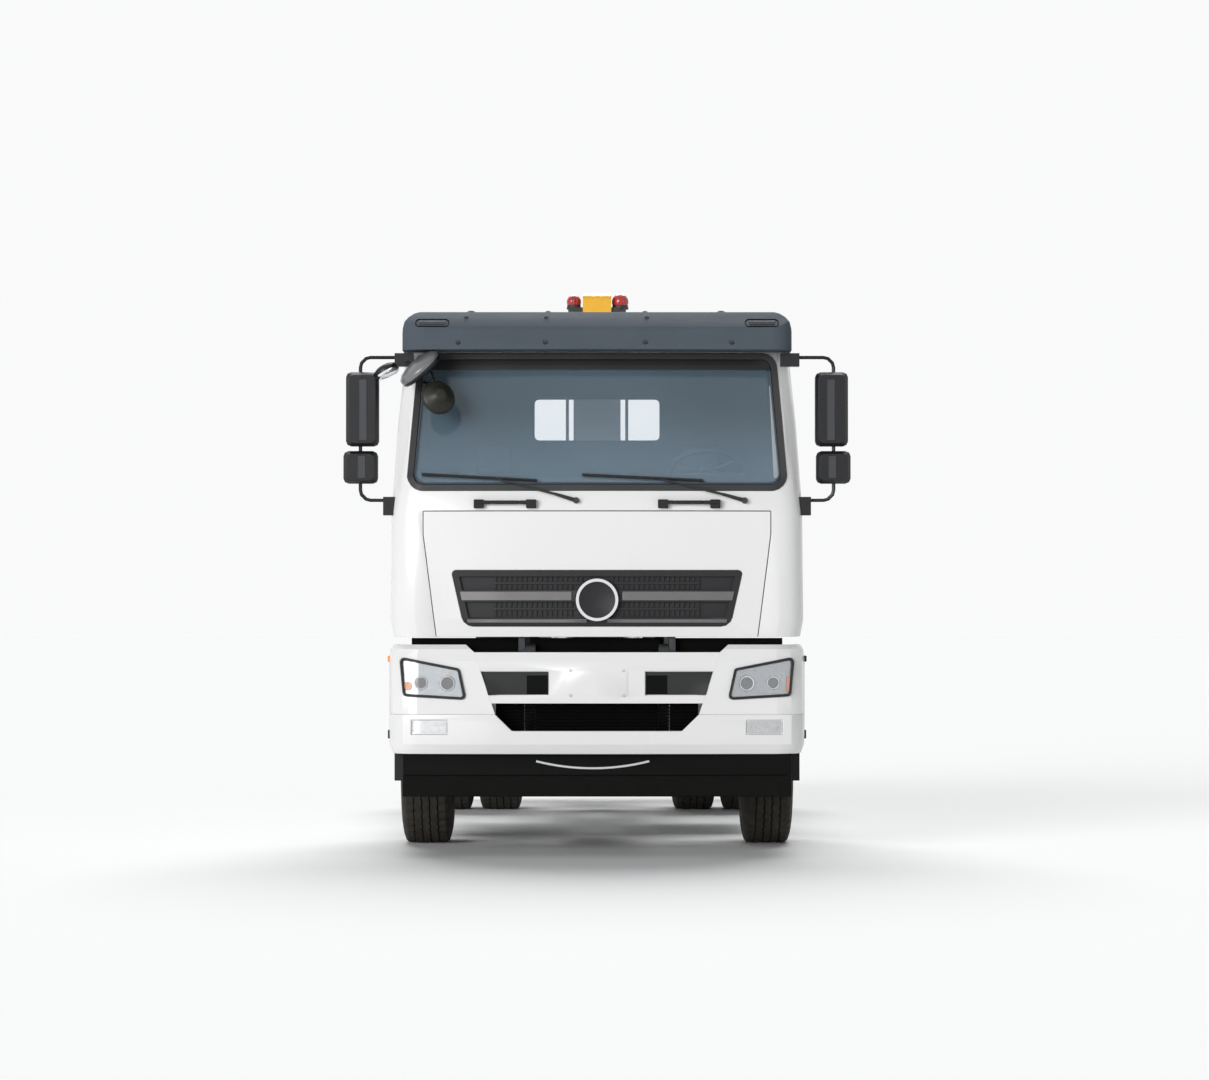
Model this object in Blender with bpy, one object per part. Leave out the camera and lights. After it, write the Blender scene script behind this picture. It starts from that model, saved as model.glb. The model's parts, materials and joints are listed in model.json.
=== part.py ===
"""Two-axle hook lift truck: cab-over chassis with a sliding hook arm on a tipping frame.

Metres, +Z up. The truck faces -Y and its left side is +X. Every length below is measured
from the front of the bumper (along Y), from the middle plane (X) or from the ground (Z),
and the whole truck hangs on one empty that puts the middle of its length at Y = 0.
"""
import math

import bmesh
import bpy
from mathutils import Matrix, Vector

for old in list(bpy.data.objects):
    bpy.data.objects.remove(old, do_unlink=True)

# Whole truck
TRUCK_LENGTH = 7.10
CAB_LENGTH = 2.020
HOIST_GAP = 0.210
FRONT_AXLE = 1.40
REAR_AXLE = 5.48
SEAT_GAP = 0.0003
MOVING_GAP = 0.006
OVERRUN = 0.05
PIN_GAP = 0.0004
CORNER_STEPS = 3
SIDES = (("left", 1), ("right", -1))

# Tyres and wheels
TYRE_RADIUS = 0.538
TYRE_WIDTH = 0.312
RIM_RADIUS = 0.2855
TYRE_SECTION_SHARES = ((0.74, 0), (0.74, 0.06), (1, 0.42), (0.96, 0.84), (0.74, 1))
WHEEL_STEPS = 24
FRONT_TYRE_OUT = 1.05
TWIN_SPACING = 0.350
REAR_TYRE_FACE = 1.200
TWIN_OUT = REAR_TYRE_FACE - TYRE_WIDTH / 2 - TWIN_SPACING / 2
RIM_LIP_RADIUS = 0.300
RIM_LIP_WIDTH = 0.012
RIM_WALL = 0.014
HUB_REACH = 0.200
HUB_CAP_RADIUS = 0.062
HUB_BARREL_RADIUS = 0.082
NUT_FLANGE_RADIUS = 0.178
NUT_FLANGE_FACE = 0.122
DISC_THICKNESS = 0.020
DISC_FOOT = 0.055
DRUM_RADIUS = 0.205
FRONT_DRUM_BACK = 0.085
SPINDLE_RADIUS = 0.036
SPINDLE_REACH = 0.060
TWIN_HUB_REACH = 0.262
TWIN_HUB_RADIUS = 0.105
TWIN_HUB_NECK = 0.135
TWIN_DISC_FOOT = 0.060
TWIN_DRUM_BACK = 0.235
TWIN_SPINDLE_REACH = -0.030

# Steering knuckles and tie rod
KINGPIN_OUT = 0.860
KNUCKLE_HEIGHT = 0.190
KNUCKLE_LUG = 0.040
KNUCKLE_LUG_RADIUS = 0.050
KNUCKLE_WEB = 0.030
KNUCKLE_WEB_OUT = 0.070
KNUCKLE_WEB_DEPTH = 0.110
STEER_ARM_BACK = 0.300
STEER_ARM_IN = 0.060
STEER_ARM_WIDTH = 0.045
STEER_ARM_THICK = 0.024
TIE_ROD_RADIUS = 0.016
TIE_ROD_DROP = 0.036

# Front axle with its leaf springs
AXLE_BEAM_HEIGHT = 0.085
AXLE_BEAM_WIDTH = 0.100
AXLE_BEAM_DROP = 0.075
AXLE_BEND_OUT = 0.560
AXLE_EYE_RADIUS = 0.048
AXLE_WEB_SHARE = 0.45
FRONT_SPRING_OUT = 0.400
SPRING_WIDTH = 0.075
FRONT_SPRING_LENGTH = 1.50
SPRING_THICK = 0.070
SPRING_LEAF = 0.022
SPRING_SAG = 0.050

# Rear axle with springs and propeller shaft
REAR_SPRING_OUT = 0.478
REAR_SPRING_LENGTH = 1.45
REAR_SPRING_THICK = 0.100
AXLE_TUBE_RADIUS = 0.070
AXLE_SPINDLE_RADIUS = 0.045
AXLE_TUBE_OUT = 0.600
BANJO_RADIUS = 0.205
BANJO_WIDTH = 0.150
BANJO_NOSE = 0.330
BANJO_NOSE_RADIUS = 0.085
SHAFT_RADIUS = 0.045
SHAFT_FLANGE_RADIUS = 0.075
SHAFT_FLANGE = 0.040

# Chassis frame
RAIL_OUT = 0.430
RAIL_FLANGE = 0.080
RAIL_WALL = 0.012
RAIL_TOP = 1.000
RAIL_HEIGHT = 0.280
RAIL_FRONT = 0.340
RAIL_REAR = 6.950
CROSSMEMBER_HEIGHT = 0.200
CROSSMEMBER_LENGTH = 0.090
CROSSMEMBER_PLACES = (0.345, 2.60, 4.55, 6.20, 6.85)
TOWER_IN = 0.365
TOWER_WIDTH = 0.060
CAB_REST_LENGTH = 0.120
CAB_REST_PLACE = CAB_LENGTH - CAB_REST_LENGTH - 0.080
HANGER_LENGTH = 0.070

# Engine with gearbox, one plain block
ENGINE_FRONT = 0.480
ENGINE_REAR = 1.560
ENGINE_HALF_WIDTH = 0.300
ENGINE_TOP = 1.262
ENGINE_BOTTOM = 0.600
GEARBOX_REAR = 2.250
GEARBOX_TOP = 0.980
GEARBOX_BOTTOM = 0.640
SUMP_FRONT = 0.560

# Cab body
CAB_BOTTOM = 1.291
CAB_TOP = 3.160
CAB_HALF_WIDTH = 1.228
CAB_SETBACK = 0.030
CAB_WALL = 0.060
SCREEN_RAKE = 0.240
CAB_FRONT_RADIUS = 0.150
CAB_REAR_RADIUS = 0.060
CAB_BOW = 0.060
CAB_LEVEL_SHARES = (
    (0.000, 0.985, 0.10, 1.000),
    (0.055, 1.000, 0.00, 1.000),
    (0.400, 0.996, 0.10, 1.000),
    (0.465, 0.990, 0.20, 1.000),
    (0.680, 0.970, 0.60, 1.000),
    (0.890, 0.940, 1.00, 0.998),
    (0.945, 0.915, 1.25, 0.992),
    (0.980, 0.860, 1.75, 0.975),
    (1.000, 0.740, 2.70, 0.930),
)
BOW_SHARES = (0.55,)

# Cab openings
SCREEN_BOTTOM = 2.175
SCREEN_TOP = 2.965
SCREEN_BOTTOM_OUT = 1.115
SCREEN_TOP_OUT = 1.052
SCREEN_CORNER = 0.075
GLASS_THICK = 0.010
GLASS_INSET = 0.016
REAR_WINDOW_OUT = 0.415
REAR_WINDOW_BOTTOM = 2.513
REAR_WINDOW_TOP = 2.807
REAR_WINDOW_CORNER = 0.045

# Front flap with the grille
FLAP_TOP = 2.036
FLAP_TOP_OUT = 1.028
FLAP_BEND = 1.900
FLAP_BOTTOM_OUT = 0.943
FLAP_THICK = 0.030
FLAP_GAP = 0.004
GRILLE_TOP = 1.686
GRILLE_BOTTOM = 1.352
GRILLE_TOP_OUT = 0.864
GRILLE_BOTTOM_OUT = 0.788
GRILLE_TOP_CORNER = 0.022
GRILLE_BOTTOM_CORNER = 0.070
GRILLE_BORDER = 0.038
GRILLE_FACE = -0.004
GRILLE_BACK = 0.026
GRILLE_PLATE = 0.008
GRILLE_BAR_DEPTH = 0.016
MIDDLE_BAR_TOP = 1.568
MIDDLE_BAR_BOTTOM = 1.498
LOWER_BAR_TOP = 1.405
LOWER_BAR_BOTTOM = 1.366
THIN_BAR = 0.014
THIN_BAR_PLACES = (1.602, 1.450)
BLANK_IN = 0.610
BADGE_DROP = 0.009
BADGE_HEIGHT = (GRILLE_TOP + GRILLE_BOTTOM) / 2 - BADGE_DROP
BADGE_RADIUS = 0.132
BADGE_RING = 0.020
BADGE_PROUD = 0.016

# Doors
DOOR_FRONT = 0.440
DOOR_REAR = 1.540
DOOR_BOTTOM = 1.315
DOOR_TOP = 2.960
DOOR_CORNER = 0.080
DOOR_THICK = 0.060
DOOR_GAP = 0.008
DOOR_WINDOW_BOTTOM = 2.130
DOOR_WINDOW_TOP = 2.870
DOOR_WINDOW_FRONT = 0.540
DOOR_WINDOW_REAR = 1.450
DOOR_HANDLE_LENGTH = 0.170
DOOR_HANDLE_HEIGHT = 1.950
DOOR_HANDLE_THICK = 0.024
DOOR_HANDLE_PROUD = 0.030

# Roof visor
VISOR_BOTTOM = 2.992
VISOR_TOP = 3.230
VISOR_OUT = 1.158
VISOR_FRONT = 0.020
VISOR_REAR = 0.950
VISOR_SIDE_RADIUS = 0.130
VISOR_BROW = 0.110
VISOR_WALL = 0.030
VISOR_BOW = 0.050

# Cab inside
FLOOR_THICK = 0.070
FLOOR_FRONT = 0.092
TUNNEL_OUT = 0.330
TUNNEL_HEIGHT = 0.230
DASH_FRONT = 0.330
DASH_REAR = 0.640
DASH_TOP = 2.245
DASH_BOTTOM = 1.760
DASH_OUT = 1.080
DASH_RADIUS = 0.060
SEAT_OUT = 0.650
SEAT_WIDTH = 0.470
SEAT_LENGTH = 0.560
SEAT_REAR = CAB_LENGTH - 0.380
SEAT_FRONT = SEAT_REAR - SEAT_LENGTH
SEAT_BASE_TOP = 1.840
SEAT_BACK_TOP = 2.480
SEAT_BACK_THICK = 0.130
SEAT_RADIUS = 0.050
STEER_WHEEL_OUT = 0.670
STEER_WHEEL_PLACE = 0.860
STEER_WHEEL_HEIGHT = 2.300
STEER_WHEEL_RADIUS = 0.220
STEER_RIM_RADIUS = 0.015
STEER_TILT = math.radians(32)
COLUMN_RADIUS = 0.030
HUB_PAD_RADIUS = 0.060
HUB_PAD_THICK = 0.040

# Cab hinge
CAB_HINGE_PLACE = 0.115
CAB_HINGE_HEIGHT = 1.215
CAB_HINGE_RADIUS = 0.034
CAB_LUG_WIDTH = 0.040

# Mirrors
MIRROR_TUBE_RADIUS = 0.012
MIRROR_TUBE_OUT = 1.410
MIRROR_TUBE_TOP = 2.955
MIRROR_TUBE_BOTTOM = 2.104
MIRROR_PLACE = 0.240
MIRROR_MAIN_IN = 1.300
MIRROR_MAIN_OUT = 1.495
MIRROR_MAIN_BOTTOM = 2.424
MIRROR_MAIN_TOP = 2.866
MIRROR_LOW_IN = 1.306
MIRROR_LOW_OUT = 1.510
MIRROR_LOW_BOTTOM = 2.202
MIRROR_LOW_TOP = 2.396
MIRROR_DEPTH = 0.095
MIRROR_CORNER = 0.030
MIRROR_BEND = 0.060
MIRROR_BRACKET_WIDTH = 0.045
MIRROR_BRACKET_HEIGHT = 0.110
MIRROR_BRACKET_LENGTH = 0.080

# Bumper
BUMPER_BOTTOM = 0.598
BUMPER_TOP = 1.245
BUMPER_HALF_WIDTH = 1.235
BUMPER_RADIUS = 0.170
BUMPER_BOW = 0.050
BUMPER_WRAP = 0.320
BUMPER_WALL = 0.045
BUMPER_CENTRE_TOP = 1.200
BUMPER_SEAM_TOP_OUT = 0.726
BUMPER_SEAM_LOW_OUT = 0.602
BUMPER_MOUTH_TOP = 0.899
BUMPER_MOUTH_BOTTOM = 0.736
BUMPER_MOUTH_SLOPE = 0.100
WING_SEAM = 0.834
BUMPER_LEVEL_SHARES = (
    (0.00, 0.982, 0.55),
    (0.09, 0.998, 0.08),
    (0.30, 1.000, 0.00),
    (0.85, 1.000, 0.10),
    (0.96, 0.994, 0.45),
    (1.00, 0.980, 1.00),
)
BUMPER_TUCK = 0.050
BUMPER_GAP = 0.0003
VENT_TOP = 1.089
VENT_BOTTOM = 0.945
VENT_IN = 0.282
VENT_TOP_OUT = 0.688
VENT_BOTTOM_OUT = 0.646
VENT_DEPTH = 0.022
PLATE_OUT = 0.180
PLATE_PROUD = 0.003
LAMP_OUTER_TOP = (1.172, 1.173)
LAMP_INNER_TOP = (0.808, 1.102)
LAMP_INNER_BOTTOM = (0.768, 0.920)
LAMP_OUTER_BOTTOM = (1.150, 0.942)
LAMP_CORNER = 0.020
FOG_IN = 0.882
FOG_OUT = 1.098
FOG_TOP = 0.800
FOG_BOTTOM = 0.714
FOG_DEPTH = 0.012

# Front underrun panel
UNDERRUN_OUT = 1.150
UNDERRUN_BOTTOM = 0.347
UNDERRUN_STEP = 0.471
UNDERRUN_FACE = 0.060
UNDERRUN_BACK_FACE = 0.100
UNDERRUN_DEPTH = 0.060
UNDERRUN_STAY_OUT = 0.390
UNDERRUN_STAY_WIDTH = 0.060

# Entry steps with the front mudguards
STEP_IN = 0.800
STEP_OUT = 1.210
STEP_FRONT = BUMPER_WRAP + SEAT_GAP
STEP_REAR = 0.750
STEP_BOTTOM = 0.430
STEP_TOP = 1.225
STEP_HEIGHTS = (0.560, 0.860)
STEP_WELL_HEIGHT = 0.220
STEP_WELL_DEPTH = 0.180
STEP_WELL_MARGIN = 0.040
GUARD_RADIUS = 0.660
GUARD_THICK = 0.010
GUARD_REAR_ANGLE = math.radians(12)
GUARD_FRONT_ANGLE = math.radians(180)
GUARD_STEPS = 12
GUARD_STAY = 0.040

# Rear mudguards
REAR_GUARD_RADIUS = 0.610
REAR_GUARD_IN = 0.530
REAR_GUARD_OUT = 1.215
REAR_GUARD_ANGLE = math.radians(22)
REAR_GUARD_STAY = 0.022

# Tanks and boxes beside the frame
TANK_IN = 0.4303
TANK_OUT = 1.120
TANK_FRONT = 2.700
TANK_REAR = 3.750
TANK_TOP = 1.000
TANK_BOTTOM = 0.460
TANK_RADIUS = 0.090
SILENCER_FRONT = 2.500
SILENCER_REAR = 3.150
SILENCER_TOP = 1.000
SILENCER_BOTTOM = 0.440
SILENCER_RADIUS = 0.150
PIPE_RADIUS = 0.055
PIPE_LENGTH = 0.180
BATTERY_FRONT = 3.260
BATTERY_REAR = 3.880
BATTERY_OUT = 1.060
BATTERY_TOP = 0.960
BATTERY_BOTTOM = 0.700
AIR_TANK_RADIUS = 0.105
AIR_TANK_HEIGHT = 0.590
OIL_TANK_LENGTH = 0.300
OIL_TANK_FRONT = CAB_LENGTH + HOIST_GAP - 0.100
OIL_TANK_REAR = OIL_TANK_FRONT + OIL_TANK_LENGTH
OIL_TANK_IN = 0.360
OIL_TANK_OUT = STEP_IN - 0.020
OIL_TANK_TOP = 1.640
OIL_TANK_RADIUS = 0.040

# Side guards
SIDE_GUARD_OUT = 1.160
SIDE_GUARD_THICK = 0.030
SIDE_GUARD_BAR = 0.090
SIDE_GUARD_HEIGHTS = (0.520, 0.800)
SIDE_GUARD_FRONT = 3.960
SIDE_GUARD_REAR = 4.780
SIDE_GUARD_POST = 0.050
SIDE_GUARD_POST_PLACES = (4.080, 4.620)

# Rear bar with lamps
REAR_BAR_OUT = 1.150
REAR_BAR_BOTTOM = 0.440
REAR_BAR_HEIGHT = 0.120
REAR_BAR_DEPTH = 0.080
REAR_LAMP_IN = 0.740
REAR_LAMP_TOP = 0.760
REAR_LAMP_DEPTH = 0.060
REAR_STAY_OUT = 0.390
REAR_STAY_WIDTH = 0.050
REAR_STAY_LENGTH = 0.110

# Lift subframe
SUB_IN = 0.350
SUB_OUT = 0.430
SUB_TOP = 1.120
SUB_FRONT = CAB_LENGTH + HOIST_GAP + 0.250
SUB_WALL = 0.012
SUB_CROSS_PLACES = (SUB_FRONT, 4.300)
SUB_CROSS_LENGTH = 0.080
SUB_CROSS_HEIGHT = 0.050
FOOT_PLACE = SUB_FRONT + 0.370
FOOT_HEIGHT = 1.000
FOOT_TUBE_RADIUS = 0.033
FOOT_PLATE = 0.016
FOOT_PLATE_RADIUS = 0.075
TIP_PLACE = 6.850
TIP_HEIGHT = 1.100
TIP_TUBE_RADIUS = 0.036
LOCK_PLACE = 4.300
LOCK_REACH = 0.110
LOCK_HEIGHT = 0.060
LOCK_LENGTH = 0.160

# Tipping frame
TIP_PLATE_IN = 0.312
TIP_PLATE = 0.028
TIP_EYE_RADIUS = 0.085
ARM_PLACE = 5.600
ARM_HEIGHT = 1.100
ARM_TUBE_RADIUS = 0.040
TIP_CROSS_PLACE = 6.300
TIP_CROSS_LENGTH = 0.220
TIP_CROSS_HEIGHT = 0.090
ROLLER_PLACE = 6.960
ROLLER_HEIGHT = 1.225
ROLLER_RADIUS = 0.085
ROLLER_IN = 0.470
ROLLER_OUT = 0.590
ROLLER_FLANGE = 0.014
ROLLER_FLANGE_RADIUS = 0.115
ROLLER_PIN_RADIUS = 0.034

# Main arm
SLEEVE_OUT = 0.150
SLEEVE_TOP = 1.440
SLEEVE_BOTTOM = 1.190
SLEEVE_WALL = 0.016
SLEEVE_REAR = 5.480
ARM_LUG_OUT = 0.120
ARM_EYE_RADIUS = 0.085
LIFT_PIN_PLACE = 4.866
LIFT_PIN_HEIGHT = 1.256
LIFT_PIN_RADIUS = 0.036
LIFT_LUG_RADIUS = 0.075
LIFT_LUG_OUT = 0.172

# Hook jib
BEAM_GAP = 0.0004
BEAM_REAR = 4.400
POST_OUT = 0.152
POST_LENGTH = 0.370
POST_FRONT = CAB_LENGTH + HOIST_GAP
POST_REAR = POST_FRONT + POST_LENGTH
POST_KNEE = 0.240
JIB_STROKE = 0.700
SLEEVE_FRONT = POST_REAR + POST_KNEE + JIB_STROKE + 0.020
POST_BASE = 1.185
POST_TOP = 3.300
POST_TOP_LENGTH = 0.200
POST_TOP_FRONT = POST_FRONT + 0.040
POST_TOP_REAR = POST_TOP_FRONT + POST_TOP_LENGTH
POST_CORNER = 0.050
HOOK_OUT = 0.092
HOOK_TOP = 3.500
HOOK_EYE_RADIUS = 0.062
HOOK_REACH = 0.430
HOOK_REAR = POST_TOP_FRONT + HOOK_REACH
HOOK_EYE_PLACE = HOOK_REAR - 0.140
HOOK_EYE_HEIGHT = 3.400
HOOK_THICK = 0.070
LAMP_BALL_OUT = 0.150
LAMP_BALL_RADIUS = 0.046
LAMP_BALL_HEIGHT = 3.440
LAMP_BASE_HEIGHT = 0.040
LAMP_STAY = 0.018

# Lift cylinders
CYLINDER_OUT = 0.240
BARREL_RADIUS = 0.068
ROD_SHOWING = 0.332
BARREL_LENGTH = math.hypot(LIFT_PIN_PLACE - FOOT_PLACE, LIFT_PIN_HEIGHT - FOOT_HEIGHT) - ROD_SHOWING
BARREL_BORE = 0.040
ROD_RADIUS = 0.0396
ROD_INSIDE = BARREL_LENGTH - 0.200
EYE_RADIUS = 0.060
EYE_WIDTH = 0.070
ROUND_STEPS = 12
PIVOT_STEPS = 24


def colour(name, red, green, blue, roughness, metallic=0.0):
    """A Principled material of one colour."""
    material = bpy.data.materials.new(name)
    material.use_nodes = True
    shader = material.node_tree.nodes["Principled BSDF"]
    shader.inputs["Base Color"].default_value = (red, green, blue, 1)
    shader.inputs["Roughness"].default_value = roughness
    shader.inputs["Metallic"].default_value = metallic
    return material


WHITE = colour("white_paint", 0.86, 0.86, 0.84, 0.30)
ANTHRACITE = colour("anthracite_paint", 0.07, 0.085, 0.105, 0.28)
CHARCOAL = colour("charcoal_plastic", 0.060, 0.060, 0.065, 0.50)
BLACK = colour("black_plastic", 0.018, 0.018, 0.020, 0.55)
GLASS = colour("glass", 0.10, 0.15, 0.18, 0.05)
LAMP = colour("lamp_lens", 0.65, 0.67, 0.70, 0.12)
RUBBER = colour("tyre_rubber", 0.022, 0.022, 0.022, 0.85)
WHEEL_STEEL = colour("wheel_steel", 0.55, 0.56, 0.58, 0.40, 0.6)
CHASSIS = colour("chassis_black", 0.030, 0.030, 0.032, 0.50)
ENGINE_METAL = colour("engine_metal", 0.30, 0.31, 0.32, 0.50, 0.7)
TANK_METAL = colour("tank_metal", 0.70, 0.71, 0.72, 0.30, 0.9)
LIFT_PAINT = colour("lift_paint", 0.10, 0.115, 0.13, 0.42)
HOOK_YELLOW = colour("hook_yellow", 0.90, 0.52, 0.03, 0.40)
CHROME = colour("rod_chrome", 0.85, 0.85, 0.86, 0.08, 1.0)
CLOTH = colour("seat_cloth", 0.06, 0.065, 0.07, 0.90)
TRIM = colour("grey_trim", 0.12, 0.13, 0.14, 0.65)


def solid(name, bm, material):
    """A linked object from a closed bmesh, faces pointing out."""
    bmesh.ops.recalc_face_normals(bm, faces=bm.faces)
    mesh = bpy.data.meshes.new(name)
    bm.to_mesh(mesh)
    bm.free()
    mesh.materials.append(material)
    obj = bpy.data.objects.new(name, mesh)
    bpy.context.collection.objects.link(obj)
    return obj


def boolean(base, tool, operation):
    """Applies one exact boolean to base and deletes the tool."""
    modifier = base.modifiers.new(operation, "BOOLEAN")
    modifier.operation = operation
    modifier.solver = "EXACT"
    modifier.object = tool
    graph = bpy.context.evaluated_depsgraph_get()
    mesh = bpy.data.meshes.new_from_object(base.evaluated_get(graph))
    base.modifiers.clear()
    base.data = mesh
    bpy.data.objects.remove(tool, do_unlink=True)
    return base


def cut(base, *tools):
    for tool in tools:
        boolean(base, tool, "DIFFERENCE")
    return base


def add(base, *tools):
    for tool in tools:
        boolean(base, tool, "UNION")
    return base


def keep(base, *tools):
    for tool in tools:
        boolean(base, tool, "INTERSECT")
    return base


def loft(name, rings, material):
    """A closed solid through rings with the same number of points."""
    bm = bmesh.new()
    loops = [[bm.verts.new(point) for point in ring] for ring in rings]
    walls = []
    for low, high in zip(loops, loops[1:]):
        for index, corner in enumerate(low):
            after = (index + 1) % len(low)
            walls.append(bm.faces.new((corner, low[after], high[after], high[index])))
    bm.faces.new(loops[0][::-1])
    bm.faces.new(loops[-1])
    bmesh.ops.triangulate(bm, faces=walls)
    return solid(name, bm, material)


def prism(name, outline, axis, low, high, material):
    """A flat outline pushed along an axis: (y, z) along x, (x, z) along y, (x, y) along z."""
    places = {
        "x": lambda u, v, w: (w, u, v),
        "y": lambda u, v, w: (u, w, v),
        "z": lambda u, v, w: (u, v, w),
    }
    place = places[axis]
    bm = bmesh.new()
    bottom = [bm.verts.new(place(u, v, low)) for u, v in outline]
    top = [bm.verts.new(place(u, v, high)) for u, v in outline]
    bm.faces.new(bottom[::-1])
    bm.faces.new(top)
    for index, corner in enumerate(bottom):
        after = (index + 1) % len(bottom)
        bm.faces.new((corner, bottom[after], top[after], top[index]))
    return solid(name, bm, material)


def box(name, xs, ys, zs, material):
    outline = ((xs[0], ys[0]), (xs[1], ys[0]), (xs[1], ys[1]), (xs[0], ys[1]))
    return prism(name, outline, "z", zs[0], zs[1], material)


def rounded(points, radii, steps=CORNER_STEPS):
    """The outline with its corners rounded; radii is one length or one for each corner."""
    radii = radii if isinstance(radii, (list, tuple)) else [radii] * len(points)
    outline = []
    for index, (point, radius) in enumerate(zip(points, radii)):
        corner = Vector(point)
        before = (Vector(points[index - 1]) - corner).normalized()
        after = (Vector(points[(index + 1) % len(points)]) - corner).normalized()
        if radius == 0:
            outline.append(tuple(corner))
            continue
        half = before.angle(after) / 2
        reach = radius / math.tan(half)
        centre = corner + (before + after).normalized() * radius / math.sin(half)
        first = corner + before * reach - centre
        last = corner + after * reach - centre
        for step in range(steps + 1):
            outline.append(tuple(centre + first.lerp(last, step / steps).normalized() * radius))
    return outline


def lathe(name, profile, centre, material, axis="x", steps=ROUND_STEPS, flats=False):
    """Turns (along, radius) points round an axis; flats puts the flats at the radius."""
    turn = {"x": Matrix(), "y": Matrix.Rotation(math.pi / 2, 4, "Z"),
            "z": Matrix.Rotation(-math.pi / 2, 4, "Y")}
    stretch = 1 / math.cos(math.pi / steps) if flats else 1
    bm = bmesh.new()
    rings = []
    for along, radius in profile:
        if radius == 0:
            rings.append([bm.verts.new((along, 0, 0))])
            continue
        ring = []
        for step in range(steps):
            angle = 2 * math.pi * (step + 0.5) / steps
            reach = radius * stretch
            ring.append(bm.verts.new((along, reach * math.sin(angle), reach * math.cos(angle))))
        rings.append(ring)
    closed = profile[0][1] != 0
    pairs = list(zip(rings, rings[1:])) + ([(rings[-1], rings[0])] if closed else [])
    for low, high in pairs:
        for step in range(steps):
            after = (step + 1) % steps
            if len(low) == 1:
                bm.faces.new((low[0], high[after], high[step]))
            elif len(high) == 1:
                bm.faces.new((low[step], low[after], high[0]))
            else:
                bm.faces.new((low[step], low[after], high[after], high[step]))
    bmesh.ops.transform(bm, matrix=Matrix.Translation(Vector(centre)) @ turn[axis], verts=bm.verts)
    return solid(name, bm, material)


def rod_between(name, start, end, radius, material, steps=ROUND_STEPS):
    """A round bar from start to end."""
    start = Vector(start)
    along = Vector(end) - start
    bm = bmesh.new()
    turn = along.to_track_quat("Z", "X").to_matrix().to_4x4()
    matrix = Matrix.Translation(start + along / 2) @ turn
    bmesh.ops.create_cone(
        bm, cap_ends=True, segments=steps, radius1=radius, radius2=radius,
        depth=along.length, matrix=matrix,
    )
    return solid(name, bm, material)


def pivot_rod(name, place, height, out, radius, material):
    """A round pin across the truck, finely stepped because something turns on it."""
    return rod_between(name, (-out, place, height), (out, place, height), radius, material, PIVOT_STEPS)


def pivot_bore(place, height, out, radius, material):
    """A cutter whose flats clear a pin of the radius at every angle it turns to."""
    return pivot_rod("bore", place, height, out, (radius + PIN_GAP) / math.cos(math.pi / PIVOT_STEPS),
                     material)


def tube(name, route, radius, bend, material, steps=6, bend_steps=3):
    """A round tube along a route of straight runs whose corners are bent to a radius."""
    points = [Vector(route[0])]
    for index in range(1, len(route) - 1):
        corner = Vector(route[index])
        before = (Vector(route[index - 1]) - corner).normalized()
        after = (Vector(route[index + 1]) - corner).normalized()
        half = before.angle(after) / 2
        reach = bend / math.tan(half)
        centre = corner + (before + after).normalized() * bend / math.sin(half)
        first = corner + before * reach - centre
        last = corner + after * reach - centre
        for step in range(bend_steps + 1):
            points.append(centre + first.lerp(last, step / bend_steps).normalized() * bend)
    points.append(Vector(route[-1]))
    tangents = []
    for index in range(len(points)):
        before = points[max(index - 1, 0)]
        after = points[min(index + 1, len(points) - 1)]
        tangents.append((after - before).normalized())
    side = tangents[0].orthogonal().normalized()
    rings = []
    for point, tangent in zip(points, tangents):
        side = (side - tangent * side.dot(tangent)).normalized()
        other = tangent.cross(side)
        ring = []
        for step in range(steps):
            angle = 2 * math.pi * (step + 0.5) / steps
            ring.append(point + (side * math.cos(angle) + other * math.sin(angle)) * radius)
        rings.append(ring)
    return loft(name, rings, material)


def plan_ring(half_width, front, rear, corner, rear_corner, bow, height):
    """One level of a body seen from above: bowed front, rounded corners, straight sides."""
    inner = half_width - corner
    edge = front + bow * (inner / half_width) ** 2
    half = []
    for step in range(CORNER_STEPS):
        angle = math.pi / 2 * (1 - step / (CORNER_STEPS - 1))
        across = half_width - rear_corner + rear_corner * math.cos(angle)
        half.append((across, rear - rear_corner + rear_corner * math.sin(angle)))
    for step in range(CORNER_STEPS + 1):
        angle = -math.pi / 2 * step / CORNER_STEPS
        half.append((inner + corner * math.cos(angle), edge + corner + corner * math.sin(angle)))
    for share in BOW_SHARES:
        half.append((inner * share, front + bow * (inner * share / half_width) ** 2))
    ring = [(x, y, height) for x, y in half]
    ring.append((0, front, height))
    ring += [(-x, y, height) for x, y in reversed(half)]
    return ring


def cab_form(inset, open_below=0.0):
    """The cab's outer body moved in by inset; open_below lengthens it downwards."""
    rings = []
    for height, width, rake, rear in CAB_LEVEL_SHARES:
        level = CAB_BOTTOM + height * (CAB_TOP - CAB_BOTTOM - inset)
        ring = plan_ring(
            CAB_HALF_WIDTH * width - inset, CAB_SETBACK + SCREEN_RAKE * rake + inset,
            CAB_LENGTH * rear - inset,
            CAB_FRONT_RADIUS - inset, CAB_REAR_RADIUS - inset * CAB_REAR_RADIUS / CAB_FRONT_RADIUS,
            CAB_BOW, level)
        if height == 0 and open_below:
            rings.append([(x, y, CAB_BOTTOM - open_below) for x, y, _ in ring])
        rings.append(ring)
    return loft("form", rings, WHITE)


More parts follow.
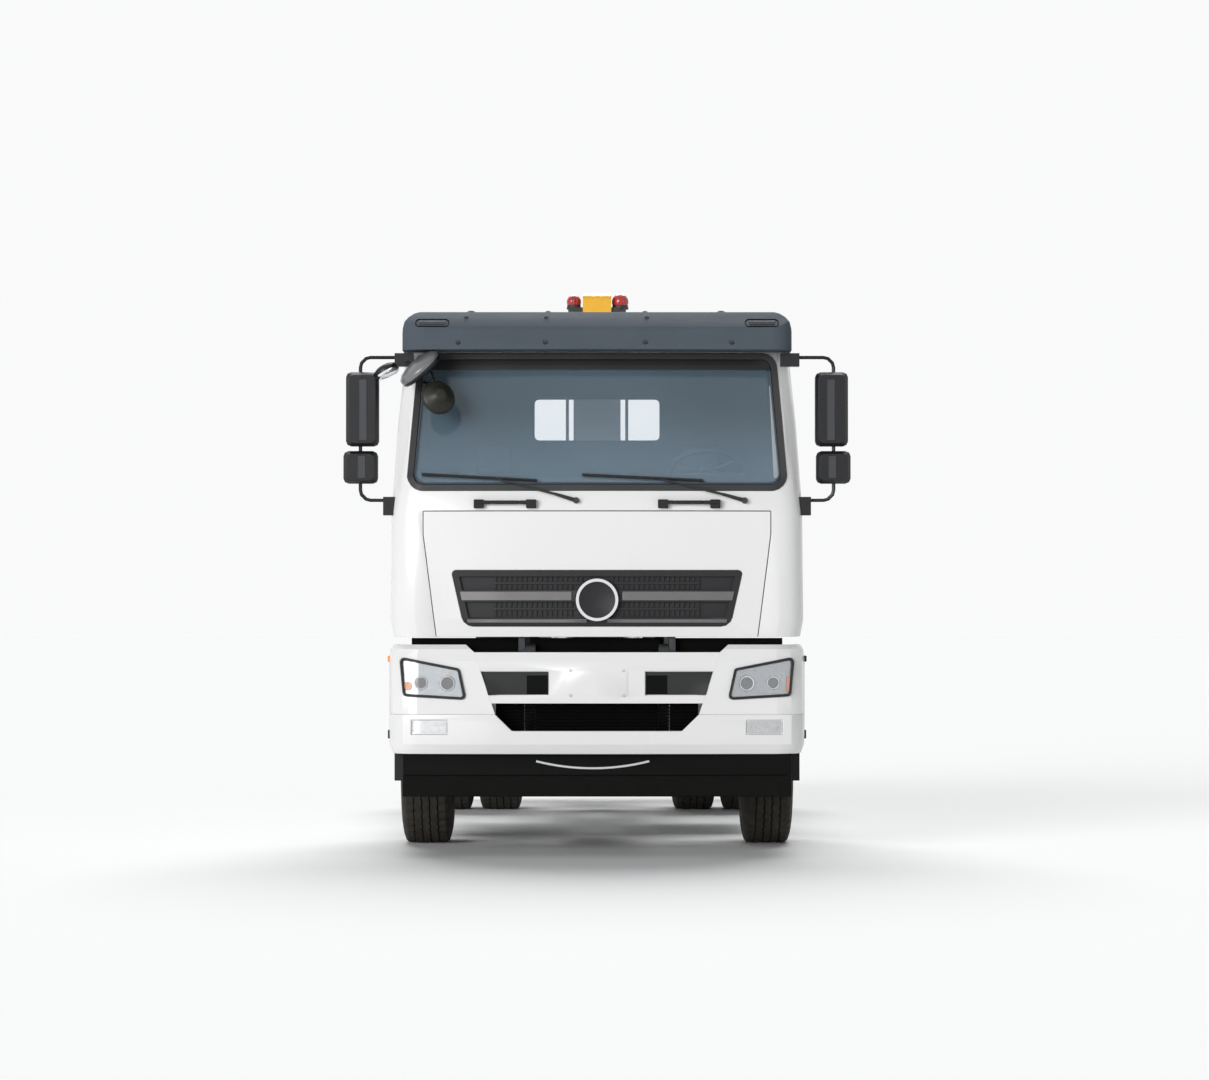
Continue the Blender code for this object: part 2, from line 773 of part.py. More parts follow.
def bumper_form(inset):
    """The bumper's outer body moved in by inset, longer than its wrap at the back."""
    rings = []
    for height, width, tuck in BUMPER_LEVEL_SHARES:
        level = BUMPER_BOTTOM + height * (BUMPER_TOP - BUMPER_BOTTOM)
        if height == 0:
            level -= OVERRUN * (inset > 0)
        if height == 1:
            level += OVERRUN * (inset > 0)
        rings.append(plan_ring(
            BUMPER_HALF_WIDTH * width - inset, PLATE_PROUD + BUMPER_TUCK * tuck + inset,
            BUMPER_WRAP + OVERRUN + inset,
            BUMPER_RADIUS - inset, CAB_REAR_RADIUS, BUMPER_BOW, level))
    return loft("form", rings, WHITE)


def bumper_piece(name, outline, material, wall=BUMPER_WALL, proud=0.0):
    """The part of the bumper's skin that lies behind an outline drawn in the front view."""
    skin = cut(bumper_form(-proud), bumper_form(wall))
    made = keep(skin, prism("outline", outline, "y", -OVERRUN, BUMPER_WRAP, material))
    made.name = name
    return made


def grown(outline, by):
    """A convex outline moved outwards by a distance."""
    centre = sum((Vector(point) for point in outline), Vector((0, 0))) / len(outline)
    moved = []
    for index, point in enumerate(outline):
        corner = Vector(point)
        before = (Vector(outline[index - 1]) - corner).normalized()
        after = (Vector(outline[(index + 1) % len(outline)]) - corner).normalized()
        spread = (before + after).normalized()
        if spread.dot(centre - corner) < 0:
            spread = -spread
        moved.append(tuple(corner - spread * by / math.sin(before.angle(after) / 2)))
    return moved


def mirrored(outline, side):
    return [(x * side, z) for x, z in outline]


def span(side, low, high):
    """Two places across the truck in rising order, on one side."""
    return sorted((side * low, side * high))


# Each finished piece is kept with the body that it moves with
BODIES = {}


def piece(obj, name, body, material):
    obj.name = name
    obj.data.name = name
    obj.data.materials.clear()
    obj.data.materials.append(material)
    for face in obj.data.polygons:
        face.material_index = 0
    obj.data.shade_smooth()
    obj.data.set_sharp_from_angle(angle=math.radians(30))
    BODIES.setdefault(body, []).append(obj)
    return obj


def tyre_profile():
    """Half outlines of the tyre section joined into one closed loop."""
    bead = RIM_RADIUS + SEAT_GAP
    half = []
    for across, rise in TYRE_SECTION_SHARES:
        half.append((across * TYRE_WIDTH / 2, bead + rise * (TYRE_RADIUS - bead)))
    return half + [(-along, radius) for along, radius in reversed(half)]


def rim_half(side):
    """The rim seat's end at one side: seat, lip and outer edge, from the seat outwards."""
    edge = TYRE_WIDTH / 2 * TYRE_SECTION_SHARES[0][0] + SEAT_GAP
    lip = edge + RIM_LIP_WIDTH
    return [
        (side * edge, RIM_RADIUS),
        (side * edge, RIM_LIP_RADIUS),
        (side * lip, RIM_LIP_RADIUS),
        (side * lip, RIM_RADIUS - RIM_WALL),
    ]


def front_wheel(name, side):
    """Rim, disc, hub and brake drum of a steered wheel, turned in one profile."""
    bore = SPINDLE_RADIUS + PIN_GAP
    profile = [(HUB_REACH, 0), (HUB_REACH, HUB_CAP_RADIUS)]
    profile += [(NUT_FLANGE_FACE, HUB_BARREL_RADIUS), (NUT_FLANGE_FACE, NUT_FLANGE_RADIUS)]
    profile += [(DISC_FOOT, RIM_RADIUS - RIM_WALL)]
    profile += list(reversed(rim_half(1)))
    profile += rim_half(-1)
    profile += [(DISC_FOOT - DISC_THICKNESS, RIM_RADIUS - RIM_WALL)]
    profile += [(NUT_FLANGE_FACE - DISC_THICKNESS * 2, DRUM_RADIUS), (-FRONT_DRUM_BACK, DRUM_RADIUS)]
    profile += [(-FRONT_DRUM_BACK, bore), (SPINDLE_REACH + PIN_GAP, bore), (SPINDLE_REACH + PIN_GAP, 0)]
    profile = [(side * along, radius) for along, radius in profile]
    centre = (side * FRONT_TYRE_OUT, FRONT_AXLE, TYRE_RADIUS)
    return lathe(name, profile, centre, WHEEL_STEEL, steps=WHEEL_STEPS, flats=True)


def twin_wheel(name, side):
    """Two rims back to back on one hub with its drum."""
    shift = TWIN_SPACING / 2
    bore = AXLE_SPINDLE_RADIUS + PIN_GAP
    inner = RIM_RADIUS - RIM_WALL
    outer_rim = [(along + shift, radius) for along, radius in rim_half(1)]
    outer_back = [(along + shift, radius) for along, radius in rim_half(-1)]
    profile = [(TWIN_HUB_REACH, 0), (TWIN_HUB_REACH, TWIN_HUB_RADIUS * 2 / 3)]
    profile += [(TWIN_HUB_NECK, TWIN_HUB_RADIUS), (DISC_THICKNESS, NUT_FLANGE_RADIUS)]
    profile += [(TWIN_DISC_FOOT + DISC_THICKNESS, inner)]
    profile += list(reversed(outer_rim)) + outer_back[:3] + [(0, inner)]
    profile += [(-along, radius) for along, radius in reversed(outer_back[:3])]
    profile += [(-along, radius) for along, radius in outer_rim]
    profile += [(-TWIN_DISC_FOOT - DISC_THICKNESS, inner), (-DISC_THICKNESS * 2, DRUM_RADIUS)]
    profile += [(-TWIN_DRUM_BACK, DRUM_RADIUS), (-TWIN_DRUM_BACK, bore)]
    profile += [(TWIN_SPINDLE_REACH, bore), (TWIN_SPINDLE_REACH, 0)]
    profile = [(side * along, radius) for along, radius in profile]
    centre = (side * TWIN_OUT, REAR_AXLE, TYRE_RADIUS)
    return lathe(name, profile, centre, WHEEL_STEEL, steps=WHEEL_STEPS, flats=True)


def wheels():
    for word, side in SIDES:
        centre = (side * FRONT_TYRE_OUT, FRONT_AXLE, TYRE_RADIUS)
        tyre = lathe("tyre", tyre_profile(), centre, RUBBER, steps=WHEEL_STEPS, flats=True)
        piece(tyre, "front_tyre_" + word, "front_wheel_" + word, RUBBER)
        piece(front_wheel("rim", side), "front_rim_" + word, "front_wheel_" + word, WHEEL_STEEL)
        for place, share in (("outer", 1), ("inner", -1)):
            across = side * (TWIN_OUT + share * TWIN_SPACING / 2)
            centre = (across, REAR_AXLE, TYRE_RADIUS)
            tyre = lathe("tyre", tyre_profile(), centre, RUBBER, steps=WHEEL_STEPS, flats=True)
            piece(tyre, "rear_tyre_" + place + "_" + word, "rear_wheels_" + word, RUBBER)
        piece(twin_wheel("rim", side), "rear_rims_" + word, "rear_wheels_" + word, WHEEL_STEEL)


def knuckle(side):
    """A fork round the axle's end with its wheel spindle and steering arm."""
    low = TYRE_RADIUS - KNUCKLE_HEIGHT / 2
    high = TYRE_RADIUS + KNUCKLE_HEIGHT / 2
    pin = (side * KINGPIN_OUT, FRONT_AXLE)
    web_out = KINGPIN_OUT + KNUCKLE_WEB_OUT
    half = KNUCKLE_WEB_DEPTH / 2
    ys = (FRONT_AXLE - half, FRONT_AXLE + half)
    body = box("knuckle", span(side, web_out, web_out + KNUCKLE_WEB), ys, (low, high), CHASSIS)
    for bottom in (low, high - KNUCKLE_LUG):
        lug = lathe("lug", ((0, 0), (0, KNUCKLE_LUG_RADIUS), (KNUCKLE_LUG, KNUCKLE_LUG_RADIUS),
                            (KNUCKLE_LUG, 0)),
                    (pin[0], pin[1], bottom), CHASSIS, axis="z")
        reach = box("reach", span(side, KINGPIN_OUT, web_out + SEAT_GAP),
                    (FRONT_AXLE - KNUCKLE_LUG_RADIUS, FRONT_AXLE + KNUCKLE_LUG_RADIUS),
                    (bottom, bottom + KNUCKLE_LUG), CHASSIS)
        add(body, add(lug, reach))
    spindle_end = FRONT_TYRE_OUT + SPINDLE_REACH
    spindle = rod_between("spindle", (side * (web_out + KNUCKLE_WEB / 2), FRONT_AXLE, TYRE_RADIUS),
                          (side * spindle_end, FRONT_AXLE, TYRE_RADIUS), SPINDLE_RADIUS, CHASSIS)
    ball_out = KINGPIN_OUT - STEER_ARM_IN
    ball_back = FRONT_AXLE + STEER_ARM_BACK
    arm_half = STEER_ARM_WIDTH / 2
    arm = prism("arm", (
        (side * (KINGPIN_OUT - arm_half), FRONT_AXLE),
        (side * (ball_out - arm_half), ball_back + arm_half),
        (side * (ball_out + arm_half), ball_back + arm_half),
        (side * (KINGPIN_OUT + arm_half), FRONT_AXLE)), "z", low, low + STEER_ARM_THICK, CHASSIS)
    return add(body, spindle, arm)


def steering():
    for word, side in SIDES:
        piece(knuckle(side), "knuckle_" + word, "knuckle_" + word, CHASSIS)
    ball_out = KINGPIN_OUT - STEER_ARM_IN
    ball_back = FRONT_AXLE + STEER_ARM_BACK
    arm_low = TYRE_RADIUS - KNUCKLE_HEIGHT / 2
    rod_height = arm_low - TIE_ROD_DROP
    rod = rod_between("rod", (-ball_out, ball_back, rod_height), (ball_out, ball_back, rod_height),
                      TIE_ROD_RADIUS, CHASSIS)
    for _, side in SIDES:
        ball = lathe("ball", ((0, 0), (0, STEER_ARM_WIDTH / 2),
                              (TIE_ROD_DROP + TIE_ROD_RADIUS - PIN_GAP, STEER_ARM_WIDTH / 2),
                              (TIE_ROD_DROP + TIE_ROD_RADIUS - PIN_GAP, 0)),
                     (side * ball_out, ball_back, rod_height - TIE_ROD_RADIUS), CHASSIS, axis="z")
        add(rod, ball)
    piece(rod, "tie_rod", "tie_rod", CHASSIS)


def leaf_spring(out, centre, seat, length, thick, side, hanger_in, hanger_out):
    """A stack of leaves on the axle with a hanger at each end that meets the frame."""
    half = length / 2
    ends = seat + thick + SPRING_SAG
    outline = [
        (centre - half, ends), (centre - half * 0.5, seat + thick + SPRING_SAG / 3), (centre, seat + thick),
        (centre + half * 0.5, seat + thick + SPRING_SAG / 3), (centre + half, ends),
        (centre + half, ends - SPRING_LEAF), (centre + half * 0.75, seat + thick - SPRING_LEAF / 2),
        (centre + half * 0.3, seat), (centre - half * 0.3, seat),
        (centre - half * 0.75, seat + thick - SPRING_LEAF / 2), (centre - half, ends - SPRING_LEAF),
    ]
    spring = prism("spring", outline, "x", *span(side, out - SPRING_WIDTH / 2, out + SPRING_WIDTH / 2),
                   CHASSIS)
    for end in (centre - half, centre + half):
        hanger = box("hanger", span(side, hanger_in, hanger_out),
                     (end - HANGER_LENGTH / 2, end + HANGER_LENGTH / 2),
                     (ends - SPRING_LEAF * 1.5, hanger_top(hanger_in)), CHASSIS)
        add(spring, hanger)
    return spring


def hanger_top(hanger_in):
    """A hanger beside the rail reaches its web; one below it meets the lower flange."""
    if hanger_in >= RAIL_OUT:
        return RAIL_TOP - RAIL_HEIGHT / 2
    return RAIL_TOP - RAIL_HEIGHT - SEAT_GAP


def front_axle():
    """Dropped forged beam with an eye at each end, carrying both springs."""
    eye_low = TYRE_RADIUS - KNUCKLE_HEIGHT / 2 + KNUCKLE_LUG + PIN_GAP
    eye_high = TYRE_RADIUS + KNUCKLE_HEIGHT / 2 - KNUCKLE_LUG - PIN_GAP
    middle = (eye_low + eye_high) / 2
    seat = middle + AXLE_BEAM_HEIGHT / 2 - AXLE_BEAM_DROP
    half = AXLE_BEAM_WIDTH / 2
    upper = [(-KINGPIN_OUT, eye_high), (-AXLE_BEND_OUT, seat), (AXLE_BEND_OUT, seat),
             (KINGPIN_OUT, eye_high)]
    neck = KINGPIN_OUT - KNUCKLE_LUG_RADIUS * 1.4
    lower = [(KINGPIN_OUT, eye_low), (neck, eye_low), (AXLE_BEND_OUT, seat - AXLE_BEAM_HEIGHT),
             (-AXLE_BEND_OUT, seat - AXLE_BEAM_HEIGHT), (-neck, eye_low), (-KINGPIN_OUT, eye_low)]
    beam = prism("beam", upper + lower, "y", FRONT_AXLE - half * AXLE_WEB_SHARE,
                 FRONT_AXLE + half * AXLE_WEB_SHARE, CHASSIS)
    for _, side in SIDES:
        eye = lathe("eye", ((0, 0), (0, AXLE_EYE_RADIUS), (eye_high - eye_low, AXLE_EYE_RADIUS),
                            (eye_high - eye_low, 0)),
                    (side * KINGPIN_OUT, FRONT_AXLE, eye_low), CHASSIS, axis="z")
        pad = box("pad", span(side, FRONT_SPRING_OUT - SPRING_WIDTH * 0.8,
                              FRONT_SPRING_OUT + SPRING_WIDTH * 0.8),
                  (FRONT_AXLE - half, FRONT_AXLE + half), (seat - AXLE_BEAM_HEIGHT, seat + SPRING_LEAF),
                  CHASSIS)
        spring = leaf_spring(FRONT_SPRING_OUT, FRONT_AXLE, seat + SPRING_LEAF / 2, FRONT_SPRING_LENGTH,
                             SPRING_THICK,
                             side, FRONT_SPRING_OUT - SPRING_WIDTH / 3, FRONT_SPRING_OUT + SPRING_WIDTH / 3)
        add(beam, eye, pad, spring)
    piece(beam, "front_axle", "chassis", CHASSIS)


def rear_axle():
    """Housing tube with its banjo, wheel spindles, springs and the propeller shaft."""
    reach = TWIN_OUT + TWIN_SPINDLE_REACH - PIN_GAP
    tube_end = min(AXLE_TUBE_OUT, TWIN_OUT - TWIN_DRUM_BACK - MOVING_GAP)
    profile = [(-reach, 0), (-reach, AXLE_SPINDLE_RADIUS), (-tube_end, AXLE_SPINDLE_RADIUS),
               (-tube_end, AXLE_TUBE_RADIUS)]
    profile += [(-along, radius) for along, radius in reversed(profile)]
    housing = lathe("housing", profile, (0, REAR_AXLE, TYRE_RADIUS), CHASSIS)
    banjo = [(-BANJO_WIDTH, AXLE_TUBE_RADIUS / 2), (-BANJO_WIDTH / 2, BANJO_RADIUS * 0.8),
             (0, BANJO_RADIUS)]
    banjo += [(-along, radius) for along, radius in reversed(banjo[:-1])]
    banjo = [(-BANJO_WIDTH, 0)] + banjo + [(BANJO_WIDTH, 0)]
    add(housing, lathe("banjo", banjo, (0, REAR_AXLE, TYRE_RADIUS), CHASSIS, axis="y"))
    nose = (0, REAR_AXLE - BANJO_NOSE, TYRE_RADIUS + BANJO_NOSE_RADIUS / 3)
    add(housing, rod_between("nose", (0, REAR_AXLE, TYRE_RADIUS), nose, BANJO_NOSE_RADIUS, CHASSIS))
    front = Vector((0, GEARBOX_REAR + SEAT_GAP, (GEARBOX_TOP + GEARBOX_BOTTOM) / 2))
    along = (front - Vector(nose)).normalized()
    flange_end = Vector(nose) - along * SHAFT_FLANGE
    add(housing, rod_between("flange", flange_end, Vector(nose) + along * SHAFT_FLANGE, SHAFT_FLANGE_RADIUS,
                             CHASSIS))
    add(housing, rod_between("shaft", nose, front + along * -SHAFT_FLANGE, SHAFT_RADIUS, CHASSIS))
    joint = rod_between("joint", front - along * SHAFT_FLANGE * 2,
                        front - along * SHAFT_RADIUS * 0.1, SHAFT_FLANGE_RADIUS, CHASSIS)
    trim = box("trim", (-TANK_OUT, TANK_OUT), (ENGINE_FRONT, GEARBOX_REAR + SEAT_GAP), (0, CAB_TOP),
               CHASSIS)
    add(housing, cut(joint, trim))
    for _, side in SIDES:
        spring = leaf_spring(REAR_SPRING_OUT, REAR_AXLE, TYRE_RADIUS + AXLE_TUBE_RADIUS * 0.8,
                             REAR_SPRING_LENGTH,
                             REAR_SPRING_THICK, side, RAIL_OUT + SEAT_GAP,
                             REAR_SPRING_OUT + SPRING_WIDTH / 2)
        add(housing, spring)
    piece(housing, "rear_axle", "chassis", CHASSIS)


def chassis_frame():
    """Two channel rails joined by crossmembers, with the cab's front hinges and rear rests."""
    frame = None
    bottom = RAIL_TOP - RAIL_HEIGHT
    for _, side in SIDES:
        outer, inner = RAIL_OUT, RAIL_OUT - RAIL_FLANGE
        web = RAIL_OUT - RAIL_WALL
        outline = mirrored([
            (outer, bottom), (outer, RAIL_TOP), (inner, RAIL_TOP), (inner, RAIL_TOP - RAIL_WALL),
            (web, RAIL_TOP - RAIL_WALL), (web, bottom + RAIL_WALL), (inner, bottom + RAIL_WALL),
            (inner, bottom)], side)
        rail = prism("rail", outline, "y", RAIL_FRONT, RAIL_REAR, CHASSIS)
        eye = (CAB_HINGE_PLACE, CAB_HINGE_HEIGHT)
        tower = prism("tower", rounded((
            (eye[0] - CAB_HINGE_RADIUS, eye[1] + CAB_HINGE_RADIUS),
            (eye[0] + CAB_HINGE_RADIUS * 2, eye[1] + CAB_HINGE_RADIUS),
            (RAIL_FRONT + RAIL_HEIGHT / 2, RAIL_TOP - RAIL_WALL / 2),
            (RAIL_FRONT + RAIL_HEIGHT / 2, bottom + RAIL_WALL / 2),
            (RAIL_FRONT - RAIL_WALL, bottom + RAIL_WALL / 2),
            (eye[0] - CAB_HINGE_RADIUS, eye[1] - CAB_HINGE_RADIUS)),
            (CAB_HINGE_RADIUS * 0.9, 0, 0, 0, 0, CAB_HINGE_RADIUS / 2)), "x",
            *span(side, TOWER_IN, TOWER_IN + TOWER_WIDTH), CHASSIS)
        rest = box("rest", span(side, TOWER_IN, TOWER_IN + TOWER_WIDTH),
                   (CAB_REST_PLACE, CAB_REST_PLACE + CAB_REST_LENGTH),
                   (RAIL_TOP - RAIL_WALL / 2, CAB_BOTTOM - SEAT_GAP), CHASSIS)
        add(rail, tower, rest)
        frame = add(frame, rail) if frame else rail
    middle = RAIL_TOP - RAIL_HEIGHT / 2
    for place in CROSSMEMBER_PLACES:
        member = box("member", (-RAIL_OUT + RAIL_WALL / 2, RAIL_OUT - RAIL_WALL / 2),
                     (place, place + CROSSMEMBER_LENGTH),
                     (middle - CROSSMEMBER_HEIGHT / 2, middle + CROSSMEMBER_HEIGHT / 2), CHASSIS)
        add(frame, member)
    shaft_hole = rod_between("hole", (0, GEARBOX_REAR, (GEARBOX_TOP + GEARBOX_BOTTOM) / 2),
                             (0, REAR_AXLE - BANJO_NOSE, TYRE_RADIUS + BANJO_NOSE_RADIUS / 3),
                             SHAFT_FLANGE_RADIUS + MOVING_GAP, CHASSIS)
    cut(frame, shaft_hole)
    piece(frame, "chassis_frame", "chassis", CHASSIS)


def engine():
    """Engine and gearbox as one stepped block between the rails."""
    outline = rounded((
        (ENGINE_FRONT, ENGINE_TOP), (ENGINE_REAR, ENGINE_TOP), (ENGINE_REAR, GEARBOX_TOP),
        (GEARBOX_REAR, GEARBOX_TOP - RAIL_FLANGE),
        (GEARBOX_REAR, GEARBOX_BOTTOM + RAIL_FLANGE / 2), (ENGINE_REAR, GEARBOX_BOTTOM),
        (ENGINE_REAR - RAIL_FLANGE, ENGINE_BOTTOM),
        (SUMP_FRONT, ENGINE_BOTTOM), (ENGINE_FRONT, ENGINE_BOTTOM + RAIL_FLANGE)), (
        RAIL_FLANGE / 2, RAIL_FLANGE / 2, 0, 0, 0, 0, 0, 0, 0))
    block = prism("engine", outline, "x", -ENGINE_HALF_WIDTH, ENGINE_HALF_WIDTH, ENGINE_METAL)
    for _, side in SIDES:
        xs = span(side, ENGINE_HALF_WIDTH - SPRING_WIDTH, ENGINE_HALF_WIDTH + OVERRUN)
        cut(block, box("waist", xs, (ENGINE_REAR, GEARBOX_REAR + OVERRUN), (0, CAB_TOP), CHASSIS))
        mount = box("mount", span(side, ENGINE_HALF_WIDTH - RAIL_WALL, RAIL_OUT - RAIL_FLANGE - SEAT_GAP),
                    (ENGINE_FRONT + OVERRUN, ENGINE_FRONT + OVERRUN * 3),
                    (RAIL_TOP - RAIL_WALL, RAIL_TOP + RAIL_WALL), CHASSIS)
        add(block, mount)
    piece(block, "engine_block", "chassis", ENGINE_METAL)


def screen_outline(by=0.0):
    corners = [(-SCREEN_BOTTOM_OUT, SCREEN_BOTTOM), (SCREEN_BOTTOM_OUT, SCREEN_BOTTOM),
               (SCREEN_TOP_OUT, SCREEN_TOP), (-SCREEN_TOP_OUT, SCREEN_TOP)]
    return rounded(grown(corners, by), SCREEN_CORNER + by)


def rear_window_outline(by=0.0):
    corners = [(-REAR_WINDOW_OUT, REAR_WINDOW_BOTTOM), (REAR_WINDOW_OUT, REAR_WINDOW_BOTTOM),
               (REAR_WINDOW_OUT, REAR_WINDOW_TOP), (-REAR_WINDOW_OUT, REAR_WINDOW_TOP)]
    return rounded(grown(corners, by), REAR_WINDOW_CORNER + by)


def flap_outline(by=0.0, below=0.0):
    seam = SEAT_GAP * (by > 0)
    corners = [(-FLAP_BOTTOM_OUT - by, CAB_BOTTOM - below), (FLAP_BOTTOM_OUT + by, CAB_BOTTOM - below),
               (FLAP_TOP_OUT + by, FLAP_BEND), (FLAP_TOP_OUT + by, FLAP_TOP + seam),
               (-FLAP_TOP_OUT - by, FLAP_TOP + seam), (-FLAP_TOP_OUT - by, FLAP_BEND)]
    return corners


def door_outline(by=0.0):
    corners = [(DOOR_FRONT, DOOR_BOTTOM), (DOOR_REAR, DOOR_BOTTOM), (DOOR_REAR, DOOR_TOP),
               (DOOR_FRONT, DOOR_TOP)]
    return rounded(grown(corners, by), DOOR_CORNER + by)


def door_window_outline(by=0.0):
    corners = [(DOOR_WINDOW_FRONT, DOOR_WINDOW_BOTTOM), (DOOR_WINDOW_REAR, DOOR_WINDOW_BOTTOM),
               (DOOR_WINDOW_REAR, DOOR_WINDOW_TOP), (DOOR_WINDOW_FRONT + SCREEN_RAKE / 3, DOOR_WINDOW_TOP)]
    return rounded(grown(corners, by), DOOR_CORNER + by)


def skin(thick, inset=0.0):
    """A closed shell of the cab's form from inset to inset + thick."""
    return cut(cab_form(inset), cab_form(inset + thick, OVERRUN))


def cab_shell():
    """The cab's hollow body, open below, with its windows and door ways cut."""
    shell = cut(cab_form(0), cab_form(CAB_WALL, OVERRUN))
    cut(shell, prism("screen", screen_outline(), "y", -OVERRUN, CAB_LENGTH / 2, WHITE))
    cut(shell, prism("window", rear_window_outline(), "y", CAB_LENGTH / 2, CAB_LENGTH + OVERRUN, WHITE))
    recess = prism("recess", flap_outline(FLAP_GAP, OVERRUN), "y", -OVERRUN, CAB_LENGTH / 4, WHITE)
    cut(recess, cab_form(FLAP_THICK + FLAP_GAP, OVERRUN * 2))
    cut(shell, recess)
    for _, side in SIDES:
        xs = span(side, CAB_HALF_WIDTH / 2, CAB_HALF_WIDTH + OVERRUN)
        pillar = box("pillar", xs, (DOOR_FRONT - OVERRUN, DOOR_FRONT - SEAT_GAP), (CAB_BOTTOM, CAB_TOP),
                     WHITE)
        cut(shell, cut(prism("way", door_outline(DOOR_GAP), "x", *xs, WHITE), pillar))
    piece(shell, "cab_shell", "cab", WHITE)
    glass = keep(skin(GLASS_THICK, GLASS_INSET),
                 prism("pane", screen_outline(-SEAT_GAP), "y", -OVERRUN, CAB_LENGTH / 2, GLASS))
    piece(glass, "windscreen", "cab", GLASS)
    glass = keep(skin(GLASS_THICK, GLASS_INSET),
                 prism("pane", rear_window_outline(-SEAT_GAP), "y", CAB_LENGTH / 2, CAB_LENGTH + OVERRUN,
                       GLASS))
    piece(glass, "rear_window", "cab", GLASS)


def doors():
    for word, side in SIDES:
        body = "door_" + word
        half = span(side, CAB_HALF_WIDTH / 2, CAB_HALF_WIDTH + OVERRUN)
        door = keep(skin(DOOR_THICK), prism("door", door_outline(), "x", *half, WHITE))
        cut(door, prism("window", door_window_outline(), "x", *half, WHITE))
        handle_ys = (DOOR_REAR - DOOR_CORNER - DOOR_HANDLE_LENGTH, DOOR_REAR - DOOR_CORNER)
        handle = box("handle", span(side, CAB_HALF_WIDTH - DOOR_THICK / 2,
                                    CAB_HALF_WIDTH + DOOR_HANDLE_PROUD),
                     handle_ys, (DOOR_HANDLE_HEIGHT, DOOR_HANDLE_HEIGHT + DOOR_HANDLE_THICK), WHITE)
        grip = box("grip", span(side, CAB_HALF_WIDTH - DOOR_THICK / 2,
                                CAB_HALF_WIDTH + DOOR_HANDLE_PROUD / 2),
                   (handle_ys[0] + DOOR_HANDLE_THICK, handle_ys[1] - DOOR_HANDLE_THICK),
                   (DOOR_HANDLE_HEIGHT - OVERRUN, DOOR_HANDLE_HEIGHT + OVERRUN), WHITE)
        add(door, cut(handle, grip))
        piece(door, "door_" + word, body, WHITE)
        glass = keep(skin(GLASS_THICK, GLASS_INSET),
                     prism("pane", door_window_outline(-SEAT_GAP), "x", *half, GLASS))
        piece(glass, "door_glass_" + word, body, GLASS)


def grille_outline(by=0.0):
    corners = [(-GRILLE_BOTTOM_OUT, GRILLE_BOTTOM), (GRILLE_BOTTOM_OUT, GRILLE_BOTTOM),
               (GRILLE_TOP_OUT, GRILLE_TOP), (-GRILLE_TOP_OUT, GRILLE_TOP)]
    radii = [GRILLE_BOTTOM_CORNER + by, GRILLE_BOTTOM_CORNER + by, GRILLE_TOP_CORNER + by / 2,
             GRILLE_TOP_CORNER + by / 2]
    return rounded(grown(corners, by), radii)


def grille():
    """Bordered grille: backing plate, bowed bars, blank end panels and a plain round badge."""
    body = keep(skin(GRILLE_BACK - GRILLE_FACE, GRILLE_FACE),
                prism("outline", grille_outline(-SEAT_GAP), "y", -OVERRUN, CAB_LENGTH / 4, CHARCOAL))
    well = prism("well", grille_outline(-GRILLE_BORDER), "y", -OVERRUN, CAB_LENGTH / 4, CHARCOAL)
    cut(body, cut(well, cab_form(GRILLE_BACK - GRILLE_PLATE)))
    bars = [(MIDDLE_BAR_BOTTOM, MIDDLE_BAR_TOP, GRILLE_FACE, GRILLE_TOP_OUT),
            (LOWER_BAR_BOTTOM, LOWER_BAR_TOP, 0.0, GRILLE_TOP_OUT)]
    bars += [(height, height + THIN_BAR, GRILLE_BACK / 4, BLANK_IN) for height in THIN_BAR_PLACES]
    for low, high, face, out in bars:
        slab = box("bar", (-out, out), (-OVERRUN, CAB_LENGTH / 4), (low, high), CHARCOAL)
        bar = keep(skin(GRILLE_BACK - GRILLE_PLATE / 2 - face, face), slab)
        keep(bar, prism("outline", grille_outline(-GRILLE_BORDER / 2), "y", -OVERRUN, CAB_LENGTH / 4,
                        CHARCOAL))
        add(body, bar)
    ring = [(-BADGE_PROUD, 0), (-BADGE_PROUD, BADGE_RADIUS - BADGE_RING * 2),
            (-BADGE_PROUD * 1.6, BADGE_RADIUS - BADGE_RING),
            (-BADGE_PROUD, BADGE_RADIUS), (GRILLE_BACK - GRILLE_PLATE / 2, BADGE_RADIUS),
            (GRILLE_BACK - GRILLE_PLATE / 2, 0)]
    add(body, lathe("badge", ring, (0, CAB_SETBACK, BADGE_HEIGHT), CHARCOAL, axis="y", steps=18))
    piece(body, "grille", "front_flap", CHARCOAL)


def front_flap():
    """The hinged panel below the windscreen, with its grille set in."""
    flap = keep(skin(FLAP_THICK), prism("flap", flap_outline(0, OVERRUN), "y", -OVERRUN, CAB_LENGTH / 4,
                                        WHITE))
    cut(flap, prism("hole", grille_outline(), "y", -OVERRUN, CAB_LENGTH / 4, WHITE))
    piece(flap, "front_flap", "front_flap", WHITE)
    grille()


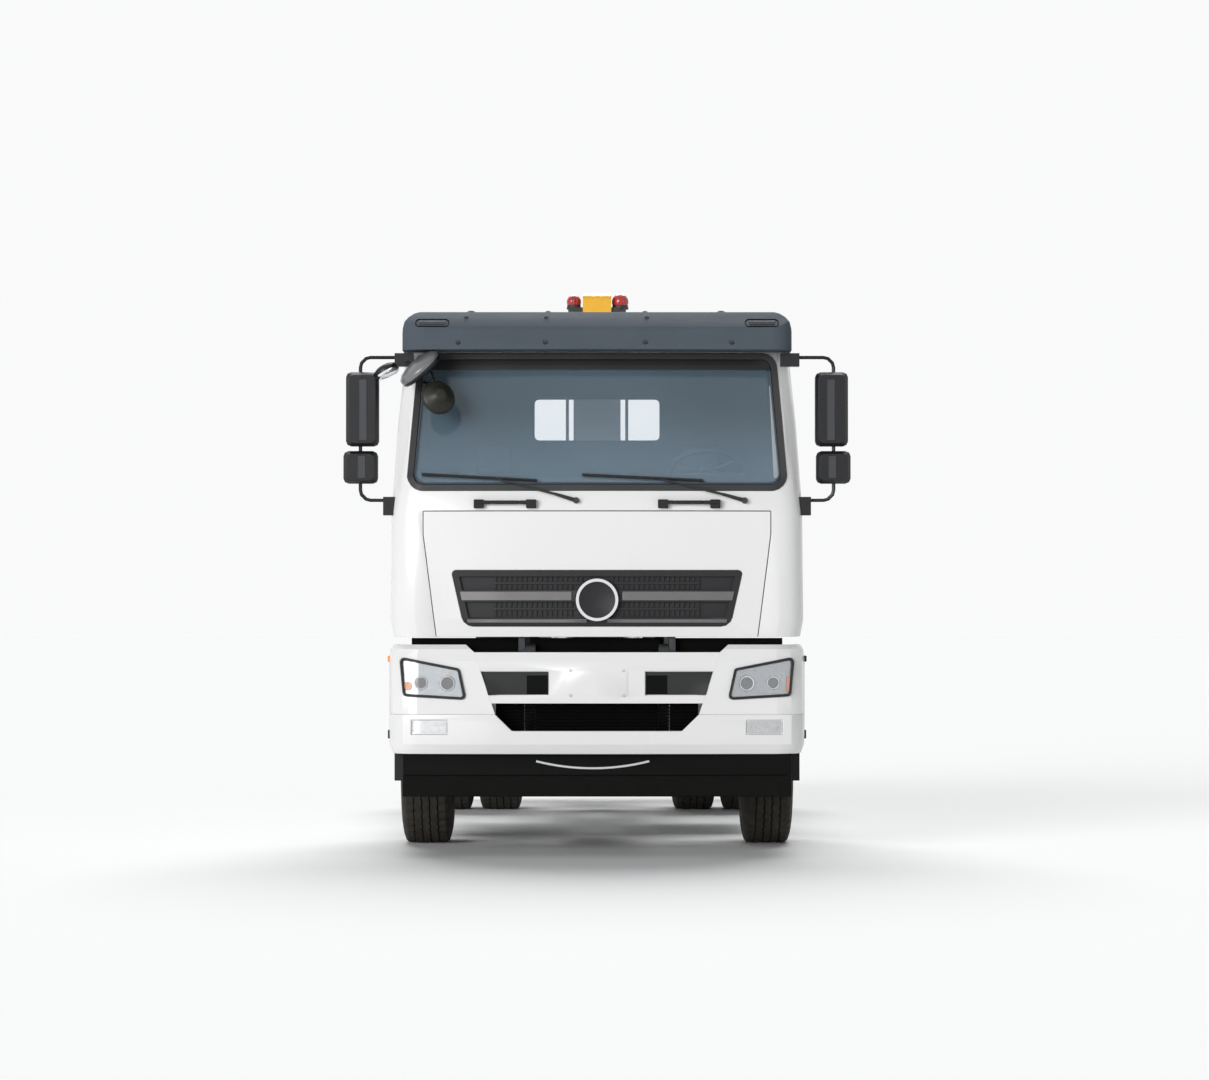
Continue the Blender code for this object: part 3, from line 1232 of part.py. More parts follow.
def roof_visor():
    """Dark brow over the windscreen that wraps the front of the roof."""
    side_view = rounded((
        (VISOR_FRONT, VISOR_BOTTOM), (VISOR_REAR, VISOR_BOTTOM), (VISOR_REAR, CAB_TOP + VISOR_WALL / 2),
        (VISOR_FRONT + VISOR_BROW * 2, VISOR_TOP), (VISOR_FRONT + VISOR_WALL, VISOR_TOP - VISOR_BROW)),
        (0, 0, 0, VISOR_BROW, VISOR_WALL), 5)
    visor = prism("visor", side_view, "x", -VISOR_OUT, VISOR_OUT, ANTHRACITE)
    front_view = rounded(((-VISOR_OUT, VISOR_BOTTOM - OVERRUN), (VISOR_OUT, VISOR_BOTTOM - OVERRUN),
                          (VISOR_OUT, VISOR_TOP), (-VISOR_OUT, VISOR_TOP)),
                         (0, 0, VISOR_SIDE_RADIUS, VISOR_SIDE_RADIUS), 6)
    keep(visor, prism("front", front_view, "y", -OVERRUN, CAB_LENGTH, ANTHRACITE))
    plan = plan_ring(VISOR_OUT + SEAT_GAP, VISOR_FRONT - SEAT_GAP, CAB_LENGTH, VISOR_SIDE_RADIUS,
                     CAB_REAR_RADIUS, VISOR_BOW, 0)
    keep(visor, prism("plan", [(x, y) for x, y, _ in plan], "z", CAB_BOTTOM, CAB_TOP + CAB_LENGTH,
                      ANTHRACITE))
    cut(visor, cab_form(-SEAT_GAP))
    keep_box = box("upper", (-CAB_LENGTH, CAB_LENGTH), (-OVERRUN, CAB_LENGTH),
                   (VISOR_BOTTOM, CAB_TOP + CAB_LENGTH), ANTHRACITE)
    keep(visor, keep_box)
    piece(visor, "roof_visor", "cab", ANTHRACITE)


def cab_floor():
    """Floor pan with its engine tunnel and the two hinge lugs of the tilting cab."""
    low = CAB_BOTTOM
    out = CAB_HALF_WIDTH - CAB_WALL * 1.4
    outline = [(-out, low), (-TUNNEL_OUT, low), (-TUNNEL_OUT, low + TUNNEL_HEIGHT),
               (TUNNEL_OUT, low + TUNNEL_HEIGHT), (TUNNEL_OUT, low),
               (out, low), (out, low + FLOOR_THICK), (TUNNEL_OUT + FLOOR_THICK, low + FLOOR_THICK),
               (TUNNEL_OUT + FLOOR_THICK, low + TUNNEL_HEIGHT + FLOOR_THICK),
               (-TUNNEL_OUT - FLOOR_THICK, low + TUNNEL_HEIGHT + FLOOR_THICK),
               (-TUNNEL_OUT - FLOOR_THICK, low + FLOOR_THICK), (-out, low + FLOOR_THICK)]
    floor = prism("floor", outline, "y", FLOOR_FRONT + CAB_BOW, CAB_LENGTH - CAB_WALL - SEAT_GAP, TRIM)
    keep(floor, cab_form(CAB_WALL + SEAT_GAP, OVERRUN))
    eye = (CAB_HINGE_PLACE, CAB_HINGE_HEIGHT)
    for _, side in SIDES:
        lug_out = TOWER_IN + TOWER_WIDTH + PIN_GAP
        outline = rounded(((eye[0] - CAB_HINGE_RADIUS, eye[1] - CAB_HINGE_RADIUS),
                           (eye[0] + CAB_HINGE_RADIUS, eye[1] - CAB_HINGE_RADIUS),
                           (eye[0] + CAB_HINGE_RADIUS * 6, low + FLOOR_THICK / 2),
                           (eye[0] + CAB_HINGE_RADIUS, low + FLOOR_THICK),
                           (eye[0] - CAB_HINGE_RADIUS * 0.2, low + FLOOR_THICK)),
                          (CAB_HINGE_RADIUS * 0.9, CAB_HINGE_RADIUS * 0.5, 0, 0, 0))
        lug = prism("lug", outline, "x", *span(side, lug_out, lug_out + CAB_LUG_WIDTH), TRIM)
        walls = box("walls", (-CAB_HALF_WIDTH, CAB_HALF_WIDTH), (-OVERRUN, CAB_LENGTH / 2),
                    (low - MOVING_GAP / 2, CAB_TOP), TRIM)
        add(floor, cut(lug, cut(walls, cab_form(CAB_WALL + SEAT_GAP, OVERRUN))))
    piece(floor, "cab_floor", "cab", TRIM)


def cab_inside():
    dash = prism("dash", rounded((
        (DASH_FRONT, DASH_TOP - DASH_RADIUS), (DASH_FRONT + DASH_RADIUS, DASH_TOP),
        (DASH_REAR, DASH_TOP - DASH_RADIUS),
        (DASH_REAR - DASH_RADIUS, DASH_BOTTOM), (DASH_FRONT, DASH_BOTTOM)),
        (0, 0, DASH_RADIUS / 2, DASH_RADIUS / 2, 0)),
        "x", -DASH_OUT, DASH_OUT, TRIM)
    hood = prism("hood", rounded((
        (DASH_FRONT + DASH_RADIUS, DASH_TOP - DASH_RADIUS),
        (DASH_FRONT + DASH_RADIUS * 2, DASH_TOP + DASH_RADIUS / 2),
        (DASH_REAR, DASH_TOP + DASH_RADIUS / 2), (DASH_REAR, DASH_TOP - DASH_RADIUS * 2)), DASH_RADIUS / 3),
        "x",
        STEER_WHEEL_OUT - STEER_WHEEL_RADIUS, STEER_WHEEL_OUT + STEER_WHEEL_RADIUS, TRIM)
    add(dash, hood)
    for _, side in SIDES:
        xs = span(side, DASH_OUT - DASH_RADIUS, DASH_OUT)
        leg_top = DASH_BOTTOM + DASH_RADIUS
        add(dash, box("leg", xs, (DASH_FRONT + DASH_RADIUS, DASH_REAR - DASH_RADIUS * 2),
                      (CAB_BOTTOM + FLOOR_THICK + SEAT_GAP, leg_top), TRIM))
    piece(add(dash, steering_wheel()), "dashboard", "cab", TRIM)
    for word, side in SIDES:
        outline = rounded((
            (SEAT_FRONT, CAB_BOTTOM + FLOOR_THICK + SEAT_GAP),
            (SEAT_REAR, CAB_BOTTOM + FLOOR_THICK + SEAT_GAP),
            (SEAT_REAR + SEAT_RADIUS * 2, SEAT_BACK_TOP),
            (SEAT_REAR + SEAT_RADIUS * 2 - SEAT_BACK_THICK, SEAT_BACK_TOP),
            (SEAT_REAR - SEAT_BACK_THICK, SEAT_BASE_TOP), (SEAT_FRONT, SEAT_BASE_TOP)),
            (0, 0, SEAT_RADIUS, SEAT_RADIUS, 0, SEAT_RADIUS))
        seat = prism("seat", outline, "x",
                     *span(side, SEAT_OUT - SEAT_WIDTH / 2, SEAT_OUT + SEAT_WIDTH / 2), CLOTH)
        piece(seat, "seat_" + word, "cab", CLOTH)


def steering_wheel():
    """Rim, three spokes and pad on a column that leans into the dashboard."""
    profile = []
    for step in range(5):
        angle = 2 * math.pi * step / 5
        profile.append((STEER_RIM_RADIUS * math.cos(angle),
                        STEER_WHEEL_RADIUS + STEER_RIM_RADIUS * math.sin(angle)))
    wheel = lathe("rim", profile, (0, 0, 0), BLACK, axis="z", steps=18)
    pad = [(-HUB_PAD_THICK, 0), (-HUB_PAD_THICK, HUB_PAD_RADIUS), (STEER_RIM_RADIUS / 2, HUB_PAD_RADIUS),
           (STEER_RIM_RADIUS / 2, 0)]
    add(wheel, lathe("pad", pad, (0, 0, 0), BLACK, axis="z", steps=ROUND_STEPS))
    for share in (0, 1, 2):
        angle = math.pi / 2 + share * 2 * math.pi / 3
        end = (STEER_WHEEL_RADIUS * math.cos(angle), STEER_WHEEL_RADIUS * math.sin(angle), 0)
        add(wheel, rod_between("spoke", (0, 0, -STEER_RIM_RADIUS / 2), end, STEER_RIM_RADIUS * 0.7, BLACK,
                               6))
    lean = Matrix.Rotation(-STEER_TILT, 4, "X")
    place = Matrix.Translation((STEER_WHEEL_OUT, STEER_WHEEL_PLACE, STEER_WHEEL_HEIGHT))
    wheel.data.transform(place @ lean)
    hub = Vector((STEER_WHEEL_OUT, STEER_WHEEL_PLACE, STEER_WHEEL_HEIGHT))
    down = lean.to_3x3() @ Vector((0, 0, -1))
    length = (STEER_WHEEL_PLACE - DASH_REAR + DASH_RADIUS) / abs(down.y)
    add(wheel, rod_between("column", hub, hub + down * length, COLUMN_RADIUS, BLACK, 12))
    return wheel


def mirror(side):
    """Two housings on a bent tube between brackets on the cab's corner."""
    half = MIRROR_BRACKET_WIDTH / 2
    top_in = CAB_HALF_WIDTH - MIRROR_BRACKET_WIDTH
    low_in = CAB_HALF_WIDTH + SEAT_GAP
    route = [(side * (low_in + half), MIRROR_PLACE, MIRROR_TUBE_BOTTOM),
             (side * MIRROR_TUBE_OUT, MIRROR_PLACE, MIRROR_TUBE_BOTTOM),
             (side * MIRROR_TUBE_OUT, MIRROR_PLACE, MIRROR_TUBE_TOP),
             (side * top_in, MIRROR_PLACE, MIRROR_TUBE_TOP)]
    body = tube("arm", route, MIRROR_TUBE_RADIUS, MIRROR_BEND, BLACK)
    housings = ((MIRROR_MAIN_IN, MIRROR_MAIN_OUT, MIRROR_MAIN_BOTTOM, MIRROR_MAIN_TOP),
                (MIRROR_LOW_IN, MIRROR_LOW_OUT, MIRROR_LOW_BOTTOM, MIRROR_LOW_TOP))
    for inner, outer, low, high in housings:
        rings = []
        front = MIRROR_PLACE - MIRROR_DEPTH * 0.6
        for share, shrink in ((0, 0.6), (0.3, 0), (1, 0)):
            by = shrink * MIRROR_CORNER
            outline = rounded(mirrored([(inner + by, low + by), (outer - by, low + by),
                                        (outer - by, high - by), (inner + by, high - by)], side),
                                        MIRROR_CORNER, 2)
            rings.append([(x, front + share * MIRROR_DEPTH, z) for x, z in outline])
        add(body, loft("housing", rings, BLACK))
    ys = (MIRROR_PLACE - MIRROR_BRACKET_LENGTH / 2, MIRROR_PLACE + MIRROR_BRACKET_LENGTH / 2)
    low_zs = (MIRROR_TUBE_BOTTOM + MIRROR_TUBE_RADIUS * 1.6 - MIRROR_BRACKET_HEIGHT,
              MIRROR_TUBE_BOTTOM + MIRROR_TUBE_RADIUS * 1.6)
    lower = box("lower", span(side, low_in - MIRROR_BRACKET_WIDTH, low_in + MIRROR_BRACKET_WIDTH), ys,
                low_zs, BLACK)
    top_zs = (MIRROR_TUBE_TOP - MIRROR_BRACKET_HEIGHT / 2, MIRROR_TUBE_TOP + MIRROR_TUBE_RADIUS * 2)
    upper = box("upper", span(side, top_in - MIRROR_BRACKET_WIDTH * 2, top_in + half), ys, top_zs, BLACK)
    return add(body, cut(lower, cab_form(-SEAT_GAP)), cut(upper, cab_form(-SEAT_GAP)))


def mirrors():
    for word, side in SIDES:
        piece(mirror(side), "mirror_" + word, "cab", BLACK)


def lamp_outline(side, by=0.0):
    corners = [LAMP_OUTER_TOP, LAMP_INNER_TOP, LAMP_INNER_BOTTOM, LAMP_OUTER_BOTTOM]
    return mirrored(rounded(grown(corners, by), LAMP_CORNER + by), side)


def bumper():
    """White bumper: centre with vents, lower bar with fog lamps and two lamp wings."""
    gap = BUMPER_GAP / 2
    top, low = BUMPER_SEAM_TOP_OUT, BUMPER_SEAM_LOW_OUT
    slope = (top - low) / (BUMPER_CENTRE_TOP - WING_SEAM)
    mouth = low + slope * (BUMPER_MOUTH_TOP - WING_SEAM)
    centre = [(-top + gap, BUMPER_CENTRE_TOP), (-mouth + gap, BUMPER_MOUTH_TOP),
              (mouth - gap, BUMPER_MOUTH_TOP), (top - gap, BUMPER_CENTRE_TOP)]
    body = bumper_piece("centre", centre, WHITE)
    for _, side in SIDES:
        vent = mirrored([(VENT_IN, VENT_BOTTOM), (VENT_BOTTOM_OUT, VENT_BOTTOM), (VENT_TOP_OUT, VENT_TOP),
                         (VENT_IN, VENT_TOP)], side)
        cut(body, cut(prism("vent", vent, "y", -OVERRUN, BUMPER_WRAP, WHITE), bumper_form(VENT_DEPTH)))
    plate = prism("plate", [(-PLATE_OUT, VENT_BOTTOM), (PLATE_OUT, VENT_BOTTOM), (PLATE_OUT, VENT_TOP),
                            (-PLATE_OUT, VENT_TOP)], "y", -OVERRUN, BUMPER_WRAP, WHITE)
    add(body, keep(cut(bumper_form(-PLATE_PROUD), bumper_form(BUMPER_WALL / 2)), plate))
    piece(body, "bumper_centre", "chassis", WHITE)
    side_out = BUMPER_HALF_WIDTH + OVERRUN
    lower = [(-side_out, BUMPER_BOTTOM - OVERRUN), (side_out, BUMPER_BOTTOM - OVERRUN),
             (side_out, WING_SEAM - gap), (low + gap, WING_SEAM - gap),
             (low - BUMPER_MOUTH_SLOPE, BUMPER_MOUTH_BOTTOM),
             (-low + BUMPER_MOUTH_SLOPE, BUMPER_MOUTH_BOTTOM), (-low - gap, WING_SEAM - gap),
             (-side_out, WING_SEAM - gap)]
    body = bumper_piece("lower", lower, WHITE)
    for _, side in SIDES:
        fog = mirrored([(FOG_IN, FOG_BOTTOM), (FOG_OUT, FOG_BOTTOM), (FOG_OUT, FOG_TOP), (FOG_IN, FOG_TOP)],
                       side)
        cut(body, cut(prism("fog", fog, "y", -OVERRUN, BUMPER_WRAP, WHITE), bumper_form(FOG_DEPTH)))
    piece(body, "bumper_lower", "chassis", WHITE)
    for word, side in SIDES:
        wing = mirrored([(low + gap, WING_SEAM + gap), (side_out, WING_SEAM + gap),
                         (side_out, BUMPER_TOP + OVERRUN),
                         (top + OVERRUN, BUMPER_TOP + OVERRUN), (top + OVERRUN, BUMPER_TOP - gap),
                         (top + gap, BUMPER_CENTRE_TOP)], side)
        body = bumper_piece("wing", wing, WHITE)
        cut(body, prism("lamp", lamp_outline(side, BUMPER_GAP), "y", -OVERRUN, BUMPER_WRAP, WHITE))
        piece(body, "bumper_wing_" + word, "chassis", WHITE)
        piece(bumper_piece("lamp", lamp_outline(side), LAMP), "headlamp_" + word, "chassis", LAMP)


def underrun():
    """Dark beam under the bumper with a set-back upper face and two stays to the frame."""
    lower = box("lower", (-UNDERRUN_OUT, UNDERRUN_OUT), (UNDERRUN_FACE, UNDERRUN_FACE + UNDERRUN_DEPTH),
                (UNDERRUN_BOTTOM, UNDERRUN_STEP), BLACK)
    upper = box("upper", (-UNDERRUN_OUT, UNDERRUN_OUT),
                (UNDERRUN_BACK_FACE, UNDERRUN_BACK_FACE + UNDERRUN_DEPTH),
                (UNDERRUN_STEP - RAIL_WALL, BUMPER_BOTTOM - BUMPER_GAP), BLACK)
    add(lower, upper)
    for _, side in SIDES:
        xs = span(side, UNDERRUN_STAY_OUT - UNDERRUN_STAY_WIDTH / 2,
                  UNDERRUN_STAY_OUT + UNDERRUN_STAY_WIDTH / 2)
        outline = ((UNDERRUN_BACK_FACE + RAIL_WALL, UNDERRUN_STEP),
                   (UNDERRUN_BACK_FACE + UNDERRUN_DEPTH, UNDERRUN_STEP),
                   (RAIL_FRONT + RAIL_HEIGHT / 2, RAIL_TOP - RAIL_HEIGHT - SEAT_GAP),
                   (RAIL_FRONT, RAIL_TOP - RAIL_HEIGHT - SEAT_GAP),
                   (UNDERRUN_BACK_FACE + RAIL_WALL, BUMPER_BOTTOM + BUMPER_WALL))
        add(lower, prism("stay", outline, "x", *xs, BLACK))
    piece(lower, "underrun_panel", "chassis", BLACK)


def arch(radius, thick, centre, start, end, steps):
    """A curved strip seen from the side, as an outline."""
    outer, inner = [], []
    for step in range(steps + 1):
        angle = start + (end - start) * step / steps
        way = Vector((math.cos(angle), math.sin(angle)))
        outer.append(tuple(Vector(centre) + way * (radius + thick)))
        inner.append(tuple(Vector(centre) + way * radius))
    return outer + inner[::-1]


def entry_step(side):
    """Step box with two wells and the mudguard strip over the front wheel."""
    xs = span(side, STEP_IN, STEP_OUT)
    body = box("step", xs, (STEP_FRONT, STEP_REAR), (STEP_BOTTOM, STEP_TOP), BLACK)
    wheel = rod_between("wheel", (side * (STEP_IN - OVERRUN), FRONT_AXLE, TYRE_RADIUS),
                        (side * (STEP_OUT + OVERRUN), FRONT_AXLE, TYRE_RADIUS), GUARD_RADIUS, BLACK, 32)
    for height in STEP_HEIGHTS:
        well = box("well", span(side, STEP_OUT - STEP_WELL_DEPTH, STEP_OUT + OVERRUN),
                   (STEP_FRONT + STEP_WELL_MARGIN, STEP_REAR - STEP_WELL_MARGIN * 2),
                   (height, height + STEP_WELL_HEIGHT), BLACK)
        cut(body, well)
    guard = prism("guard", arch(GUARD_RADIUS, GUARD_THICK, (FRONT_AXLE, TYRE_RADIUS), GUARD_REAR_ANGLE,
                                GUARD_FRONT_ANGLE, GUARD_STEPS), "x", *xs, BLACK)
    add(cut(body, wheel), guard)
    stay_zs = (RAIL_TOP - GUARD_STAY * 2, RAIL_TOP - GUARD_STAY)
    stay = box("stay", span(side, RAIL_OUT + SEAT_GAP, STEP_IN + GUARD_STAY),
               (STEP_FRONT + GUARD_STAY, STEP_FRONT + GUARD_STAY * 2), stay_zs, BLACK)
    return add(body, stay)


def front_steps():
    for word, side in SIDES:
        piece(entry_step(side), "entry_step_" + word, "chassis", BLACK)


def rear_guards():
    for word, side in SIDES:
        centre = (REAR_AXLE, TYRE_RADIUS)
        outline = arch(REAR_GUARD_RADIUS, GUARD_THICK, centre, REAR_GUARD_ANGLE, math.pi - REAR_GUARD_ANGLE,
                       GUARD_STEPS)
        guard = prism("guard", outline, "x", *span(side, REAR_GUARD_IN, REAR_GUARD_OUT), BLACK)
        for share in (0.30, 0.70):
            angle = math.pi * share
            place = REAR_AXLE - math.cos(angle) * (REAR_GUARD_RADIUS + REAR_GUARD_STAY / 2)
            height = TYRE_RADIUS + math.sin(angle) * (REAR_GUARD_RADIUS + REAR_GUARD_STAY / 2)
            add(guard, rod_between("stay", (side * (SUB_OUT + SEAT_GAP), place, height),
                                   (side * (REAR_GUARD_OUT - OVERRUN), place, height),
                                   REAR_GUARD_STAY, BLACK, 8))
        piece(guard, "rear_mudguard_" + word, "chassis", BLACK)


def side_equipment():
    tank = prism("tank", rounded(((TANK_IN, TANK_BOTTOM), (TANK_OUT, TANK_BOTTOM), (TANK_OUT, TANK_TOP),
                                  (TANK_IN, TANK_TOP)), TANK_RADIUS),
                 "y", TANK_FRONT, TANK_REAR, TANK_METAL)
    neck = rod_between("neck", (TANK_OUT - TANK_RADIUS * 2, TANK_FRONT + TANK_RADIUS * 2,
                                TANK_TOP - TANK_RADIUS),
                       (TANK_OUT - TANK_RADIUS * 2, TANK_FRONT + TANK_RADIUS * 2,
                        TANK_TOP + TANK_RADIUS / 3), TANK_RADIUS / 2, TANK_METAL)
    piece(add(tank, neck), "fuel_tank", "chassis", TANK_METAL)
    silencer = prism("silencer", rounded(((-TANK_OUT, SILENCER_BOTTOM), (-TANK_IN, SILENCER_BOTTOM),
                                          (-TANK_IN, SILENCER_TOP), (-TANK_OUT, SILENCER_TOP)),
                                         (SILENCER_RADIUS, TANK_RADIUS / 2, TANK_RADIUS / 2,
                                          SILENCER_RADIUS)), "y", SILENCER_FRONT, SILENCER_REAR, TANK_METAL)
    middle = (SILENCER_BOTTOM + SILENCER_TOP) / 2 - SILENCER_RADIUS / 2
    out = -TANK_OUT + SILENCER_RADIUS
    add(silencer, rod_between("pipe", (out, SILENCER_FRONT - PIPE_LENGTH, middle),
                              (out, SILENCER_FRONT + OVERRUN, middle), PIPE_RADIUS, TANK_METAL))
    piece(silencer, "silencer_box", "chassis", TANK_METAL)
    battery = box("battery", (-BATTERY_OUT, -TANK_IN), (BATTERY_FRONT, BATTERY_REAR),
                  (BATTERY_BOTTOM, BATTERY_TOP), BLACK)
    for place in (TANK_IN + AIR_TANK_RADIUS * 1.5, BATTERY_OUT - AIR_TANK_RADIUS * 1.2):
        profile = [(BATTERY_FRONT, 0), (BATTERY_FRONT, AIR_TANK_RADIUS * 0.6),
                   (BATTERY_FRONT + AIR_TANK_RADIUS / 2, AIR_TANK_RADIUS),
                   (BATTERY_REAR - AIR_TANK_RADIUS / 2, AIR_TANK_RADIUS),
                   (BATTERY_REAR, AIR_TANK_RADIUS * 0.6), (BATTERY_REAR, 0)]
        strap = box("strap", (-place - GUARD_THICK, -place + GUARD_THICK),
                    (BATTERY_FRONT + AIR_TANK_RADIUS, BATTERY_REAR - AIR_TANK_RADIUS),
                    (AIR_TANK_HEIGHT, BATTERY_BOTTOM + GUARD_THICK), BLACK)
        add(battery, strap, lathe("air", profile, (-place, 0, AIR_TANK_HEIGHT), BLACK, axis="y"))
    piece(battery, "battery_and_air_tanks", "chassis", BLACK)
    oil = prism("oil", rounded(((-OIL_TANK_OUT, OIL_TANK_FRONT), (-OIL_TANK_IN, OIL_TANK_FRONT),
                                (-OIL_TANK_IN, OIL_TANK_REAR), (-OIL_TANK_OUT, OIL_TANK_REAR)),
                                OIL_TANK_RADIUS),
                "z", RAIL_TOP + SEAT_GAP, OIL_TANK_TOP, LIFT_PAINT)
    piece(oil, "oil_tank", "chassis", LIFT_PAINT)
    for word, side in SIDES:
        xs = span(side, SIDE_GUARD_OUT - SIDE_GUARD_THICK, SIDE_GUARD_OUT)
        low, high = SIDE_GUARD_HEIGHTS[0], SIDE_GUARD_HEIGHTS[1] + SIDE_GUARD_BAR
        ys = (SIDE_GUARD_FRONT, SIDE_GUARD_REAR)
        guard = box("lower", xs, ys, (low, low + SIDE_GUARD_BAR), TANK_METAL)
        for place in SIDE_GUARD_POST_PLACES:
            ys_post = (place, place + SIDE_GUARD_POST)
            post_xs = span(side, SIDE_GUARD_OUT - SIDE_GUARD_THICK * 2,
                           SIDE_GUARD_OUT - SIDE_GUARD_THICK / 2)
            arm_xs = span(side, RAIL_OUT + SEAT_GAP, SIDE_GUARD_OUT - SIDE_GUARD_THICK * 1.5)
            add(guard, box("post", post_xs, ys_post, (low, high), TANK_METAL))
            add(guard, box("arm", arm_xs, ys_post, (high - SIDE_GUARD_POST, high), TANK_METAL))
        add(guard, box("upper", xs, ys, (high - SIDE_GUARD_BAR, high), TANK_METAL))
        piece(guard, "side_guard_" + word, "chassis", TANK_METAL)


def rear_bar():
    """Rear underrun bar with its lamp boxes and two stays to the frame's end."""
    back = TRUCK_LENGTH
    bar = box("bar", (-REAR_BAR_OUT, REAR_BAR_OUT), (back - REAR_BAR_DEPTH, back),
              (REAR_BAR_BOTTOM, REAR_BAR_BOTTOM + REAR_BAR_HEIGHT), CHASSIS)
    for _, side in SIDES:
        lamp = box("lamp", span(side, REAR_LAMP_IN, REAR_BAR_OUT),
                   (back - REAR_BAR_DEPTH, back - REAR_BAR_DEPTH + REAR_LAMP_DEPTH),
                   (REAR_BAR_BOTTOM + REAR_BAR_HEIGHT - RAIL_WALL, REAR_LAMP_TOP), CHASSIS)
        stay = box("stay", span(side, REAR_STAY_OUT - REAR_STAY_WIDTH / 2,
                                REAR_STAY_OUT + REAR_STAY_WIDTH / 2),
                   (RAIL_REAR + SEAT_GAP, RAIL_REAR + REAR_STAY_LENGTH),
                   (REAR_BAR_BOTTOM + RAIL_WALL, RAIL_TOP - RAIL_WALL), CHASSIS)
        add(bar, lamp, stay)
    piece(bar, "rear_bar", "chassis", CHASSIS)


def subframe():
    """The hoist's base: two box rails on the chassis with cylinder feet and the rear pivot."""
    frame = None
    base = RAIL_TOP + SEAT_GAP
    for _, side in SIDES:
        rail = box("rail", span(side, SUB_IN, SUB_OUT), (SUB_FRONT, RAIL_REAR), (base, SUB_TOP), LIFT_PAINT)
        foot_xs = span(side, CYLINDER_OUT + BARREL_RADIUS + MOVING_GAP, SUB_IN + SUB_WALL)
        foot = prism("foot", rounded(((FOOT_PLACE - FOOT_PLATE_RADIUS, FOOT_HEIGHT - FOOT_PLATE_RADIUS),
                                      (FOOT_PLACE + FOOT_PLATE_RADIUS, FOOT_HEIGHT - FOOT_PLATE_RADIUS),
                                      (FOOT_PLACE + FOOT_PLATE_RADIUS, SUB_TOP - SUB_WALL),
                                      (FOOT_PLACE - FOOT_PLATE_RADIUS, SUB_TOP - SUB_WALL)),
                                     (FOOT_PLATE_RADIUS * 0.9, FOOT_PLATE_RADIUS * 0.9, 0, 0)), "x",
                                     foot_xs[0], foot_xs[1], LIFT_PAINT)
        chop = box("chop", span(side, RAIL_OUT - RAIL_FLANGE - SEAT_GAP * 2, RAIL_OUT),
                   (FOOT_PLACE - FOOT_PLATE_RADIUS * 2, FOOT_PLACE + FOOT_PLATE_RADIUS * 2),
                   (0, base), LIFT_PAINT)
        lock = box("lock", span(side, SUB_OUT - SUB_WALL, SUB_OUT + LOCK_REACH),
                   (LOCK_PLACE, LOCK_PLACE + LOCK_LENGTH), (base, base + LOCK_HEIGHT), LIFT_PAINT)
        add(rail, cut(foot, chop), lock)
        frame = add(frame, rail) if frame else rail
    tip_height = TIP_HEIGHT - TIP_TUBE_RADIUS * 0.5
    add(frame, pivot_rod("foot_tube", FOOT_PLACE, FOOT_HEIGHT, SUB_IN, FOOT_TUBE_RADIUS, LIFT_PAINT))
    add(frame, pivot_rod("tip_tube", TIP_PLACE, tip_height, SUB_IN + SUB_WALL, TIP_TUBE_RADIUS, LIFT_PAINT))
    for place in SUB_CROSS_PLACES:
        add(frame, box("cross", (-SUB_IN - SUB_WALL, SUB_IN + SUB_WALL), (place, place + SUB_CROSS_LENGTH),
                       (base, base + SUB_CROSS_HEIGHT), LIFT_PAINT))
    piece(frame, "lift_subframe", "chassis", LIFT_PAINT)


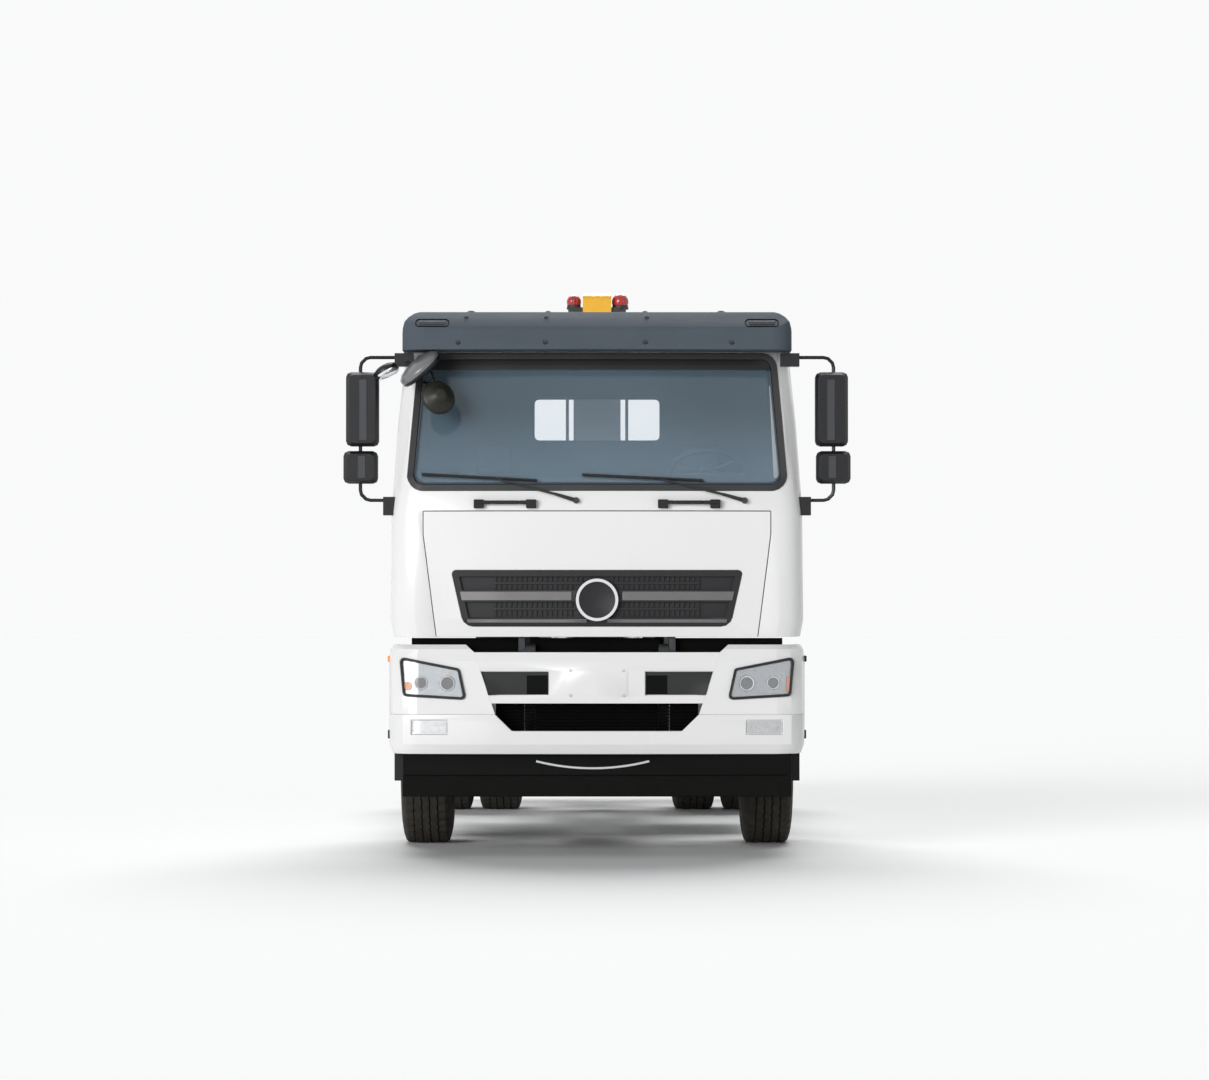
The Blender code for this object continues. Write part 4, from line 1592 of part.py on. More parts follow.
def tipping_frame():
    """Two side plates between the arm's pivot and the rear pivot, with the rear rollers."""
    tip_height = TIP_HEIGHT - TIP_TUBE_RADIUS * 0.5
    frame = None
    for _, side in SIDES:
        outline = rounded(((ARM_PLACE - TIP_EYE_RADIUS, ARM_HEIGHT - TIP_EYE_RADIUS),
                           (TIP_PLACE + TIP_EYE_RADIUS, tip_height - TIP_EYE_RADIUS),
                           (ROLLER_PLACE + ROLLER_PIN_RADIUS, ROLLER_HEIGHT),
                           (ROLLER_PLACE - ROLLER_PIN_RADIUS * 2, ROLLER_HEIGHT + ROLLER_PIN_RADIUS),
                           (ARM_PLACE - TIP_EYE_RADIUS, ARM_HEIGHT + TIP_EYE_RADIUS)),
                          (TIP_EYE_RADIUS * 0.9, TIP_EYE_RADIUS * 0.9, ROLLER_PIN_RADIUS, ROLLER_PIN_RADIUS,
                           TIP_EYE_RADIUS * 0.9))
        plate = prism("plate", outline, "x", *span(side, TIP_PLATE_IN, TIP_PLATE_IN + TIP_PLATE),
                      LIFT_PAINT)
        cut(plate, pivot_bore(TIP_PLACE, tip_height, CAB_HALF_WIDTH, TIP_TUBE_RADIUS, LIFT_PAINT))
        add(plate, rod_between("pin", (side * (TIP_PLATE_IN + TIP_PLATE / 2), ROLLER_PLACE, ROLLER_HEIGHT),
                               (side * ROLLER_OUT, ROLLER_PLACE, ROLLER_HEIGHT), ROLLER_PIN_RADIUS,
                               LIFT_PAINT))
        profile = [(ROLLER_IN, 0), (ROLLER_IN, ROLLER_FLANGE_RADIUS),
                   (ROLLER_IN + ROLLER_FLANGE, ROLLER_FLANGE_RADIUS),
                   (ROLLER_IN + ROLLER_FLANGE, ROLLER_RADIUS), (ROLLER_OUT, ROLLER_RADIUS), (ROLLER_OUT, 0)]
        add(plate, lathe("roller", [(side * along, radius) for along, radius in profile],
                         (0, ROLLER_PLACE, ROLLER_HEIGHT), LIFT_PAINT, steps=16))
        frame = add(frame, plate) if frame else plate
    across = TIP_PLATE_IN + TIP_PLATE / 2
    add(frame, pivot_rod("arm_tube", ARM_PLACE, ARM_HEIGHT, across, ARM_TUBE_RADIUS, LIFT_PAINT))
    low = ARM_HEIGHT - TIP_CROSS_HEIGHT / 2
    add(frame, box("cross", (-across, across), (TIP_CROSS_PLACE, TIP_CROSS_PLACE + TIP_CROSS_LENGTH),
                   (low, low + TIP_CROSS_HEIGHT), LIFT_PAINT))
    piece(frame, "tipping_frame", "tipping_frame", LIFT_PAINT)


def main_arm():
    """Box sleeve that the jib slides in, with its rear pivot lug and the cylinders' lugs."""
    arm = box("sleeve", (-SLEEVE_OUT, SLEEVE_OUT), (SLEEVE_FRONT, SLEEVE_REAR), (SLEEVE_BOTTOM, SLEEVE_TOP),
              LIFT_PAINT)
    hollow = box("hollow", (-SLEEVE_OUT + SLEEVE_WALL, SLEEVE_OUT - SLEEVE_WALL),
                 (SLEEVE_FRONT - OVERRUN, SLEEVE_REAR - SLEEVE_WALL),
                 (SLEEVE_BOTTOM + SLEEVE_WALL, SLEEVE_TOP - SLEEVE_WALL), LIFT_PAINT)
    cut(arm, hollow)
    outline = rounded(((SLEEVE_REAR - SLEEVE_OUT, SLEEVE_BOTTOM + SLEEVE_WALL / 2),
                       (ARM_PLACE - ARM_EYE_RADIUS, ARM_HEIGHT - ARM_EYE_RADIUS),
                       (ARM_PLACE + ARM_EYE_RADIUS, ARM_HEIGHT - ARM_EYE_RADIUS),
                       (ARM_PLACE + ARM_EYE_RADIUS, ARM_HEIGHT + ARM_EYE_RADIUS),
                       (SLEEVE_REAR - SLEEVE_WALL / 2, SLEEVE_TOP - SLEEVE_WALL * 2),
                       (SLEEVE_REAR - SLEEVE_WALL / 2, SLEEVE_BOTTOM + SLEEVE_WALL / 2)),
                      (0, ARM_EYE_RADIUS * 0.9, ARM_EYE_RADIUS * 0.9, ARM_EYE_RADIUS * 0.9, 0, 0))
    lug = prism("lug", outline, "x", -ARM_LUG_OUT, ARM_LUG_OUT, LIFT_PAINT)
    add(arm, lug)
    cut(arm, pivot_bore(ARM_PLACE, ARM_HEIGHT, SLEEVE_OUT * 2, ARM_TUBE_RADIUS, LIFT_PAINT))
    for _, side in SIDES:
        pad = [(SLEEVE_OUT - SLEEVE_WALL / 2, 0), (SLEEVE_OUT - SLEEVE_WALL / 2, LIFT_LUG_RADIUS * 0.8),
               (LIFT_LUG_OUT, LIFT_LUG_RADIUS * 0.8), (LIFT_LUG_OUT, 0)]
        add(arm, lathe("pad", [(side * along, radius) for along, radius in pad],
                       (0, LIFT_PIN_PLACE, LIFT_PIN_HEIGHT), LIFT_PAINT))
    piece(arm, "main_arm", "main_arm", LIFT_PAINT)


def hook_jib():
    """L-shaped jib: a beam in the sleeve and a tapered post that carries the hook."""
    inner = SLEEVE_OUT - SLEEVE_WALL - BEAM_GAP
    low = SLEEVE_BOTTOM + SLEEVE_WALL + BEAM_GAP
    high = SLEEVE_TOP - SLEEVE_WALL - BEAM_GAP
    outline = rounded(((POST_FRONT, POST_BASE), (POST_REAR + POST_KNEE, POST_BASE),
                       (POST_REAR + POST_KNEE, high + SLEEVE_WALL), (POST_REAR, high + POST_KNEE),
                       (POST_TOP_REAR, POST_TOP), (POST_TOP_FRONT, POST_TOP)),
                      (POST_KNEE * 0.8, 0, 0, POST_KNEE / 3, POST_CORNER, POST_CORNER))
    jib = prism("post", outline, "x", -POST_OUT, POST_OUT, LIFT_PAINT)
    add(jib, box("beam", (-inner, inner), (POST_REAR, BEAM_REAR), (low, high), LIFT_PAINT))
    piece(jib, "hook_jib", "hook_jib", LIFT_PAINT)
    eye = (HOOK_EYE_PLACE, HOOK_EYE_HEIGHT)
    outline = rounded(((POST_TOP_FRONT, POST_TOP + SEAT_GAP), (POST_TOP_REAR, POST_TOP + SEAT_GAP),
                       (eye[0], eye[1] - HOOK_EYE_RADIUS - HOOK_THICK * 0.6),
                       (HOOK_REAR, eye[1] - HOOK_THICK * 0.4),
                       (HOOK_REAR - HOOK_THICK * 0.4, eye[1] + HOOK_THICK * 0.9),
                       (eye[0], HOOK_TOP - HOOK_THICK * 0.3), (POST_TOP_FRONT + HOOK_THICK, HOOK_TOP),
                       (POST_TOP_FRONT, HOOK_TOP - HOOK_THICK * 0.4)),
                      (0, 0, HOOK_THICK * 0.4, HOOK_THICK * 0.5, HOOK_THICK * 0.3, HOOK_THICK * 0.4,
                       HOOK_THICK * 0.4, HOOK_THICK * 0.4))
    hook = prism("hook", outline, "x", -HOOK_OUT, HOOK_OUT, HOOK_YELLOW)
    throat = rod_between("throat", (-CAB_HALF_WIDTH, *eye), (CAB_HALF_WIDTH, *eye), HOOK_EYE_RADIUS,
                         HOOK_YELLOW, 20)
    mouth = box("mouth", (-CAB_HALF_WIDTH, CAB_HALF_WIDTH),
                (eye[0] - HOOK_EYE_RADIUS * 0.9, eye[0] + HOOK_EYE_RADIUS * 0.9),
                (eye[1], CAB_TOP + CAB_LENGTH), HOOK_YELLOW)
    cut(hook, throat, mouth)
    for _, side in SIDES:
        stay = box("stay", span(side, HOOK_OUT - LAMP_STAY, LAMP_BALL_OUT + LAMP_BALL_RADIUS * 0.8),
                   (POST_TOP_FRONT + LAMP_STAY, POST_TOP_FRONT + LAMP_STAY + LAMP_BALL_RADIUS * 2),
                   (LAMP_BALL_HEIGHT - LAMP_BALL_RADIUS - LAMP_STAY,
                    LAMP_BALL_HEIGHT - LAMP_BALL_RADIUS + LAMP_STAY / 2), HOOK_YELLOW)
        profile = []
        for step in range(5):
            angle = math.pi / 2 * step / 4
            profile.append((LAMP_BALL_RADIUS * math.sin(angle),
                            LAMP_BALL_RADIUS * math.cos(angle) if step < 4 else 0))
        profile = [(-LAMP_BASE_HEIGHT, 0), (-LAMP_BASE_HEIGHT, LAMP_BALL_RADIUS * 0.8)] + profile
        centre = (side * LAMP_BALL_OUT, POST_TOP_FRONT + LAMP_STAY + LAMP_BALL_RADIUS, LAMP_BALL_HEIGHT)
        add(hook, stay, lathe("ball", profile, centre, HOOK_YELLOW, axis="z"))
    piece(hook, "hook_head", "hook_jib", HOOK_YELLOW)


def cylinders():
    """Two lift cylinders: foot on the subframe, rod eye beside the arm's lug."""
    foot = Vector((0, FOOT_PLACE, FOOT_HEIGHT))
    pin = Vector((0, LIFT_PIN_PLACE, LIFT_PIN_HEIGHT))
    along = (pin - foot).normalized()
    ends = CYLINDER_OUT + EYE_WIDTH / 2
    profile = [(-ends, FOOT_TUBE_RADIUS + PIN_GAP), (-ends, EYE_RADIUS), (ends, EYE_RADIUS),
               (ends, FOOT_TUBE_RADIUS + PIN_GAP)]
    barrels = lathe("trunnion", profile, tuple(foot), LIFT_PAINT, steps=PIVOT_STEPS, flats=True)
    for word, side in SIDES:
        across = Vector((side * CYLINDER_OUT, 0, 0))
        barrel = rod_between("barrel", foot + across + along * EYE_RADIUS * 0.8,
                             foot + across + along * BARREL_LENGTH, BARREL_RADIUS, LIFT_PAINT)
        cut(barrel, rod_between("bore", foot + across + along * (BARREL_LENGTH - ROD_INSIDE),
                                foot + across + along * (BARREL_LENGTH + OVERRUN), BARREL_BORE, LIFT_PAINT))
        add(barrels, barrel)
        rod = rod_between("rod", pin + across - along * EYE_RADIUS * 0.6,
                          foot + across + along * (BARREL_LENGTH - ROD_INSIDE + MOVING_GAP), ROD_RADIUS,
                          CHROME)
        inner = LIFT_LUG_OUT + PIN_GAP
        eye = lathe("eye", ((side * inner, 0), (side * inner, EYE_RADIUS),
                            (side * (CYLINDER_OUT + EYE_WIDTH / 2), EYE_RADIUS),
                            (side * (CYLINDER_OUT + EYE_WIDTH / 2), 0)),
                    (0, LIFT_PIN_PLACE, LIFT_PIN_HEIGHT), CHROME)
        piece(add(rod, eye), "lift_rod_" + word, "lift_rods", CHROME)
    piece(barrels, "lift_barrels", "lift_barrels", LIFT_PAINT)


def assemble():
    """Hangs each body's pieces on an empty that stands on the body's joint axis."""
    tip_height = TIP_HEIGHT - TIP_TUBE_RADIUS * 0.5
    ball_out = KINGPIN_OUT - STEER_ARM_IN
    ball_back = FRONT_AXLE + STEER_ARM_BACK
    pivots = [
        ("chassis", None, (0, 0, 0)),
        ("cab", "chassis", (0, CAB_HINGE_PLACE, CAB_HINGE_HEIGHT)),
        ("front_flap", "cab", (0, CAB_SETBACK + SCREEN_RAKE / 10, FLAP_TOP)),
        ("door_left", "cab", (CAB_HALF_WIDTH, DOOR_FRONT, DOOR_BOTTOM)),
        ("door_right", "cab", (-CAB_HALF_WIDTH, DOOR_FRONT, DOOR_BOTTOM)),
        ("knuckle_left", "chassis", (KINGPIN_OUT, FRONT_AXLE, TYRE_RADIUS)),
        ("knuckle_right", "chassis", (-KINGPIN_OUT, FRONT_AXLE, TYRE_RADIUS)),
        ("tie_rod", "knuckle_left", (ball_out, ball_back, TYRE_RADIUS)),
        ("front_wheel_left", "knuckle_left", (FRONT_TYRE_OUT, FRONT_AXLE, TYRE_RADIUS)),
        ("front_wheel_right", "knuckle_right", (-FRONT_TYRE_OUT, FRONT_AXLE, TYRE_RADIUS)),
        ("rear_wheels_left", "chassis", (TWIN_OUT, REAR_AXLE, TYRE_RADIUS)),
        ("rear_wheels_right", "chassis", (-TWIN_OUT, REAR_AXLE, TYRE_RADIUS)),
        ("tipping_frame", "chassis", (0, TIP_PLACE, tip_height)),
        ("main_arm", "tipping_frame", (0, ARM_PLACE, ARM_HEIGHT)),
        ("hook_jib", "main_arm", (0, SLEEVE_FRONT, SLEEVE_BOTTOM)),
        ("lift_barrels", "chassis", (0, FOOT_PLACE, FOOT_HEIGHT)),
        ("lift_rods", "lift_barrels", (0, LIFT_PIN_PLACE, LIFT_PIN_HEIGHT)),
    ]
    hooks = {}
    places = {}
    for body, parent, place in pivots:
        hook = bpy.data.objects.new(body + "_axis", None)
        bpy.context.collection.objects.link(hook)
        hook.parent = hooks.get(parent)
        places[body] = Vector(place)
        hook.location = places[body] - places.get(parent, Vector((0, TRUCK_LENGTH / 2, 0)))
        hooks[body] = hook
        for obj in BODIES[body]:
            obj.data.transform(Matrix.Translation(-places[body]))
            obj.parent = hook


wheels()
steering()
front_axle()
rear_axle()
chassis_frame()
engine()
cab_shell()
doors()
front_flap()
roof_visor()
cab_floor()
cab_inside()
mirrors()
bumper()
underrun()
front_steps()
rear_guards()
side_equipment()
rear_bar()
subframe()
tipping_frame()
main_arm()
hook_jib()
cylinders()
assemble()
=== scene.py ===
# %% [markdown]
# # A hook lift truck seen from the front
#
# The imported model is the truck's skeleton: every body, joint and solid already has its place.
# This script dresses it. It gives each solid a finish, and adds the thin, shiny or soft pieces
# that a solid model leaves out, such as rubber seals, wipers, tread, lamps and seats.

# %% Load the frame
import json
import math

import bmesh
import bpy
from mathutils import Matrix, Vector
from mathutils.bvhtree import BVHTree


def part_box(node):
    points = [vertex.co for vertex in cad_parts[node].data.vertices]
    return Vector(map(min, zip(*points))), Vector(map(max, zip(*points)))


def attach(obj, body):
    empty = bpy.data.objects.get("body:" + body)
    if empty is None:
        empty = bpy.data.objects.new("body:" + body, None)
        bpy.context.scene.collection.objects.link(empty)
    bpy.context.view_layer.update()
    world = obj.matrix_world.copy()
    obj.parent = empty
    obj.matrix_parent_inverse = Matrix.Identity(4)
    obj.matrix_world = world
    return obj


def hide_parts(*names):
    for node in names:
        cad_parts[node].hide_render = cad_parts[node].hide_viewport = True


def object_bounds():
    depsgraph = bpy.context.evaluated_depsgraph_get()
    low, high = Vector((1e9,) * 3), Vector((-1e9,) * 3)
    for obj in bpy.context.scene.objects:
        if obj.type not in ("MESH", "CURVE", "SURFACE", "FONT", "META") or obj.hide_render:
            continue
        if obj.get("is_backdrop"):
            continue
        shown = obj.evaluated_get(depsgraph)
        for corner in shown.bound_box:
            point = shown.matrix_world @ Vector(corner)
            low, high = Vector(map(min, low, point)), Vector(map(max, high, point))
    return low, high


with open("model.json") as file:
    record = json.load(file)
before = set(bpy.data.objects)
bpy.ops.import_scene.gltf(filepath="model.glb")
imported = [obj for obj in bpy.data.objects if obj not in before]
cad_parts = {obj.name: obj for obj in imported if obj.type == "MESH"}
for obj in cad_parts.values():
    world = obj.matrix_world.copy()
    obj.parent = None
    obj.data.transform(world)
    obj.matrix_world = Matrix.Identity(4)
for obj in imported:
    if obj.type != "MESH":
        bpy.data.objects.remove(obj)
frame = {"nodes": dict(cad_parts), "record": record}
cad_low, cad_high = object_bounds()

# %% [markdown]
# Places along the truck are easiest to read as the distance behind the foremost point of the
# bumper. `behind` turns such a distance into a Y value, and `at` makes a place from a width, a
# distance and a height. Sizes are real ones, in metres. Left and right are the vehicle's own, so
# its left side is the right half of the picture.

# %% The truck's own measures
FRONT = cad_low.y
SIDES = (("left", 1), ("right", -1))


def behind(distance):
    return FRONT + distance


def at(across, distance, height):
    return Vector((across, behind(distance), height))


print("truck is", round(cad_high.y - cad_low.y, 3), "m long")

# %% [markdown]
# ## Camera
#
# The photograph looks straight at the cab from far away: the tyres show no sides and the bumper
# barely grows towards us. A long lens 24 m away at chest height does the same. The truck stands
# a little left of the middle, so the camera is turned a touch to its own right.

# %% Set up the camera
CAMERA_DISTANCE = 24.0
CAMERA_HEIGHT = 1.5
VIEW_WIDTH = 7.133
AIM_RIGHT = 0.044
AIM_UP = 0.363

lens = bpy.data.cameras.new("long_lens")
camera = bpy.data.objects.new("camera", lens)
bpy.context.collection.objects.link(camera)
lens.sensor_fit = "HORIZONTAL"
lens.angle = 2 * math.atan(VIEW_WIDTH / 2 / CAMERA_DISTANCE)
lens.clip_end = 200
camera.location = (0, FRONT - CAMERA_DISTANCE, CAMERA_HEIGHT)
aim = Vector((AIM_RIGHT, CAMERA_DISTANCE, AIM_UP))
camera.rotation_mode = "QUATERNION"
camera.rotation_quaternion = aim.to_track_quat("-Z", "Y")
bpy.context.scene.camera = camera
bpy.context.scene.view_settings.view_transform = "Standard"
print("lens angle", round(math.degrees(lens.angle), 2))

# %% [markdown]
# ## Finishes
#
# Every finish is a small tree of nodes, and a few of its steps come back again and again: a noise
# that sits still on the object, a value stretched onto another range, two colours blended. Each
# is a helper of a few lines, so that a finish below reads as a list of what the surface shows.

# %% Helpers for material trees
MIX_COLOURS = (6, 7)


def node(tree, kind, **values):
    made = tree.nodes.new(kind)
    for name, value in values.items():
        if hasattr(made, name):
            setattr(made, name, value)
        else:
            made.inputs[name.replace("_", " ")].default_value = value
    return made


def noise(tree, place, scale, detail):
    made = node(tree, "ShaderNodeTexNoise", Scale=scale, Detail=detail)
    tree.links.new(place.outputs["Object"], made.inputs["Vector"])
    return made.outputs["Fac"]


def mapped(tree, value, to_low, to_high, from_low=0, from_high=1):
    made = node(tree, "ShaderNodeMapRange", From_Min=from_low, From_Max=from_high, To_Min=to_low,
                To_Max=to_high)
    tree.links.new(value, made.inputs["Value"])
    return made.outputs[0]


def fill_in(tree, sockets, values):
    """Gives each socket a link or a plain value."""
    for socket, value in zip(sockets, values):
        if isinstance(value, bpy.types.NodeSocket):
            tree.links.new(value, socket)
        else:
            socket.default_value = value


def combined(tree, operation, *values):
    made = node(tree, "ShaderNodeMath", operation=operation)
    fill_in(tree, made.inputs, values)
    return made.outputs[0]


def blended(tree, factor, *colours):
    made = node(tree, "ShaderNodeMix", data_type="RGBA")
    tree.links.new(factor, made.inputs["Factor"])
    fill_in(tree, [made.inputs[index] for index in MIX_COLOURS], colours)
    return made.outputs[2]


def layered(tree, factor, first, second):
    """Two shaders mixed by a factor."""
    made = node(tree, "ShaderNodeMixShader")
    fill_in(tree, made.inputs, (factor, first.outputs[0], second.outputs[0]))
    return made


def height_of(tree, place):
    parts = node(tree, "ShaderNodeSeparateXYZ")
    tree.links.new(place.outputs["Object"], parts.inputs[0])
    return parts.outputs["Z"]


print("helpers ready")

# %% [markdown]
# A real surface is never one flat colour. Each finish below starts from the same small recipe:
# a slow noise shifts the colour a little, a second noise makes the gloss uneven, and a fine noise
# bumps the surface. Road dust settles low down, so the chassis finishes fade to a dust colour
# towards the ground. The sizes of the noises are what tell paint from cast iron or rubber.

# %% A recipe for painted, moulded and cast surfaces
DUST = (0.20, 0.175, 0.14, 1)
SPECKLE_SCALE = 14.0
COAT_ROUGHNESS = 0.14
BUMP_HEIGHT = 0.001


def surface(name, base, roughness, metallic=0.0, coat=0.0, shade=0.08, patch=3.0,
            grain=0.0, grain_scale=400.0, uneven=0.06, dust=0.0, dust_top=1.0, shine=0.5):
    material = bpy.data.materials.new(name)
    material.use_nodes = True
    tree = material.node_tree
    shader = tree.nodes["Principled BSDF"]
    shader.inputs["Metallic"].default_value = metallic
    shader.inputs["Coat Weight"].default_value = coat
    shader.inputs["Coat Roughness"].default_value = COAT_ROUGHNESS
    shader.inputs["Specular IOR Level"].default_value = shine
    place = node(tree, "ShaderNodeTexCoord")
    darker = tuple(channel * (1 - shade) for channel in base) + (1,)
    lighter = tuple(min(1, channel * (1 + shade)) for channel in base) + (1,)
    colour = blended(tree, noise(tree, place, patch, 5.0), darker, lighter)
    if dust:
        low_down = mapped(tree, height_of(tree, place), dust, 0, 0, dust_top)
        amount = combined(tree, "MULTIPLY", low_down, noise(tree, place, SPECKLE_SCALE, 8.0))
        colour = blended(tree, amount, colour, DUST)
    tree.links.new(colour, shader.inputs["Base Color"])
    smoother, rougher = max(0.02, roughness - uneven), min(1, roughness + uneven)
    gloss = mapped(tree, noise(tree, place, patch * 4, 4.0), smoother, rougher)
    tree.links.new(gloss, shader.inputs["Roughness"])
    if grain:
        bump = node(tree, "ShaderNodeBump", Strength=grain, Distance=BUMP_HEIGHT)
        tree.links.new(noise(tree, place, grain_scale, 2.0), bump.inputs["Height"])
        tree.links.new(bump.outputs[0], shader.inputs["Normal"])
    return material


print("recipe ready")

# %% [markdown]
# The cab is a clear-coated white and the visor a dull blue-grey, so dull that it hardly mirrors
# the light from behind. The plastics differ in grain and shine more than in colour.

# %% Paints and plastics of the cab
white = surface("cab_white", (0.80, 0.80, 0.795), 0.26, coat=0.3, shade=0.010, patch=1.1, grain=0.02,
                grain_scale=90, uneven=0.015)
anthracite = surface("visor_anthracite", (0.084, 0.102, 0.122), 0.70, shade=0.10, patch=6, grain=0.05,
                     shine=0.04)
charcoal = surface("grille_charcoal", (0.029, 0.029, 0.031), 0.42, shade=0.12, patch=20, grain=0.25,
                   grain_scale=900, shine=0.15)
gunmetal = surface("grille_gunmetal", (0.145, 0.139, 0.142), 0.34, metallic=0.5, shade=0.10, patch=12,
                   grain=0.1)
black = surface("moulded_black", (0.009, 0.009, 0.010), 0.48, shade=0.2, patch=10, grain=0.3,
                grain_scale=700, dust=0.10, dust_top=0.9, shine=0.25)
underrun_black = surface("underrun_black", (0.0028, 0.0033, 0.0029), 0.55, shade=0.25, patch=9, grain=0.3,
                         grain_scale=700, dust=0.03, dust_top=0.8, shine=0.06)
mirror_black = surface("mirror_black", (0.011, 0.011, 0.013), 0.34, shade=0.2, patch=14, grain=0.2,
                       grain_scale=900, shine=0.3)
seal = surface("seal_rubber", (0.010, 0.010, 0.011), 0.55, shade=0.2, patch=30, grain=0.2, grain_scale=500)
olive_black = surface("olive_black", (0.016, 0.017, 0.012), 0.40, shade=0.15, patch=14, grain=0.15,
                      grain_scale=700, shine=0.3)
band_grey = surface("mirror_band_grey", (0.040, 0.042, 0.048), 0.34, shade=0.10, patch=10, shine=0.4)
saucer_grey = surface("saucer_grey", (0.155, 0.160, 0.165), 0.30, coat=0.3, shade=0.08, patch=12)
vent_grey = surface("vent_grey", (0.026, 0.028, 0.027), 0.50, shade=0.12, patch=14, grain=0.2,
                    grain_scale=700, shine=0.2)
print("finishes", len(bpy.data.materials))

# %% [markdown]
# Inside the cab everything is dull and dark, so that the screen shows its painted reflection of the sky
# and the bright rear window. Only the lining beside the left pillar is pale.

# %% Finishes inside the cab
trim = surface("grained_trim", (0.040, 0.043, 0.048), 0.60, shade=0.12, patch=12, grain=0.4,
               grain_scale=600, shine=0.25)
lining = surface("pillar_lining_cream", (0.60, 0.57, 0.50), 0.70, shade=0.06, patch=10, grain=0.3,
                 grain_scale=500)
cloth = surface("seat_weave", (0.035, 0.038, 0.045), 0.92, shade=0.25, patch=60, grain=0.9, grain_scale=900)
# A near-black finish that is painted shade: it stands for the dark of the engine bay and of the visor's
# pockets, not for a colour of their own.
painted_shade = surface("painted_shade_black", (0.003, 0.003, 0.003), 0.8, shade=0.3, patch=8, grain=0.3,
                      shine=0.05)
headlining = surface("headlining_grey", (0.050, 0.055, 0.060), 0.85, shade=0.12, patch=8, grain=0.1,
                     grain_scale=900, shine=0.2)
print("finishes", len(bpy.data.materials))

# %% [markdown]
# The chassis finishes are older and dustier: worn tread, rolled steel, a cast engine, brushed
# tanks, and the hoist's own grey and yellow. Lamps and mirrors need bright metal and coloured
# plastic.

# %% Finishes of the chassis, hoist, lamps and mirrors
rubber = surface("tyre_rubber_worn", (0.011, 0.011, 0.010), 0.85, shade=0.3, patch=16, grain=0.5,
                 grain_scale=350, dust=0.30, dust_top=1.1, shine=0.2)
rim_silver = surface("rim_silver", (0.42, 0.43, 0.44), 0.38, metallic=0.6, shade=0.08, patch=9, grain=0.15,
                     dust=0.35, dust_top=1.2)
frame_black = surface("frame_black", (0.013, 0.013, 0.014), 0.45, shade=0.25, patch=5, grain=0.25,
                      grain_scale=200, dust=0.35, dust_top=1.3, shine=0.3)
cast = surface("engine_cast", (0.16, 0.165, 0.17), 0.55, metallic=0.5, shade=0.2, patch=7, grain=0.6,
               grain_scale=160, dust=0.5, dust_top=1.6)
aluminium = surface("brushed_aluminium", (0.50, 0.51, 0.52), 0.46, metallic=0.7, shade=0.08, patch=5,
                    grain=0.12, grain_scale=300, dust=0.25, dust_top=1.1)
hoist = surface("hoist_grey", (0.060, 0.070, 0.082), 0.42, shade=0.15, patch=4, grain=0.15, grain_scale=150,
                dust=0.2, dust_top=1.6)
yellow = surface("hook_yellow_paint", (0.80, 0.42, 0.015), 0.36, coat=0.3, shade=0.12, patch=14, grain=0.15,
                 grain_scale=200)
chrome = surface("polished_chrome", (0.80, 0.80, 0.82), 0.09, metallic=1.0, shade=0.02, patch=8,
                 uneven=0.03)
reflector = surface("lamp_reflector", (0.50, 0.505, 0.51), 0.34, metallic=0.85, shade=0.30, patch=55,
                    grain=0.8, grain_scale=90)
silver = surface("mirror_silver", (0.86, 0.88, 0.90), 0.03, metallic=1.0, shade=0.01, patch=2, uneven=0.01)
lens_amber = surface("lens_amber", (0.75, 0.22, 0.02), 0.18, coat=0.8, shade=0.1, patch=60, grain=0.3,
                     grain_scale=200)
lens_red = surface("lens_red", (0.42, 0.016, 0.020), 0.24, coat=0.4, shade=0.2, patch=30, grain=0.3,
                   grain_scale=250)
print("finishes", len(bpy.data.materials))

# %% [markdown]
# Glass is mostly what lies behind it. A thin sheet needs no bending of light, so each pane mixes
# three shaders: a tinted see-through one, a faint diffuse colour that is a painted reflection of the
# sky which the real screen mirrors, and a glossy one. The gloss follows Layer Weight's Facing, which is
# the same from both sides of a sheet, raised to a power, so that it only grows towards grazing angles.
# The painted reflection on the windscreen is twice as strong low down and fades to its plain strength
# upwards between two heights.

# %% Glass and clear lenses
# The painted sky reflection's noise size, and how strong it is low and high on the windscreen.
REFLECTION_PATCH = 1.6
REFLECTION_AT_BOTTOM, REFLECTION_AT_TOP = 2.0, 1.0
GLOSS_POWER, GLOSS_EDGE, GLOSS_FACE = 5, 0.5, 0.025
GLOSS_ROUGHNESS = 0.03


def pane(name, tint, reflected_sky, reflection_share, reflection_fade=None):
    material = bpy.data.materials.new(name)
    material.use_nodes = True
    tree = material.node_tree
    tree.nodes.clear()
    clear = node(tree, "ShaderNodeBsdfTransparent", Color=tint)
    # painted reflection: a diffuse colour standing in for the sky that the glass mirrors
    painted_reflection = node(tree, "ShaderNodeBsdfDiffuse", Color=reflected_sky)
    shine = node(tree, "ShaderNodeBsdfGlossy", Roughness=GLOSS_ROUGHNESS)
    facing = node(tree, "ShaderNodeLayerWeight", Blend=0.5)
    steep = combined(tree, "POWER", facing.outputs["Facing"], GLOSS_POWER)
    gloss = combined(tree, "MULTIPLY_ADD", steep, GLOSS_EDGE, GLOSS_FACE)
    place = node(tree, "ShaderNodeTexCoord")
    amount = mapped(tree, noise(tree, place, REFLECTION_PATCH, 3.0), reflection_share * 0.75, reflection_share * 1.25)
    # the windscreen's painted reflection is stronger low down
    if reflection_fade:
        reflection_fading = mapped(tree, height_of(tree, place), REFLECTION_AT_BOTTOM, REFLECTION_AT_TOP, *reflection_fade)
        amount = combined(tree, "MULTIPLY", amount, reflection_fading)
    whole = layered(tree, gloss, layered(tree, amount, clear, painted_reflection), shine)
    out = node(tree, "ShaderNodeOutputMaterial")
    tree.links.new(whole.outputs[0], out.inputs["Surface"])
    return material


